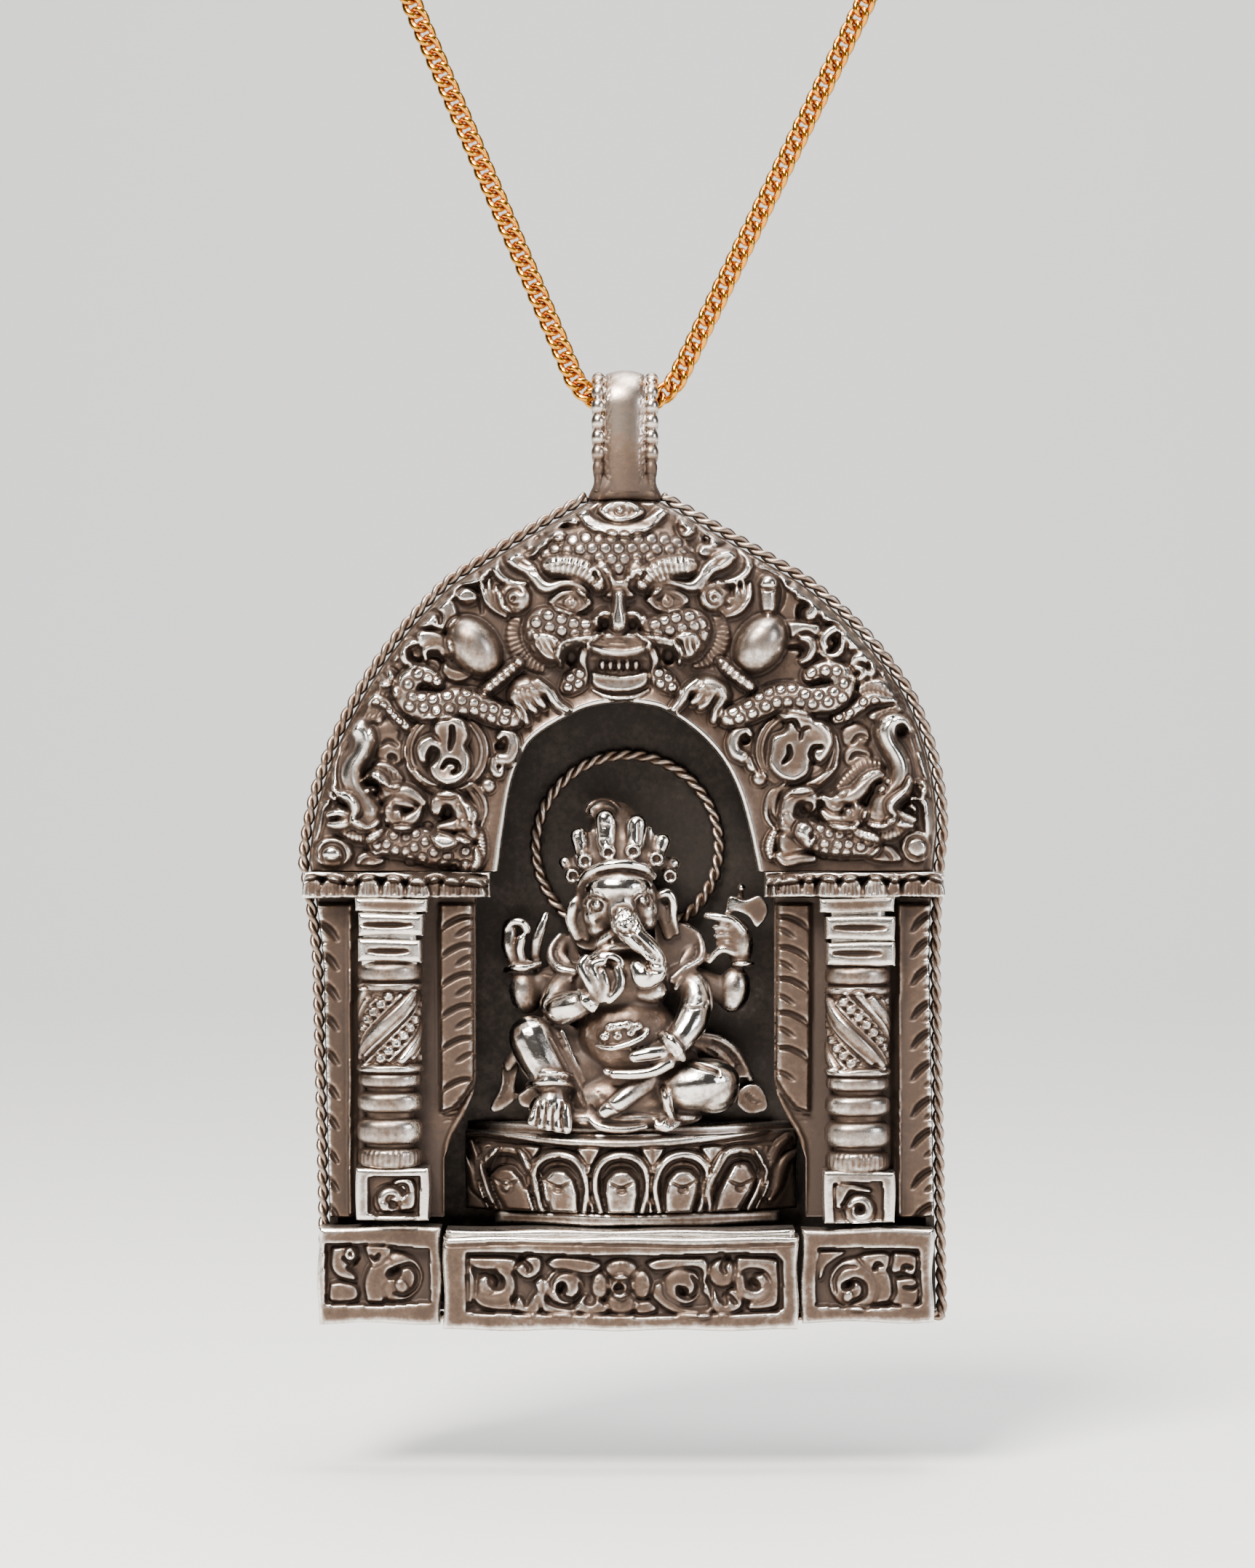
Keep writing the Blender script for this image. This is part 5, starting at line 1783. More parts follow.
def build_pillar(side, silver):
    """Pillar: slab with leaf bands, square foot, turned shaft, two pierced blocks and capital."""
    drop = 0.0 if side < 0 else 0.3
    x = -19.35 if side < 0 else 19.15
    parts = [pillar_sheet(side),
             turned(x, (13.3 - drop, 30.45 - drop), shaft_section(drop), carve_shaft(side, drop), 8.25)]
    foot = (-22.05, -16.05, 9.15, 13.45) if side < 0 else (16.3, 22.15, 8.95, 13.15)
    parts.append(relief_block(foot, 6.5, 10.55, (66, 48), carve_scroll_square(side), edge=0.35, seed=3))
    if side < 0:
        blocks = (((-21.95, -16.75, 30.35, 32.2), (-21, -17.8, 31.25)),
                  ((-21.9, -16.6, 32.5, 34.3), (-21.5, -17.5, 33.4)), ((-22.1, -16.2, 34.45, 35.55), None))
        capital = (-26.5, -11.1, 35.6, 37.68)
    else:
        blocks = (((16.5, 22.1, 30.05, 31.95), (17, 20.9, 31.05)),
                  ((16.4, 22.1, 32.15, 34.05), (17.2, 21.3, 33.15)), ((16.0, 22.1, 34.4, 35.6), None))
        capital = (11.5, 26.3, 35.65, 37.68)
    for k, (area, cut) in enumerate(blocks):
        parts.append(relief_block(area, 7.0, 10.75 - 0.35 * (cut is None), (50, 18),
                                  slit(*cut) if cut else None, edge=0.45, wobble=0.07, seed=5 + k))
    parts.append(relief_block((x - 2.2, x + 2.2, 30.1, 34.8), 7.0, 9.9, (6, 12), edge=0.2))
    parts.append(relief_block(capital, 7.15, 9.0, (170, 34), carve_capital(side), edge=0.2, wobble=0.04,
                              seed=9))
    name = "left_pillar" if side < 0 else "right_pillar"
    piece = new_piece(name + "_cast", *gathered(parts), silver, (name,), "cast_silver")
    sheet_points = len(parts[0][0])
    dulled(piece, 0, sheet_points, 0.3)


def carve_left_plinth(c):
    """Leaves round a drilled boss, in a sunk panel."""
    c.sink("-24.55,2.25 -24.6,7.2 -20,7.1 -16.1,6.7 -16,2.4 -20,2.15", 0.95)
    c.settle()
    c.dome(-18.85, 4.45, 2.15, 2.0, 0, 0.85, flat=0.28)
    for stroke in ("-21.2,2.5 -21.4,4 -20.9,5.4 -20,6 -19,5 -20,3.8 -19.8,2.6 -20.4,2.4",
                   "-24,6.8 -22.3,6.9 -22,6.2 -22.4,5.6 -22.9,5.2 -22.3,4.7 -22.2,4.2 -23.5,4.5 -24.1,5.3",
                   "-24.2,3.9 -23.4,4 -22.2,3.7 -21.9,3 -22.4,2.5 -24.1,2.5 -24.3,3.2"):
        c.leaf(0.8, stroke, edge=0.3)
    c.leaf(0.8, "-21.4,7 -19.4,6.9 -19.3,6.3 -19.9,5.8 -20.6,5.4 -21,5.9", edge=0.25)
    c.settle()
    c.groove(0.27, 0.75, "-19.2,4.9 -18.6,5.2 -17.6,5.4 -17,4.6 -17.2,3.6 -18,2.95 -19,3.1",
             taper=(0.8, 0.3))
    c.pit(-19.0, 4.75, 0.7, 0.5, 20, 0.8)
    c.dome(-18.35, 3.75, 0.5, 0.6, 40, 0.35)
    c.groove(0.22, 0.7, "-23.1,6 -22.5,5.6 -21.9,5.9", taper=(0.8, 0.5))
    c.curl(-22.5, 6.3, 0.42, 0.8, 90, 1, 0.2, 0.4, end=0.5)
    c.groove(0.2, 0.7, "-20.9,6.1 -20.5,5.9 -20.2,6.3", taper=(0.9, 0.6))
    c.settle()


def carve_right_plinth(c):
    """The same subject, cut anew for the right."""
    c.sink("15.7,2.1 15.85,6.8 20,6.8 24.1,6.7 24.3,2.2 20,1.9", 0.95)
    c.settle()
    c.dome(19.1, 3.9, 2.3, 2.1, 0, 0.85, flat=0.28)
    c.leaf(0.8, "20.6,2.3 21.8,2.6 21.9,4 21.5,5 20.6,5.4 19.8,5.8 19.4,5.9 20.4,4.8 20.9,3.6", edge=0.3)
    for stroke in ("19.3,6.1 20,6.3 21.6,6.3 21.6,5.2 21,4.9 20.5,5.3 19.8,5.5",
                   "22.1,6.4 23.8,6.2 23.9,5.2 23.6,4.6 22.8,4.9 21.9,4.9",
                   "22.2,4.2 23.9,4.2 23.9,2.3 22,2.3 22.3,3.2"):
        c.leaf(0.8, stroke, edge=0.25)
    c.leaf(0.7, "15.9,6.5 18,6.5 17.2,5.9 16.5,5.3 16.2,4.5 15.9,4.4", edge=0.25)
    c.settle()
    c.groove(0.26, 0.75, "18.3,3.9 18.9,4.2 19.6,3.8 19.6,3 19,2.5 18.1,2.4", taper=(0.9, 0.3))
    c.groove(0.2, 0.5, "17.3,3.2 17.2,4.3 17.9,5.2 19,5.3", taper=(0.4, 0.4))
    c.pit(18.3, 3.75, 0.6, 0.42, 20, 0.8)
    c.dome(18.3, 2.9, 0.42, 0.5, -20, 0.35)
    c.groove(0.24, 0.7, "20.5,5.1 20.7,5.5 21.1,5.4", taper=(0.9, 0.5))
    c.groove(0.26, 0.7, "23.5,5.2 23,5.3 22.8,5", taper=(0.9, 0.5))
    c.groove(0.2, 0.7, "22.9,3.6 23.6,3.5 24,3.7", taper=(0.5, 0.9))
    c.settle()


def carve_base_panel(c):
    """Scrolls left and right of a four-petalled flower, in a sunk panel."""
    c.sink("-12.95,1.7 -13,6.5 -8,6.5 -4,6.3 0,6.25 4,6.3 8,6.5 12.3,6.4 12.9,5.8 12.9,2 12.4,1.6 6,1.5"
           " 0,1.35 -6,1.5 -12,1.6", 0.95)
    c.settle()
    c.leaf(0.8, "-12.8,6.1 -9.3,6 -9,5.4 -9.3,4.9 -10.4,5.1 -12,5.2 -12.8,5.6", edge=0.25)
    c.leaf(0.8, "-12.8,5.6 -12.2,4 -12.3,2.6 -11,1.9 -8,1.8 -9.3,2.3 -9.4,3.4 -10.8,3 -12,3.4 -12.8,2.4",
           edge=0.25)
    c.ridge(0.5, 0.9, "-10.2,5 -9.5,4.4 -9.5,3.5 -10.1,3 -10.8,3 -11.5,3.4 -11.5,4", taper=(0.6, 1.2),
            flat=0.35)
    c.dome(-11.3, 3.9, 0.72, 0.7, 0, 0.95, flat=0.4)
    c.leaf(0.85, "-8.6,5.5 -8.1,6.1 -7,6.1 -6.9,5.2 -7.4,4.6 -8.1,4.4 -8.8,4.9 -8.9,5.3", edge=0.25)
    c.leaf(0.85, "-9,2.5 -8.6,2.9 -8.1,2.1 -7.5,3 -7,3.4 -7,1.8 -8,1.6 -9,1.9", edge=0.25)
    c.leaf(0.8, "-7.4,4 -6.9,4.4 -6.2,3.9 -6.6,2.6 -5.8,2.1 -4.8,1.9 -3.6,1.7 -5,1.5 -6.6,1.7 -6.9,2.6",
           edge=0.25)
    c.dome(-5.0, 3.7, 1.6, 1.45, 0, 0.75, flat=0.3)
    c.leaf(0.75, "-6.4,5.6 -5.6,6.1 -3.5,6 -2,5.6 -2.6,4.9 -3.8,4.9 -5,5.2 -5.8,5.2", edge=0.25)
    c.leaf(0.8, "-4.2,1.9 -3.5,2.8 -2.9,2.9 -1.8,2.4 -1.5,1.7 -3,1.5", edge=0.25)
    c.leaf(0.75, "1.8,5.6 3,6 5.6,6 6.6,5.9 6.8,4.9 6.4,4 6.4,5 5.6,5.4 4,5.2 2.4,5.1", edge=0.25)
    c.dome(4.6, 3.7, 1.6, 1.5, 0, 0.75, flat=0.3)
    c.leaf(0.8, "2.4,3.9 3,4 3.2,3 4,2.4 5,1.9 6.8,1.9 6.9,2.8 6.4,3.3 6.6,4 7,3.2 7,1.5 5,1.5 3.6,1.8"
                " 2.3,2.9", edge=0.25)
    c.leaf(0.75, "1,2.5 2,2.5 2.6,1.9 1.6,1.5 0.9,1.7", edge=0.25)
    c.dome(8.0, 4.8, 1.15, 1.15, 0, 0.85, flat=0.3)
    c.leaf(0.8, "7.3,3.4 7.9,2.4 8.6,3.4 9.4,3.2 9.6,2.4 9.2,1.8 8,1.5 7.2,1.9", edge=0.25)
    c.leaf(0.75, "9.2,6.1 12.2,5.9 12.5,5.2 12.6,3.2 12.2,2.1 10.2,1.9 10.4,2.6 11.4,3.2 11.9,4.2 11.3,5.1"
                 " 10,5.2 9.2,4.7", edge=0.25)
    c.ridge(0.42, 0.85, "9.4,4.4 9.6,3.4 10.3,3 11.1,3.1 11.5,3.8 11.3,4.4", taper=(1, 0.8), flat=0.35)
    c.dome(11.0, 4.2, 0.5, 0.5, 0, 0.8)
    c.settle()
    # Commas cut into the scrolls
    c.groove(0.3, 0.8, "-5.1,3.9 -5.4,3.4 -5,2.8 -4.2,2.6 -3.6,3.3 -3.7,4", taper=(0.8, 0.3))
    c.groove(0.17, 0.5, "-5.9,3.4 -6,4.2 -5.3,4.9 -4.3,4.9", taper=(0.3, 0.3))
    c.pit(-5.2, 3.6, 0.5, 0.55, 0, 0.75)
    c.groove(0.3, 0.8, "4.4,3.6 4.9,2.9 5.7,3 6,3.8 5.5,4.6", taper=(0.8, 0.3))
    c.pit(4.7, 3.3, 0.55, 0.5, 0, 0.75)
    c.groove(0.3, 0.75, "8.4,6 8,5.4 8.2,4.9", taper=(1, 0.6))
    c.groove(0.26, 0.7, "-8.5,6 -7.8,5.3 -7.9,5", taper=(1, 0.6))
    c.groove(0.26, 0.75, "8.2,2.4 8.4,3 9.1,2.4", taper=(1, 0.6))
    c.pit(-2.9, 2.6, 0.55, 0.45, 0, 0.7)
    c.pit(10.6, 3.9, 0.5, 0.55, 0, 0.5)
    c.pit(-10.6, 4.2, 0.75, 0.7, 0, 0.45)
    # Flower
    for x, v, a, b in ((-0.3, 5.15, 1.35, 0.85), (-0.3, 2.4, 1.3, 0.95), (-2.05, 3.8, 0.75, 1.1),
                       (1.35, 3.9, 0.85, 1.2)):
        c.dome(x, v, a, b, 0, 0.95, flat=0.35)
    c.settle()
    for k in range(44):
        a = 2 * math.pi * k / 44
        c.groove(0.07, 0.22, [(-0.3 + 1.0 * math.cos(a), 3.8 + 0.95 * math.sin(a)),
                              (-0.3 + 2.1 * math.cos(a), 3.8 + 1.85 * math.sin(a))], taper=(0.6, 0.8),
                 smooth=False)
    c.dome(-0.35, 3.8, 0.95, 0.95, 0, 0.45, flat=0.35)
    c.settle()
    c.ring(-0.5, 3.6, 0.55, 0.17, 0.3)
    c.pit(-0.5, 3.55, 0.42, 0.5, 0, 0.55)
    # File marks on the frame
    rng = np.random.default_rng(12)
    for k in range(70):
        x = -13.6 + 27 * rng.random()
        v = (0.5 + 0.7 * rng.random()) if k % 2 else (6.9 + 0.5 * rng.random())
        lean = 0.35 if x > 2 else 0.1
        c.groove(0.05, 0.09, [(x, v), (x + lean, v + 0.35)], smooth=False)
    c.ridge(0.28, 0.25, "-14.4,7.55 -8,7.75 0,7.6 7,7.5 14,7.7", ditch=0.25, taper=(1, 1))


def build_base(silver):
    """Two plinths and the projecting middle panel with its ledge."""
    for name, area, carve, seed in (("left_plinth", (-25.2, -15.1, 0.6, 8.6), carve_left_plinth, 11),
                                    ("right_plinth", (14.5, 25.3, 0.7, 8.4), carve_right_plinth, 12)):
        block = relief_block(area, 7.1, 10.0, (104, 80), carve, edge=0.5, wobble=0.1, seed=seed)
        new_piece(name + "_cast", *block, silver, (name,), "cast_silver")

    def bow(x, v):
        return -0.0015 * x ** 2

    parts = [relief_block((-14.9, 14.2, 0.15, 7.85), 7.1, 10.8, (270, 74), carve_base_panel, edge=0.45,
                          wobble=0.08, seed=13, bow=bow),
             relief_block((-14.7, 14.0, 7.7, 8.3), 6.0, 10.3, (60, 5), edge=0.2, wobble=0.06, seed=14,
                          bow=bow),
             relief_block((-14.4, 13.8, 2.3, 8.2), BEHIND_BAND, 7.3, (10, 5), edge=0.1)]
    new_piece("base_panel_cast", *gathered(parts), silver, ("base_panel",), "cast_silver")


def carve_throne(c):
    """Lotus petals: an outer lip and an inner tongue each, over a foot slab, under the seat's edge."""
    c.h -= 0.5 * np.clip((9.55 - c.v) / 0.25, 0, 1)
    c.h -= 0.7 * np.exp(-((c.v - 9.15) / 0.22) ** 2)
    c.settle()
    # The seat's edge
    c.ridge(0.34, 1.0, "-13.4,15.9 -11.4,16 -8,15.65 -5,15.42 0,15.3 4,15.45 8,15.8 11,16.15 13.6,16.7",
            ditch=0.3, taper=(0.7, 0.7))
    # Tips of the petals behind
    for x in (-11.4, -8.0, -3.0, 2.3, 7.3, 11.6):
        c.leaf(0.85, [(x - 0.95, 14.85), (x, 14.95), (x + 0.95, 14.85), (x + 0.25, 13.4), (x, 12.9),
                      (x - 0.25, 13.4)], edge=0.25, smooth=False)
        c.groove(0.08, 0.25, [(x, 14.8), (x, 13.3)], smooth=False)
    # Side petals, curled like horns
    for line, half in (("-12.9,15 -12.4,13.6 -11.9,12.2 -11.5,11 -11,10.3", 0.42),
                       ("-13.4,13.7 -12.9,12.6 -12.5,11.4 -11.8,10.6", 0.4),
                       ("13.6,15.3 12.8,14.6 12.3,13.4 12,12 11.6,10.8", 0.5),
                       ("14.3,14 13.5,13.6 13,12.6 12.7,11.4 12.1,10.4", 0.5)):
        c.ridge(half, 1.0, line, taper=(0.7, 0.6), ditch=0.3)
    c.settle()
    # Each petal's foot is drawn in towards the middle of the seat
    petals = ((-9.9, 0.75), (-5.5, 0.3), (-0.3, 0.0), (4.8, -0.25), (9.6, -0.75))
    for x, lean in petals:
        top = 14.6 - 0.25 * (abs(x) < 7)
        arch = [(x - 1.7 + 1.1 * lean, 9.75), (x - 2.15 + 0.7 * lean, 11.6), (x - 2.0, 13.1),
                (x - 1.2, top - 0.3), (x, top), (x + 1.2, top - 0.3), (x + 2.0, 13.1),
                (x + 2.15 + 0.7 * lean, 11.6), (x + 1.7 + 1.4 * lean, 9.75)]
        c.ridge(0.3, 1.15, arch, taper=(0.75, 0.75), ditch=0.35)
        for edge in ([(x - 2.35 + 1.1 * lean, 9.7), (x - 2.75 + 0.7 * lean, 11.6), (x - 2.5, 13.4)],
                     [(x + 2.35 + 1.4 * lean, 9.7), (x + 2.75 + 0.7 * lean, 11.6), (x + 2.5, 13.4)]):
            c.ridge(0.16, 0.75, edge, taper=(1, 0.3), ditch=0.12)
        c.groove(0.06, 0.3, [(x, top - 0.1), (x - 0.05, 13.2)], smooth=False)
    c.settle()
    for x, lean in petals:
        tip = 13.1 + 0.45 * (x > 8)
        c.leaf(1.25, [(x - 1.1 + 1.5 * lean, 9.6), (x - 1.35 + 0.6 * lean, 11.2), (x - 1.25, 12.3),
                      (x - 0.6, tip - 0.1), (x, tip), (x + 0.6, tip - 0.1), (x + 1.25, 12.3),
                      (x + 1.35 + 0.7 * lean, 11.2), (x + 1.1 + 1.7 * lean, 9.6)], edge=0.4, ditch=0.35,
               smooth=False)
        c.settle()
        c.groove(0.16, 0.28, [(x - 1.2, 12.3), (x - 0.5, 11.9), (x, 11.75), (x + 0.5, 11.9),
                              (x + 1.2, 12.3)], taper=(0.4, 0.4))
        c.pit(x, 11.5, 0.5, 0.38, 0, 0.28)
        c.settle()
    c.dome(-9.9, 11.6, 0.4, 0.42, 0, 0.6)
    c.settle()
    rng = np.random.default_rng(3)
    c.h += rng.normal(0, 0.008, c.h.size)


def build_throne(silver):
    """The lotus seat, bowed to the front, on its foot slab."""
    def round_front(x, v):
        return -0.0275 * (x - 0.4) ** 2

    def swelling_front(x, v):
        return round_front(x, v) + 0.25 * np.sin((v - 8.4) / 7.6 * math.pi)

    back = 0.9
    lotus = relief_block((-13.35, 14.35, 9.3, 16.0), back, 7.85, (250, 100), carve_throne, edge=0.25,
                         wobble=0.04, seed=21, bow=swelling_front)
    foot = relief_block((-10.75, 12.9, 8.42, 9.45), back, 8.1, (100, 8), seed=22,
                        bow=lambda x, v: -0.024 * (x - 0.9) ** 2)
    # The top of the seat stands back from its edge
    top = relief_block((-13.2, 14.2, 15.4, 16.6), back, 6.4, (90, 8), wobble=0.03, seed=23, bow=round_front)
    new_piece("lotus_seat", *gathered([lotus, foot, top]), silver, ("lotus_throne",), "cast_silver")


# Where the sweets lie in the bowl, and the eyelets under the flutes of the crown
SWEETS = path("-1.65,24.15 -0.6,24.2 0.5,24.5 -1.15,24.95 0.15,25.15 1.0,25.0")
EYELETS = path("-3.3,38.6 -1.4,39.3 0.65,39.4 2.6,38.75 -4.35,37.35 3.75,37.3")


class Modelling:
    """Wax parts put down one by one, to be run together into one casting."""

    def __init__(self):
        self.parts = []

    def lump(self, x, v, d, a, b=None, c=None, turn=0.0):
        """A ball, or an egg a wide, b high and c deep, turned by degrees in the picture plane."""
        b = a if b is None else b
        c = a if c is None else c
        bpy.ops.object.select_all(action="DESELECT")
        bpy.ops.mesh.primitive_uv_sphere_add(segments=28, ring_count=16, radius=1, location=(0, 0, 0))
        ball = bpy.context.object
        bpy.ops.transform.resize(value=(a * MM, c * MM, b * MM), center_override=(0, 0, 0))
        bpy.ops.object.transform_apply(location=False, rotation=False, scale=True)
        bpy.ops.object.mode_set(mode="EDIT")
        bpy.ops.mesh.select_all(action="SELECT")
        if turn:
            bpy.ops.transform.rotate(value=-math.radians(turn), orient_axis="Y", center_override=(0, 0, 0))
        bpy.ops.transform.translate(value=placed(x, v, d).tolist())
        bpy.ops.object.mode_set(mode="OBJECT")
        self.parts.append(ball)

    def roll(self, points, radii, flat=1.0):
        """A rolled length of wax along points x, v, d, with its thickness at each. Flat thins it in depth."""
        points = path(points)
        line = rounded(points, 8)
        reach = np.linspace(0, len(points) - 1, len(line))
        radius = np.interp(reach, np.arange(len(points)), np.broadcast_to(radii, (len(points),)))
        # Ends rounded off
        ahead, behind = line[1] - line[0], line[-1] - line[-2]
        ahead, behind = ahead / np.linalg.norm(ahead), behind / np.linalg.norm(behind)
        caps = np.radians([8, 30, 52, 74])
        line = np.vstack([[line[0] - ahead * radius[0] * math.cos(a) for a in caps], line,
                          [line[-1] + behind * radius[-1] * math.cos(a) for a in caps[::-1]]])
        radius = np.concatenate([radius[0] * np.sin(caps), radius, radius[-1] * np.sin(caps[::-1])])
        space = placed(line[:, 0], line[:, 1], line[:, 2]) / MM
        sides = 14
        points, faces = tube(space, radius, sides, closed=False)
        if flat != 1.0:
            middle = np.repeat(space, sides, 0)
            points[:, 1] = middle[:, 1] + (points[:, 1] - middle[:, 1]) * flat
        self.parts.append(laid_out("roll", points * MM, faces))

    def plate(self, outline, back, face):
        """A flat piece cut to an outline."""
        outline = path(outline)
        line = rounded(outline + outline[:1], 5)[:-1]
        n = len(line)
        points = np.vstack([placed(line[:, 0], line[:, 1], np.full(n, depth)) for depth in (face, back)])
        faces = [list(range(n)), list(range(2 * n - 1, n - 1, -1))]
        faces += [[(k + 1) % n, k, n + k, n + (k + 1) % n] for k in range(n)]
        piece = laid_out("plate", points, faces)
        turned_outwards(piece)
        self.parts.append(piece)

    def cast(self, name, grain, smooth):
        """The parts as one closed skin, cells of grain mm."""
        bpy.ops.object.select_all(action="DESELECT")
        for part in self.parts:
            part.select_set(True)
        piece = self.parts[0]
        bpy.context.view_layer.objects.active = piece
        bpy.ops.object.join()
        piece.name = name
        piece.data.name = name
        piece.data.remesh_voxel_size = grain * MM
        piece.data.remesh_voxel_adaptivity = 0
        bpy.ops.object.voxel_remesh()
        bpy.ops.object.mode_set(mode="EDIT")
        bpy.ops.mesh.select_all(action="SELECT")
        bpy.ops.mesh.vertices_smooth(factor=0.5, repeat=smooth)
        bpy.ops.object.mode_set(mode="OBJECT")
        bpy.ops.object.shade_smooth()
        return piece


def chased(piece, carve):
    """Strokes cut from the front into a cast piece."""
    mesh = piece.data
    co = np.empty(len(mesh.vertices) * 3)
    mesh.vertices.foreach_get("co", co)
    co = co.reshape(-1, 3)
    normal = np.empty(co.size)
    mesh.vertex_normals.foreach_get("vector", normal)
    front = np.clip(-normal.reshape(-1, 3)[:, 1] * 1.4, 0, 1)
    c = Carving(co[:, 0] / MM - HANG[0], co[:, 2] / MM - HANG[2])
    carve(c)
    co[:, 1] -= c.h * front * MM
    mesh.vertices.foreach_set("co", co.ravel())
    mesh.update()


def model_figure(m):
    """The seated figure part by part, in wax. Points are x, v, d."""
    # Body, robe and seat of the robe
    m.lump(0.2, 24.1, 5.2, 4.35, 3.5, 3.5)
    m.lump(-0.3, 28.2, 4.8, 4.0, 2.9, 3.0)
    m.lump(1.9, 27.8, 6.8, 1.6, 1.15, 1.2)
    m.lump(-3.6, 21.2, 4.6, 2.9, 2.4, 2.6)
    m.lump(3.4, 21.3, 4.6, 3.0, 2.2, 2.6)
    m.lump(-0.2, 18.9, 5.0, 5.2, 2.3, 3.0)
    m.lump(0.0, 17.3, 5.3, 6.5, 1.1, 2.7)
    # Raised left leg and its foot
    m.roll("-3.8,22.2,4.6 -6.2,23.4,5.2 -7.4,23.6,5.6", [2.0, 1.9, 1.7])
    m.roll("-7.75,23.85,6.4 -7.0,22.3,6.8 -6.2,21.0,7.0", [1.95, 1.9, 1.75])
    m.roll("-6.1,21.0,6.8 -5.95,19.6,7.0 -6.0,18.6,7.2", [1.5, 1.2, 1.4])
    m.lump(-6.15, 18.0, 7.2, 1.85, 1.6, 1.5)
    for x0, x1, r, v1 in ((-7.3, -7.7, 0.42, 16.75), (-6.8, -7.0, 0.42, 16.5), (-6.2, -6.3, 0.43, 16.35),
                          (-5.6, -5.55, 0.45, 16.25), (-4.95, -4.8, 0.5, 16.2)):
        m.roll([(x0, 18.2, 7.9), (x1, v1 + 0.35, 8.2)], [r, r * 1.02])
    # Anklet and hem over it
    m.roll("-7.95,19.95,6.6 -7.3,20.3,8.2 -6.2,20.45,8.8 -5.1,20.35,8.4 -4.3,20.0,7.0", 0.34)
    m.roll("-7.8,20.6,6.6 -7.1,20.95,8.3 -6.1,21.1,8.9 -5.0,21.0,8.4 -4.3,20.7,7.2", 0.26)
    # Folded right leg and its foot
    m.lump(6.0, 20.05, 6.3, 3.6, 2.15, 2.6, -9)
    m.lump(7.3, 19.7, 6.1, 2.2, 2.1, 2.3, -9)
    m.lump(4.4, 20.0, 6.2, 2.0, 1.6, 2.2, -9)
    m.roll("3.0,20.4,6.5 3.4,19.2,8.3 3.6,18.2,8.0 3.9,17.2,7.4", [0.35, 0.45, 0.45, 0.35])
    m.roll("3.6,17.6,7.2 3.3,16.9,7.9 2.7,16.7,8.0 2.6,17.1,7.8", [0.35, 0.35, 0.3, 0.25])
    m.roll("4.4,16.9,7.3 3.6,16.5,7.9 2.9,16.5,7.9", [0.3, 0.3, 0.25])
    m.roll("2.0,20.3,6.8 0.6,19.5,7.6 -0.6,18.6,8.0 -1.7,17.9,8.0", [1.1, 0.98, 0.82, 0.62])
    m.roll("-2.5,18.9,7.3 -2.0,19.1,7.5 -1.5,18.8,7.6", [0.3, 0.35, 0.3])
    m.roll("-2.4,18.3,7.4 -1.9,18.5,7.7 -1.4,18.3,7.8", [0.25, 0.3, 0.3])
    # Hem of the robe over the seat
    m.roll("-3.0,18.6,6.6 -2.9,17.3,7.4 -1.8,16.6,7.9 0.0,16.4,8.0 1.7,16.65,7.8",
           [0.3, 0.32, 0.35, 0.35, 0.25])
    m.roll("-6.3,24.4,7.0 -5.2,22.7,7.2 -4.3,21.0,7.2 -3.5,19.4,6.8 -2.9,18.0,6.8",
           [0.28, 0.34, 0.34, 0.32, 0.3])
    m.roll("-5.2,24.4,6.8 -4.4,22.4,7.2 -3.4,20.4,7.0", [0.25, 0.3, 0.25])
    # Front right arm, its bangle and hand
    m.roll("4.6,28.6,4.8 5.7,28.0,5.4 6.0,27.0,6.0", 1.35)
    m.roll("5.95,26.6,6.2 5.5,25.3,7.1 4.75,24.2,7.8 3.9,23.3,8.1", [1.4, 1.42, 1.25, 1.0])
    m.roll("3.15,24.35,8.3 3.7,24.0,9.2 4.4,23.2,9.2 4.75,22.35,8.4", [0.34, 0.4, 0.4, 0.34])
    m.roll("2.9,24.2,8.4 3.35,23.7,9.1 3.95,23.0,9.2 4.3,22.3,8.6", 0.22)
    m.lump(3.0, 22.5, 8.2, 1.25, 1.1, 0.8)
    m.roll("3.1,22.85,8.8 1.9,22.75,9.1 0.75,22.5,9.1", [0.62, 0.6, 0.5])
    m.roll("3.6,22.0,8.5 2.4,21.3,8.8 0.8,21.05,8.9 -0.9,21.05,8.8", [0.6, 0.5, 0.44, 0.42])
    m.roll("-0.7,21.0,8.6 -1.5,21.25,8.5", 0.34)
    # Bowl of sweets
    m.lump(-0.3, 23.9, 7.9, 2.15, 1.15, 1.1, 14)
    m.roll("-2.25,23.35,8.4 -1.2,23.2,9.2 0.2,23.55,9.4 1.5,24.15,9.1 1.85,24.75,8.6", 0.24)
    for x, v in SWEETS + [(-0.5, 25.0)]:
        m.lump(x, v, 8.75, 0.5, 0.42, 0.45)
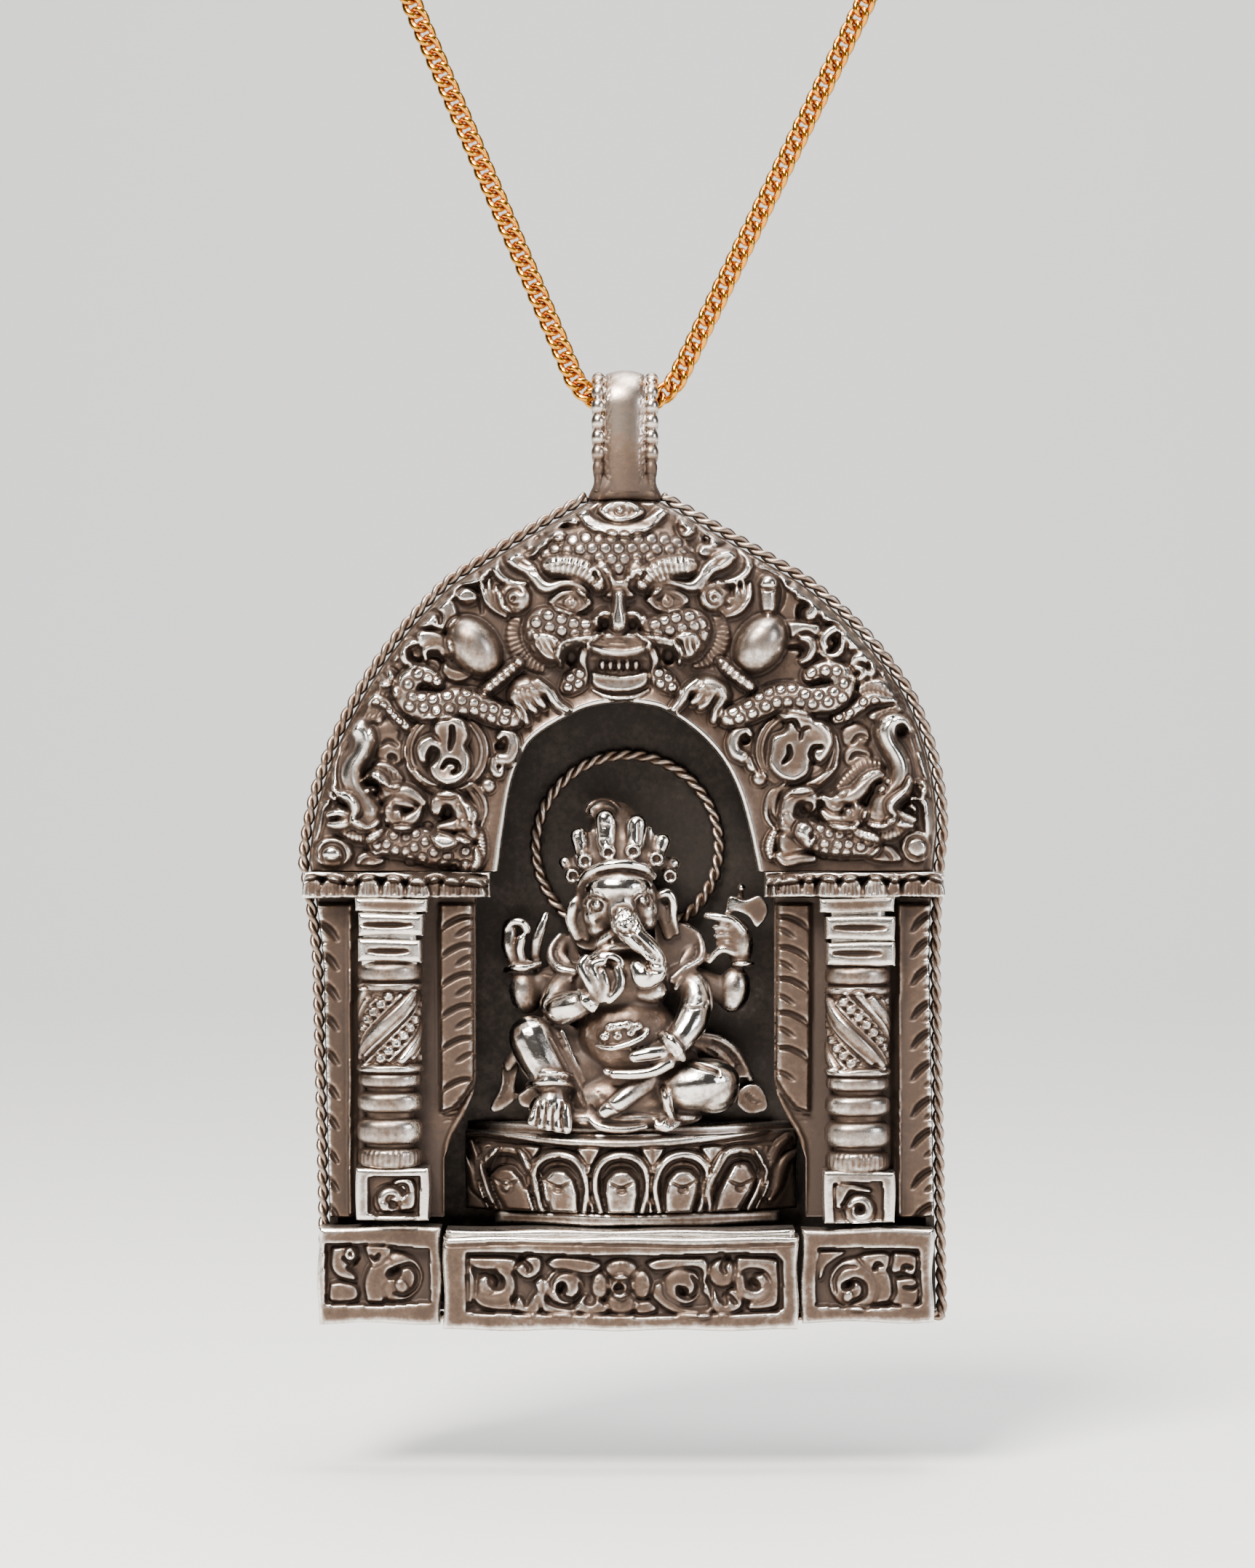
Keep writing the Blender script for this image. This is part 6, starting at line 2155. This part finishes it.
    # Front left arm, bangle and open hand
    m.roll("-4.3,28.7,4.8 -5.4,27.7,5.5 -5.8,26.7,6.2", [1.35, 1.3, 1.3])
    m.roll("-5.2,26.35,6.8 -4.3,26.6,7.5 -3.3,27.0,7.9", [1.4, 1.3, 1.05])
    m.roll("-3.75,27.75,8.0 -3.35,27.1,8.9 -2.7,26.4,8.7", [0.34, 0.4, 0.34])
    m.roll("-3.4,27.8,8.2 -3.0,27.2,8.9 -2.4,26.6,8.7", 0.24)
    m.lump(-2.0, 28.5, 8.0, 1.45, 1.6, 0.65, -10)
    m.roll("-2.2,27.2,8.5 -3.0,28.6,8.7 -3.6,29.9,8.6 -3.2,30.6,8.5", [0.38, 0.42, 0.42, 0.36])
    m.roll("-1.9,27.2,8.6 -2.3,28.8,8.8 -2.7,30.0,8.7 -1.8,30.3,8.6", [0.34, 0.36, 0.36, 0.34])
    m.roll("-1.55,27.3,8.7 -1.6,28.6,8.8 -1.9,29.5,8.7", [0.34, 0.34, 0.3])
    m.roll("-1.3,27.1,8.7 -0.55,27.9,8.8 -0.35,28.8,8.7 -0.6,29.7,8.6", [0.34, 0.4, 0.4, 0.34])
    m.roll("-2.0,30.8,8.2 -1.0,30.75,8.3 -0.35,30.3,8.3 -0.3,29.7,8.3", [0.3, 0.32, 0.32, 0.28])
    # Rear arms with their bangles and hands
    m.roll("-5.0,28.8,4.0 -7.2,28.2,4.0 -8.3,27.4,4.2", [1.2, 1.2, 1.15])
    m.lump(-8.3, 27.7, 4.3, 1.4, 1.95, 1.25, -8)
    m.roll("-9.9,29.4,4.2 -9.2,29.7,5.2 -8.2,29.7,5.3 -7.2,29.9,4.6", [0.3, 0.36, 0.36, 0.28])
    m.roll("-9.0,30.0,4.4 -9.6,31.5,4.6 -9.6,33.2,4.6", [0.75, 0.75, 0.55])
    m.roll("-9.9,32.9,4.8 -9.3,33.5,5.2 -8.5,33.4,5.4 -8.15,32.8,5.3", [0.36, 0.36, 0.36, 0.34])
    m.roll("-8.5,30.1,5.0 -8.75,31.1,5.3 -8.6,32.1,5.4", [0.38, 0.38, 0.36])
    m.roll("-8.6,30.3,4.9 -7.8,29.9,5.2 -7.1,30.0,4.9", [0.34, 0.32, 0.26])
    m.roll("-7.5,30.6,4.2 -7.4,31.8,4.4 -7.0,33.0,4.4 -6.6,34.0,4.3", [0.5, 0.5, 0.45, 0.35])
    m.roll("5.0,28.8,4.0 7.6,27.9,4.0 9.0,27.3,4.2", [1.2, 1.15, 1.1])
    m.lump(9.05, 27.8, 4.3, 1.4, 1.95, 1.25, 10)
    m.lump(9.8, 30.0, 4.8, 1.05, 0.33, 0.95)
    m.lump(9.5, 31.8, 4.5, 1.2, 2.0, 0.95, -6)
    m.roll("9.8,32.6,4.9 8.9,33.6,5.2 7.6,33.9,5.2 6.75,34.0,5.0", [0.55, 0.42, 0.36, 0.28])
    for x1, v0, v1 in ((7.5, 33.0, 33.0), (7.6, 32.4, 32.3), (7.75, 31.8, 31.7)):
        m.roll([(9.4, v0 - 0.3, 4.9), (8.5, v0, 5.1), (x1, v1, 4.9)], [0.42, 0.34, 0.26])
    m.roll("9.3,30.9,4.9 8.2,31.2,5.1 7.6,30.9,5.0 7.0,30.2,4.9", [0.5, 0.36, 0.32, 0.28])
    # Axe
    m.plate("8.4,34.35 8.75,35.6 10.0,35.25 11.3,35.65 11.95,34.3 11.0,33.0 10.3,33.9 9.4,34.3",
            3.6, 5.0)
    m.lump(9.7, 36.3, 4.3, 0.36, 0.36, 0.5)
    m.roll("9.7,36.2,3.8 9.6,34.5,3.8", 0.25)
    # Ears and cloth behind the shoulders
    m.plate("-4.7,35.2 -3.2,35.3 -2.4,33.2 -2.4,31.2 -3.9,31.4 -4.6,32.8", 2.6, 5.0)
    m.plate("2.4,36.0 3.6,36.2 4.2,35.2 4.2,33.6 5.6,33.0 6.2,31.6 5.8,30.0 3.6,29.4 2.6,31.0", 2.4, 4.5)
    m.plate("-6.2,31.6 -5.3,32.5 -4.2,31.6 -3.6,29.9 -5.0,29.0 -6.6,28.9 -6.2,30.2", 2.4, 4.2)
    m.plate("-6.0,24.8 -4.0,24.6 -3.2,20.4 -3.0,17.4 -4.4,17.4 -4.6,20.2 -6.2,22.0", 3.4, 6.3)
    m.plate("5.6,24.6 7.6,23.9 9.5,22.6 10.4,20.6 8.4,20.6 5.8,21.4", 1.6, 3.7)
    # Scarves
    m.roll("-4.2,29.3,6.2 -5.4,29.6,5.8 -6.1,30.3,5.0 -6.1,31.3,4.4 -5.4,32.3,4.0",
           [0.36, 0.4, 0.4, 0.36, 0.3])
    m.roll("-4.5,28.7,6.3 -5.6,28.7,5.6 -6.8,28.9,4.8", 0.3)
    m.roll("-4.8,29.9,5.2 -5.4,30.7,4.6 -5.0,31.8,4.0", [0.5, 0.6, 0.4], flat=0.6)
    m.roll("3.9,28.7,6.2 5.0,29.6,5.8 6.2,30.3,5.0 6.45,31.2,4.6 6.1,32.3,4.2 5.1,33.1,3.8",
           [0.34, 0.38, 0.4, 0.38, 0.36, 0.3])
    m.roll("4.2,28.0,6.4 4.7,28.8,6.2 5.8,29.4,5.6", [0.26, 0.28, 0.24])
    m.roll("4.9,30.0,5.0 5.5,31.0,4.4 5.1,32.2,3.8", [0.5, 0.7, 0.45], flat=0.5)
    # Ends of the scarves by the throne
    m.roll("6.0,24.0,4.4 7.9,23.6,4.2 9.3,22.5,3.8 10.5,20.4,3.2", [0.35, 0.4, 0.42, 0.35])
    m.roll("5.8,23.3,4.6 7.6,22.6,4.2 8.8,21.6,3.8", [0.5, 0.7, 0.6], flat=0.6)
    m.plate("9.4,19.2 10.3,19.8 11.5,19.5 11.9,17.8 10.4,17.4 9.4,18.1", 1.6, 3.2)
    m.roll("-6.9,24.0,4.0 -8.8,22.6,3.6 -9.8,21.4,3.2", [0.5, 0.55, 0.5], flat=0.7)
    m.plate("-9.9,22.2 -8.9,21.4 -9.2,19.7 -9.3,18.4 -10.8,17.5 -11.3,17.9 -10.5,19.4 -10.3,21.0",
            1.6, 3.0)
    m.plate("-9.0,18.9 -7.6,19.8 -7.0,18.8 -7.6,18.0 -8.7,18.1", 2.2, 4.2)
    # Head
    m.lump(-0.5, 35.4, 5.2, 3.3, 2.7, 3.0)
    m.lump(-0.5, 36.3, 6.2, 2.9, 1.8, 2.5)
    m.roll("-0.5,36.3,6.9 -0.35,35.2,7.3 -0.1,34.0,7.6 0.3,32.9,7.8", [1.75, 1.4, 1.25, 1.15])
    m.lump(-2.3, 34.1, 5.8, 1.2, 1.35, 1.4)
    m.lump(1.5, 34.5, 5.9, 1.25, 1.3, 1.5)
    m.lump(-2.2, 33.0, 5.8, 1.0, 0.85, 1.1)
    m.lump(1.8, 33.6, 6.0, 0.85, 0.8, 1.1)
    m.roll("0.0,33.5,8.1 0.9,32.3,8.6 2.0,31.4,8.8 2.65,30.4,8.8 2.65,29.3,8.7 2.0,28.75,8.5",
           [1.25, 1.02, 0.86, 0.76, 0.72, 0.7])
    m.lump(1.5, 29.2, 8.3, 1.0, 1.05, 1.1)
    m.roll("2.1,28.8,8.3 1.45,28.8,8.5 1.0,29.8,8.4", [0.72, 0.8, 0.66])
    # Ears, tusk
    m.roll("-3.4,35.6,5.2 -4.2,34.9,5.4 -4.4,33.6,5.2 -3.9,32.3,5.2", [0.5, 0.55, 0.6, 0.5], flat=0.7)
    m.roll("-3.3,34.6,5.2 -3.5,33.2,5.2 -3.2,32.2,5.2", [0.5, 0.6, 0.4], flat=0.8)
    m.roll("2.7,35.6,5.6 3.5,35.9,5.5 4.0,35.2,5.4 4.0,33.9,5.2 4.3,32.6,4.8", [0.36, 0.4, 0.4, 0.38, 0.3])
    m.roll("2.8,34.6,5.2 3.4,33.6,5.0 3.6,32.4,4.8", [0.6, 0.75, 0.5], flat=0.6)
    m.roll("-0.9,32.7,7.4 -1.9,32.0,7.3 -2.3,31.6,7.0", [0.4, 0.32, 0.25])
    # Crown: band, cone, flutes over eyelets, knob
    m.roll("-3.95,36.1,5.0 -3.3,37.3,6.6 -1.8,38.15,7.7 0.0,38.35,7.9 1.6,38.0,7.3 2.35,37.3,6.4",
           [0.32, 0.38, 0.42, 0.42, 0.4, 0.32])
    m.lump(-0.4, 38.8, 4.6, 3.9, 1.9, 2.6)
    m.roll("-0.5,38.6,4.2 -0.6,40.2,4.1 -0.8,41.4,3.9", [3.3, 2.9, 2.1])
    for x0, v0, x1, v1, r, d in ((-3.4, 39.1, -3.85, 40.6, 0.74, 5.8), (-1.5, 39.9, -1.65, 42.0, 0.86, 6.8),
                                 (0.75, 39.9, 0.95, 41.6, 0.86, 6.6), (2.75, 39.2, 3.1, 40.2, 0.7, 5.6),
                                 (-4.35, 37.7, -4.95, 38.4, 0.6, 4.7), (3.4, 38.2, 4.0, 38.3, 0.6, 4.7)):
        m.roll([(x0, v0, d), (x1, v1, d - 0.2)], [r, r * 1.05])
    for x, v in ((-2.55, 40.2), (-0.4, 40.9), (1.95, 40.4)):
        m.roll([(x, v - 0.9, 5.6), (x, v + 0.7, 5.4)], [0.5, 0.45])
    for (x, v), d in zip(EYELETS, (6.4, 7.2, 7.1, 6.3, 5.2, 5.0)):
        m.lump(x, v, d + 0.15, 0.72, 0.7, 0.6)
    m.lump(-1.8, 42.75, 4.6, 1.65, 1.05, 1.6)
    m.lump(-1.5, 42.6, 5.4, 0.95, 0.85, 1.1)
    # Neck cloth and chain over the chest
    m.roll("-3.6,29.9,6.9 -1.4,31.3,7.4 0.4,31.5,7.0", [0.4, 0.4, 0.3])
    # Struts that carry the casting on the back plate
    for x, v, r in ((-0.5, 30.0, 2.4), (0.2, 20.0, 2.6)):
        m.plate([(x + r * math.cos(a), v + r * math.sin(a)) for a in np.linspace(0, 1.75 * math.pi, 8)],
                0.9, 4.0)


def carve_figure(c):
    """Chasing of the cast figure."""
    # Toes, hair lines of the hem, folds
    for x0, x1 in ((-7.15, -7.42), (-6.55, -6.68), (-5.95, -5.95), (-5.25, -5.15)):
        c.groove(0.13, 0.5, [(x0 + 0.1, 18.75), (x0, 17.6), (x1, 16.3)], taper=(0.3, 1))
    c.groove(0.12, 0.25, "-7.2,19.8 -6,20.1 -4.8,19.9", taper=(0.5, 0.5))
    c.groove(0.1, 0.25, "-7.7,20.45 -6.3,21 -4.9,20.75", taper=(0.5, 0.5))
    c.groove(0.14, 0.3, "-2.9,18.4 -1.6,17.2 0.2,16.9 1.8,17.1", taper=(0.4, 0.4))
    c.groove(0.12, 0.25, "-2.4,19.6 -0.6,18 1.4,17.7 2.9,17.6", taper=(0.4, 0.4))
    c.groove(0.13, 0.3, "3.1,20.2 3.6,19.2 3.9,18.1 4.4,17.2", taper=(0.5, 0.5))
    c.groove(0.1, 0.3, "3.3,17.9 3.5,17.2 3.3,16.8", taper=(0.6, 0.4))
    c.groove(0.13, 0.3, "-6.2,23.9 -5.2,22 -4,20 -3.3,18.4", taper=(0.4, 0.4))
    # Ornament slot on the knee
    c.groove(0.26, 0.45, "5.3,21.9 6.4,21.6 7.6,21.2", taper=(0.8, 0.8), smooth=False)
    c.groove(0.16, 0.3, "7.6,21.2 7.75,20.8", smooth=False)
    # Fingers
    c.groove(0.1, 0.3, "0.9,22.2 1.9,22.3 2.9,22.5", taper=(0.5, 0.3))
    c.groove(0.06, 0.15, "1.9,22.6 1.95,23.1", smooth=False)
    # Creases of arms
    c.groove(0.1, 0.35, "4.9,26.6 5.7,26.5 6.4,26.6 6.9,26.9", taper=(0.4, 0.7))
    c.groove(0.1, 0.3, "-6.7,26.6 -6,27.2 -5.2,27.5", taper=(0.3, 0.6))
    for x, v in ((3.6, 23.5), (4.1, 22.95), (-3.1, 27.0), (-2.75, 26.6)):
        c.groove(0.05, 0.15, [(x - 0.25, v + 0.3), (x + 0.25, v - 0.3)], smooth=False)
    # Sweets, each with its mark
    for x, v in SWEETS:
        c.ring(x, v, 0.24, 0.07, 0.12)
        c.pit(x, v, 0.13, 0.13, 0, 0.2)
    # Forehead: brow lines, crosshatched oval at the root of the trunk
    c.dome(-0.1, 33.8, 0.8, 0.95, 0, 0.16, ditch=0.22)
    c.settle()
    for k in (-0.5, -0.15, 0.2, 0.55):
        c.groove(0.06, 0.24, [(-0.75 + k, 33.2), (0.35 + k, 34.6)], taper=(1, 1), smooth=False)
        c.groove(0.06, 0.24, [(0.65 + k, 33.1), (-0.45 + k, 34.5)], taper=(1, 1), smooth=False)
    c.groove(0.08, 0.2, "-3.1,35.9 -2.4,36.1 -1.8,35.7 -1.4,35.1", taper=(0.4, 0.5))
    c.groove(0.08, 0.2, "2.1,36.1 1.4,36.3 0.8,36.0 0.5,35.5", taper=(0.4, 0.5))
    # Eyes
    for x, v, r in ((-2.45, 34.9, 0.95), (1.55, 35.3, 0.82)):
        c.groove(0.1, 0.35,
                 [(x + r * math.cos(a), v + 0.8 * r * math.sin(a))
                  for a in np.linspace(0.2, math.pi - 0.2, 7)])
        c.groove(0.06, 0.14,
                 [(x + 0.8 * r * math.cos(a), v - 0.5 * r * math.sin(a))
                  for a in np.linspace(0.3, math.pi - 0.3, 7)])
        c.pit(x, v, 0.7 * r, 0.42 * r, 0, 0.3)
        c.dome(x + 0.05, v, 0.36, 0.3, 0, 0.3, ditch=0.2)
    c.pit(-2.2, 33.6, 0.3, 0.22, 30, 0.2)
    # Trunk rings
    for x, v, lean in ((0.75, 32.5, -52), (1.15, 32.15, -50), (1.55, 31.8, -45), (1.9, 31.45, -42),
                       (2.2, 31.05, -35), (2.45, 30.65, -25), (2.6, 30.2, -12), (2.7, 29.7, 0)):
        dx, dv = math.cos(math.radians(lean + 90)), math.sin(math.radians(lean + 90))
        c.groove(0.085, 0.32, [(x - 0.95 * dv, v + 0.95 * dx), (x, v - 0.12),
                               (x + 0.95 * dv, v - 0.95 * dx)], taper=(0.7, 0.7))
    c.groove(0.12, 0.45, "2.1,29.5 1.9,29.9 1.95,30.4", taper=(0.5, 0.6))
    c.groove(0.09, 0.3, "-0.75,32.9 0,32.6 0.8,32.8 1.5,33.3", taper=(0.4, 0.4))
    # Eyelets and flutes of the crown
    for x, v in EYELETS:
        c.pit(x, v, 0.4, 0.38, 0, 0.6)
    for x, v0, v1 in ((-1.6, 40.1, 42.1), (0.85, 40.1, 41.7), (-3.6, 39.3, 40.7)):
        for k in (-0.3, 0.3):
            c.groove(0.06, 0.18, [(x + k, v0), (x + k * 0.9 - 0.05, v1)], smooth=False)
    for k in range(5):
        c.groove(0.05, 0.12, [(-2.1, 41.9 - 0.4 * k), (-1.2, 41.85 - 0.4 * k)], smooth=False)
    c.groove(0.1, 0.3, "-3.3,42.1 -3,43 -2.2,43.6 -1.2,43.5 -0.5,42.8", taper=(0.5, 0.5))
    c.groove(0.1, 0.25, "-3.4,36.4 -2.3,37.3 -0.8,37.75 0.6,37.7 1.8,37.2", taper=(0.5, 0.5))
    # Bangles
    c.groove(0.08, 0.25, "-9.8,29.7 -9,30 -8.1,30 -7.2,30.2", taper=(0.5, 0.5))
    c.groove(0.08, 0.2, "8.9,29.85 9.8,29.7 10.7,29.9", taper=(0.5, 0.5))
    # Scarf folds
    for line in ("-5.3,29.9 -5.8,30.7 -5.6,31.6", "5.2,29.9 5.9,30.8 5.8,31.8",
                 "7.0,23.6 8.4,22.8 9.6,21.4", "6.6,23.0 7.8,22.2", "-10.3,21.6 -9.9,20.2 -10.4,18.6",
                 "10,19.3 10.6,18.6 11.3,18.3", "-3.7,34.6 -3.9,33.6 -3.6,32.6",
                 "3.3,35.3 3.6,34.4 3.6,33.2"):
        c.groove(0.1, 0.28, line, taper=(0.4, 0.4))
    rng = np.random.default_rng(5)
    c.h += rng.normal(0, 0.006, c.h.size)


def build_figure(silver):
    """The seated elephant-headed figure with four arms, as one casting."""
    m = Modelling()
    model_figure(m)
    piece = m.cast("seated_figure", 0.17, 2)
    chased(piece, carve_figure)
    finish(piece, silver, ("ganesha_figure",))


class ShrineSettings(bpy.types.PropertyGroup):
    """Sizes and colours of the pendant's finish."""
    silver: FloatVectorProperty(name="Silver", description="Rubbed high spots", subtype="COLOR",
                                default=linear("#f3ede5"), min=0, max=1)
    film: FloatVectorProperty(name="Film", description="Thin tarnish on the slopes", subtype="COLOR",
                              default=linear("#6c5a4e"), min=0, max=1)
    sulphide: FloatVectorProperty(name="Sulphide", description="Black tarnish in the hollows",
                                  subtype="COLOR", default=linear("#362b25"), min=0, max=1)
    gold: FloatVectorProperty(name="Gold", description="Gold wash of the chain", subtype="COLOR",
                              default=linear("#d6922b"), min=0, max=1)
    tarnish: FloatProperty(name="Tarnish", description="How far the film has crept out of the hollows",
                           subtype="FACTOR", default=0.52, min=0, max=1)
    chain_pitch: FloatProperty(name="Chain pitch", description="Spacing of the links", subtype="DISTANCE",
                               unit="LENGTH", default=1.25 * MM, min=0.5 * MM)
    chain_wire: FloatProperty(name="Chain wire", description="Thickness of a link's wire",
                              subtype="DISTANCE", unit="LENGTH", default=0.56 * MM, min=0.2 * MM)
    chain_width: FloatProperty(name="Chain width", description="Width of a link", subtype="DISTANCE",
                               unit="LENGTH", default=1.8 * MM, min=0.5 * MM)
    rope_pitch: FloatProperty(name="Rope pitch", description="Length of one turn of the rim's twisted wire",
                              subtype="DISTANCE", unit="LENGTH", default=2.6 * MM, min=0.5 * MM)
    bead_pitch: FloatProperty(name="Bead pitch", description="Spacing of the beads on the bail",
                              subtype="DISTANCE", unit="LENGTH", default=1.3 * MM, min=0.5 * MM)


class PENDANT_OT_chain(bpy.types.Operator):
    """Curb chain of interlocking links, from clasp to clasp through the bail"""
    bl_idname = "pendant.chain"
    bl_label = "Chain"

    def execute(self, context):
        s = context.scene.shrine
        build_chain(gold_wash(s), s)
        build_clasp(gold_wash(s))
        return {"FINISHED"}


class PENDANT_OT_wires(bpy.types.Operator):
    """Bail, rope rim and halo"""
    bl_idname = "pendant.wires"
    bl_label = "Bail, rope and halo"

    def execute(self, context):
        s = context.scene.shrine
        silver = tarnished_silver(s)
        build_bail(silver, s)
        build_rope(silver, s)
        build_halo(silver)
        return {"FINISHED"}


class PENDANT_OT_arch(bpy.types.Operator):
    """Cast arch with its mask, beasts and foliage"""
    bl_idname = "pendant.arch"
    bl_label = "Arch"

    def execute(self, context):
        build_arch(cast_silver(context.scene.shrine))
        return {"FINISHED"}


class PENDANT_OT_plain(bpy.types.Operator):
    """Finish of the case, which keeps the plain shape that the frame gives it"""
    bl_idname = "pendant.plain"
    bl_label = "Case"

    def execute(self, context):
        case = frame["nodes"]["case"].data
        case.materials.clear()
        case.materials.append(blackened_silver())
        return {"FINISHED"}


class PENDANT_OT_shrine(bpy.types.Operator):
    """Pillars, plinths, base panel and lotus seat"""
    bl_idname = "pendant.shrine"
    bl_label = "Pillars, base and seat"

    def execute(self, context):
        silver = cast_silver(context.scene.shrine)
        build_pillar(-1, silver)
        build_pillar(1, silver)
        build_base(silver)
        build_throne(silver)
        return {"FINISHED"}


class PENDANT_OT_figure(bpy.types.Operator):
    """Seated figure in the niche"""
    bl_idname = "pendant.figure"
    bl_label = "Figure"

    def execute(self, context):
        build_figure(handled_silver(context.scene.shrine))
        return {"FINISHED"}


class PENDANT_OT_wear(bpy.types.Operator):
    """Rubbing of the cast pieces, worked out from how far each point stands out of the whole relief"""
    bl_idname = "pendant.wear"
    bl_label = "Wear"

    def execute(self, context):
        rub_relief([piece for piece in bpy.data.objects if piece.name in RUBBED])
        rub_bail(bpy.data.objects["bail_strap"])
        return {"FINISHED"}


class PENDANT_OT_stage(bpy.types.Operator):
    """Pale sweep, soft lamps and the camera of the photograph"""
    bl_idname = "pendant.stage"
    bl_label = "Stage"

    def execute(self, context):
        build_stage()
        return {"FINISHED"}


def build_stage():
    """Sweep, lamps, world and camera, in metres."""
    low, high = size_at_load
    floor_level = low[2] - 0.012
    room_behind = 1.3
    back = high[1] + room_behind
    bpy.ops.object.select_all(action="DESELECT")
    bpy.ops.mesh.primitive_plane_add(size=1, location=(0, 0, floor_level))
    sweep = bpy.context.object
    sweep.name = "sweep"
    sweep.scale = (6, 2.6, 1)
    sweep.location = (0, back - room_behind, floor_level)
    bpy.ops.object.transform_apply(location=True, rotation=False, scale=True)
    bpy.ops.object.mode_set(mode="EDIT")
    bpy.ops.mesh.select_mode(type="EDGE")
    bpy.ops.mesh.select_all(action="DESELECT")
    bpy.ops.object.mode_set(mode="OBJECT")
    for edge in sweep.data.edges:
        a, b = (sweep.data.vertices[i].co for i in edge.vertices)
        edge.select = bool(min(a.y, b.y) > back - 1e-6)
    bpy.ops.object.mode_set(mode="EDIT")
    bpy.ops.mesh.extrude_region_move(TRANSFORM_OT_translate={"value": (0, 0, 2.4)})
    bpy.ops.mesh.select_all(action="DESELECT")
    bpy.ops.object.mode_set(mode="OBJECT")
    for edge in sweep.data.edges:
        a, b = (sweep.data.vertices[i].co for i in edge.vertices)
        edge.select = bool(min(a.y, b.y) > back - 1e-6 and max(a.z, b.z) < floor_level + 1e-6)
    bpy.ops.object.mode_set(mode="EDIT")
    bpy.ops.mesh.bevel(offset=0.5, segments=20)
    bpy.ops.object.mode_set(mode="OBJECT")
    bpy.ops.object.shade_smooth()
    paper, _, surface = blank("matt_paper")
    surface.inputs["Base Color"].default_value = (*linear("#d9d8d6"), 1)
    surface.inputs["Roughness"].default_value = 0.9
    sweep.data.materials.append(paper)

    middle = placed(0.2, 45, 5)
    for name, where, aim, size, power, tone in (
            ("key_softbox", (-0.14, -0.30, 0.34), (0, 0, 0), 0.17, 8.2, "#fffaf4"),
            ("fill_softbox", (0.40, -0.30, 0.12), (0, 0, 0), 0.16, 1.3, "#f2f6ff"),
            ("top_softbox", (0.02, -0.05, 0.40), (0, 0, 0), 0.18, 2.6, "#ffffff"),
            ("low_card", (-0.30, -0.36, -0.10), (0, 0, 0), 0.10, 0.45, "#ffe9d4"),
            ("wall_wash", (0, 0.55, 1.1), (0, 1.25, 0.1), 0.9, 26, "#ffffff")):
        lamp = bpy.data.lights.new(name, "AREA")
        lamp.shape = "SQUARE"
        lamp.size = size
        lamp.energy = power
        lamp.color = linear(tone)
        holder = bpy.data.objects.new(name, lamp)
        bpy.context.scene.collection.objects.link(holder)
        holder.location = Vector(middle) + Vector(where)
        holder.rotation_euler = (Vector(aim) - Vector(where)).to_track_quat("-Z", "Y").to_euler()

    world = bpy.data.worlds.new("studio")
    world.use_nodes = True
    world.node_tree.nodes["Background"].inputs["Color"].default_value = (*linear("#8c8580"), 1)
    world.node_tree.nodes["Background"].inputs["Strength"].default_value = 0.12
    bpy.context.scene.world = world

    # The camera stands as far off as the photograph's perspective asks, and takes in its height, mm
    away, sensor, frame_height = 365.0, 36.0, 129.4
    view = bpy.data.cameras.new("photo_camera")
    view.sensor_fit = "VERTICAL"
    view.sensor_height = sensor
    view.lens = sensor * away / frame_height
    view.clip_start = 0.01
    holder = bpy.data.objects.new("photo_camera", view)
    bpy.context.scene.collection.objects.link(holder)
    holder.location = placed(0.21, 44.94, 8 + away)
    holder.rotation_euler = (math.pi / 2, 0, 0)
    bpy.context.scene.camera = holder


class PENDANT_PT_panel(bpy.types.Panel):
    """Pieces of the pendant, each with its button"""
    bl_idname = "PENDANT_PT_panel"
    bl_label = "Shrine pendant"
    bl_space_type = "VIEW_3D"
    bl_region_type = "UI"
    bl_category = "Shrine pendant"

    def draw(self, context):
        for name in ShrineSettings.__annotations__:
            self.layout.prop(context.scene.shrine, name)
        for operator in OPERATORS:
            self.layout.operator(operator.bl_idname)


OPERATORS = (PENDANT_OT_plain, PENDANT_OT_arch, PENDANT_OT_shrine, PENDANT_OT_figure, PENDANT_OT_wires,
             PENDANT_OT_chain, PENDANT_OT_wear, PENDANT_OT_stage)


def register():
    for item in (ShrineSettings, *OPERATORS, PENDANT_PT_panel):
        bpy.utils.register_class(item)
    bpy.types.Scene.shrine = PointerProperty(type=ShrineSettings)


def unregister():
    del bpy.types.Scene.shrine
    for item in (PENDANT_PT_panel, *reversed(OPERATORS), ShrineSettings):
        bpy.utils.unregister_class(item)


def main():
    register()
    for operator in OPERATORS:
        group, name = operator.bl_idname.split(".")
        getattr(getattr(bpy.ops, group), name)()


if __name__ == "__main__":
    main()
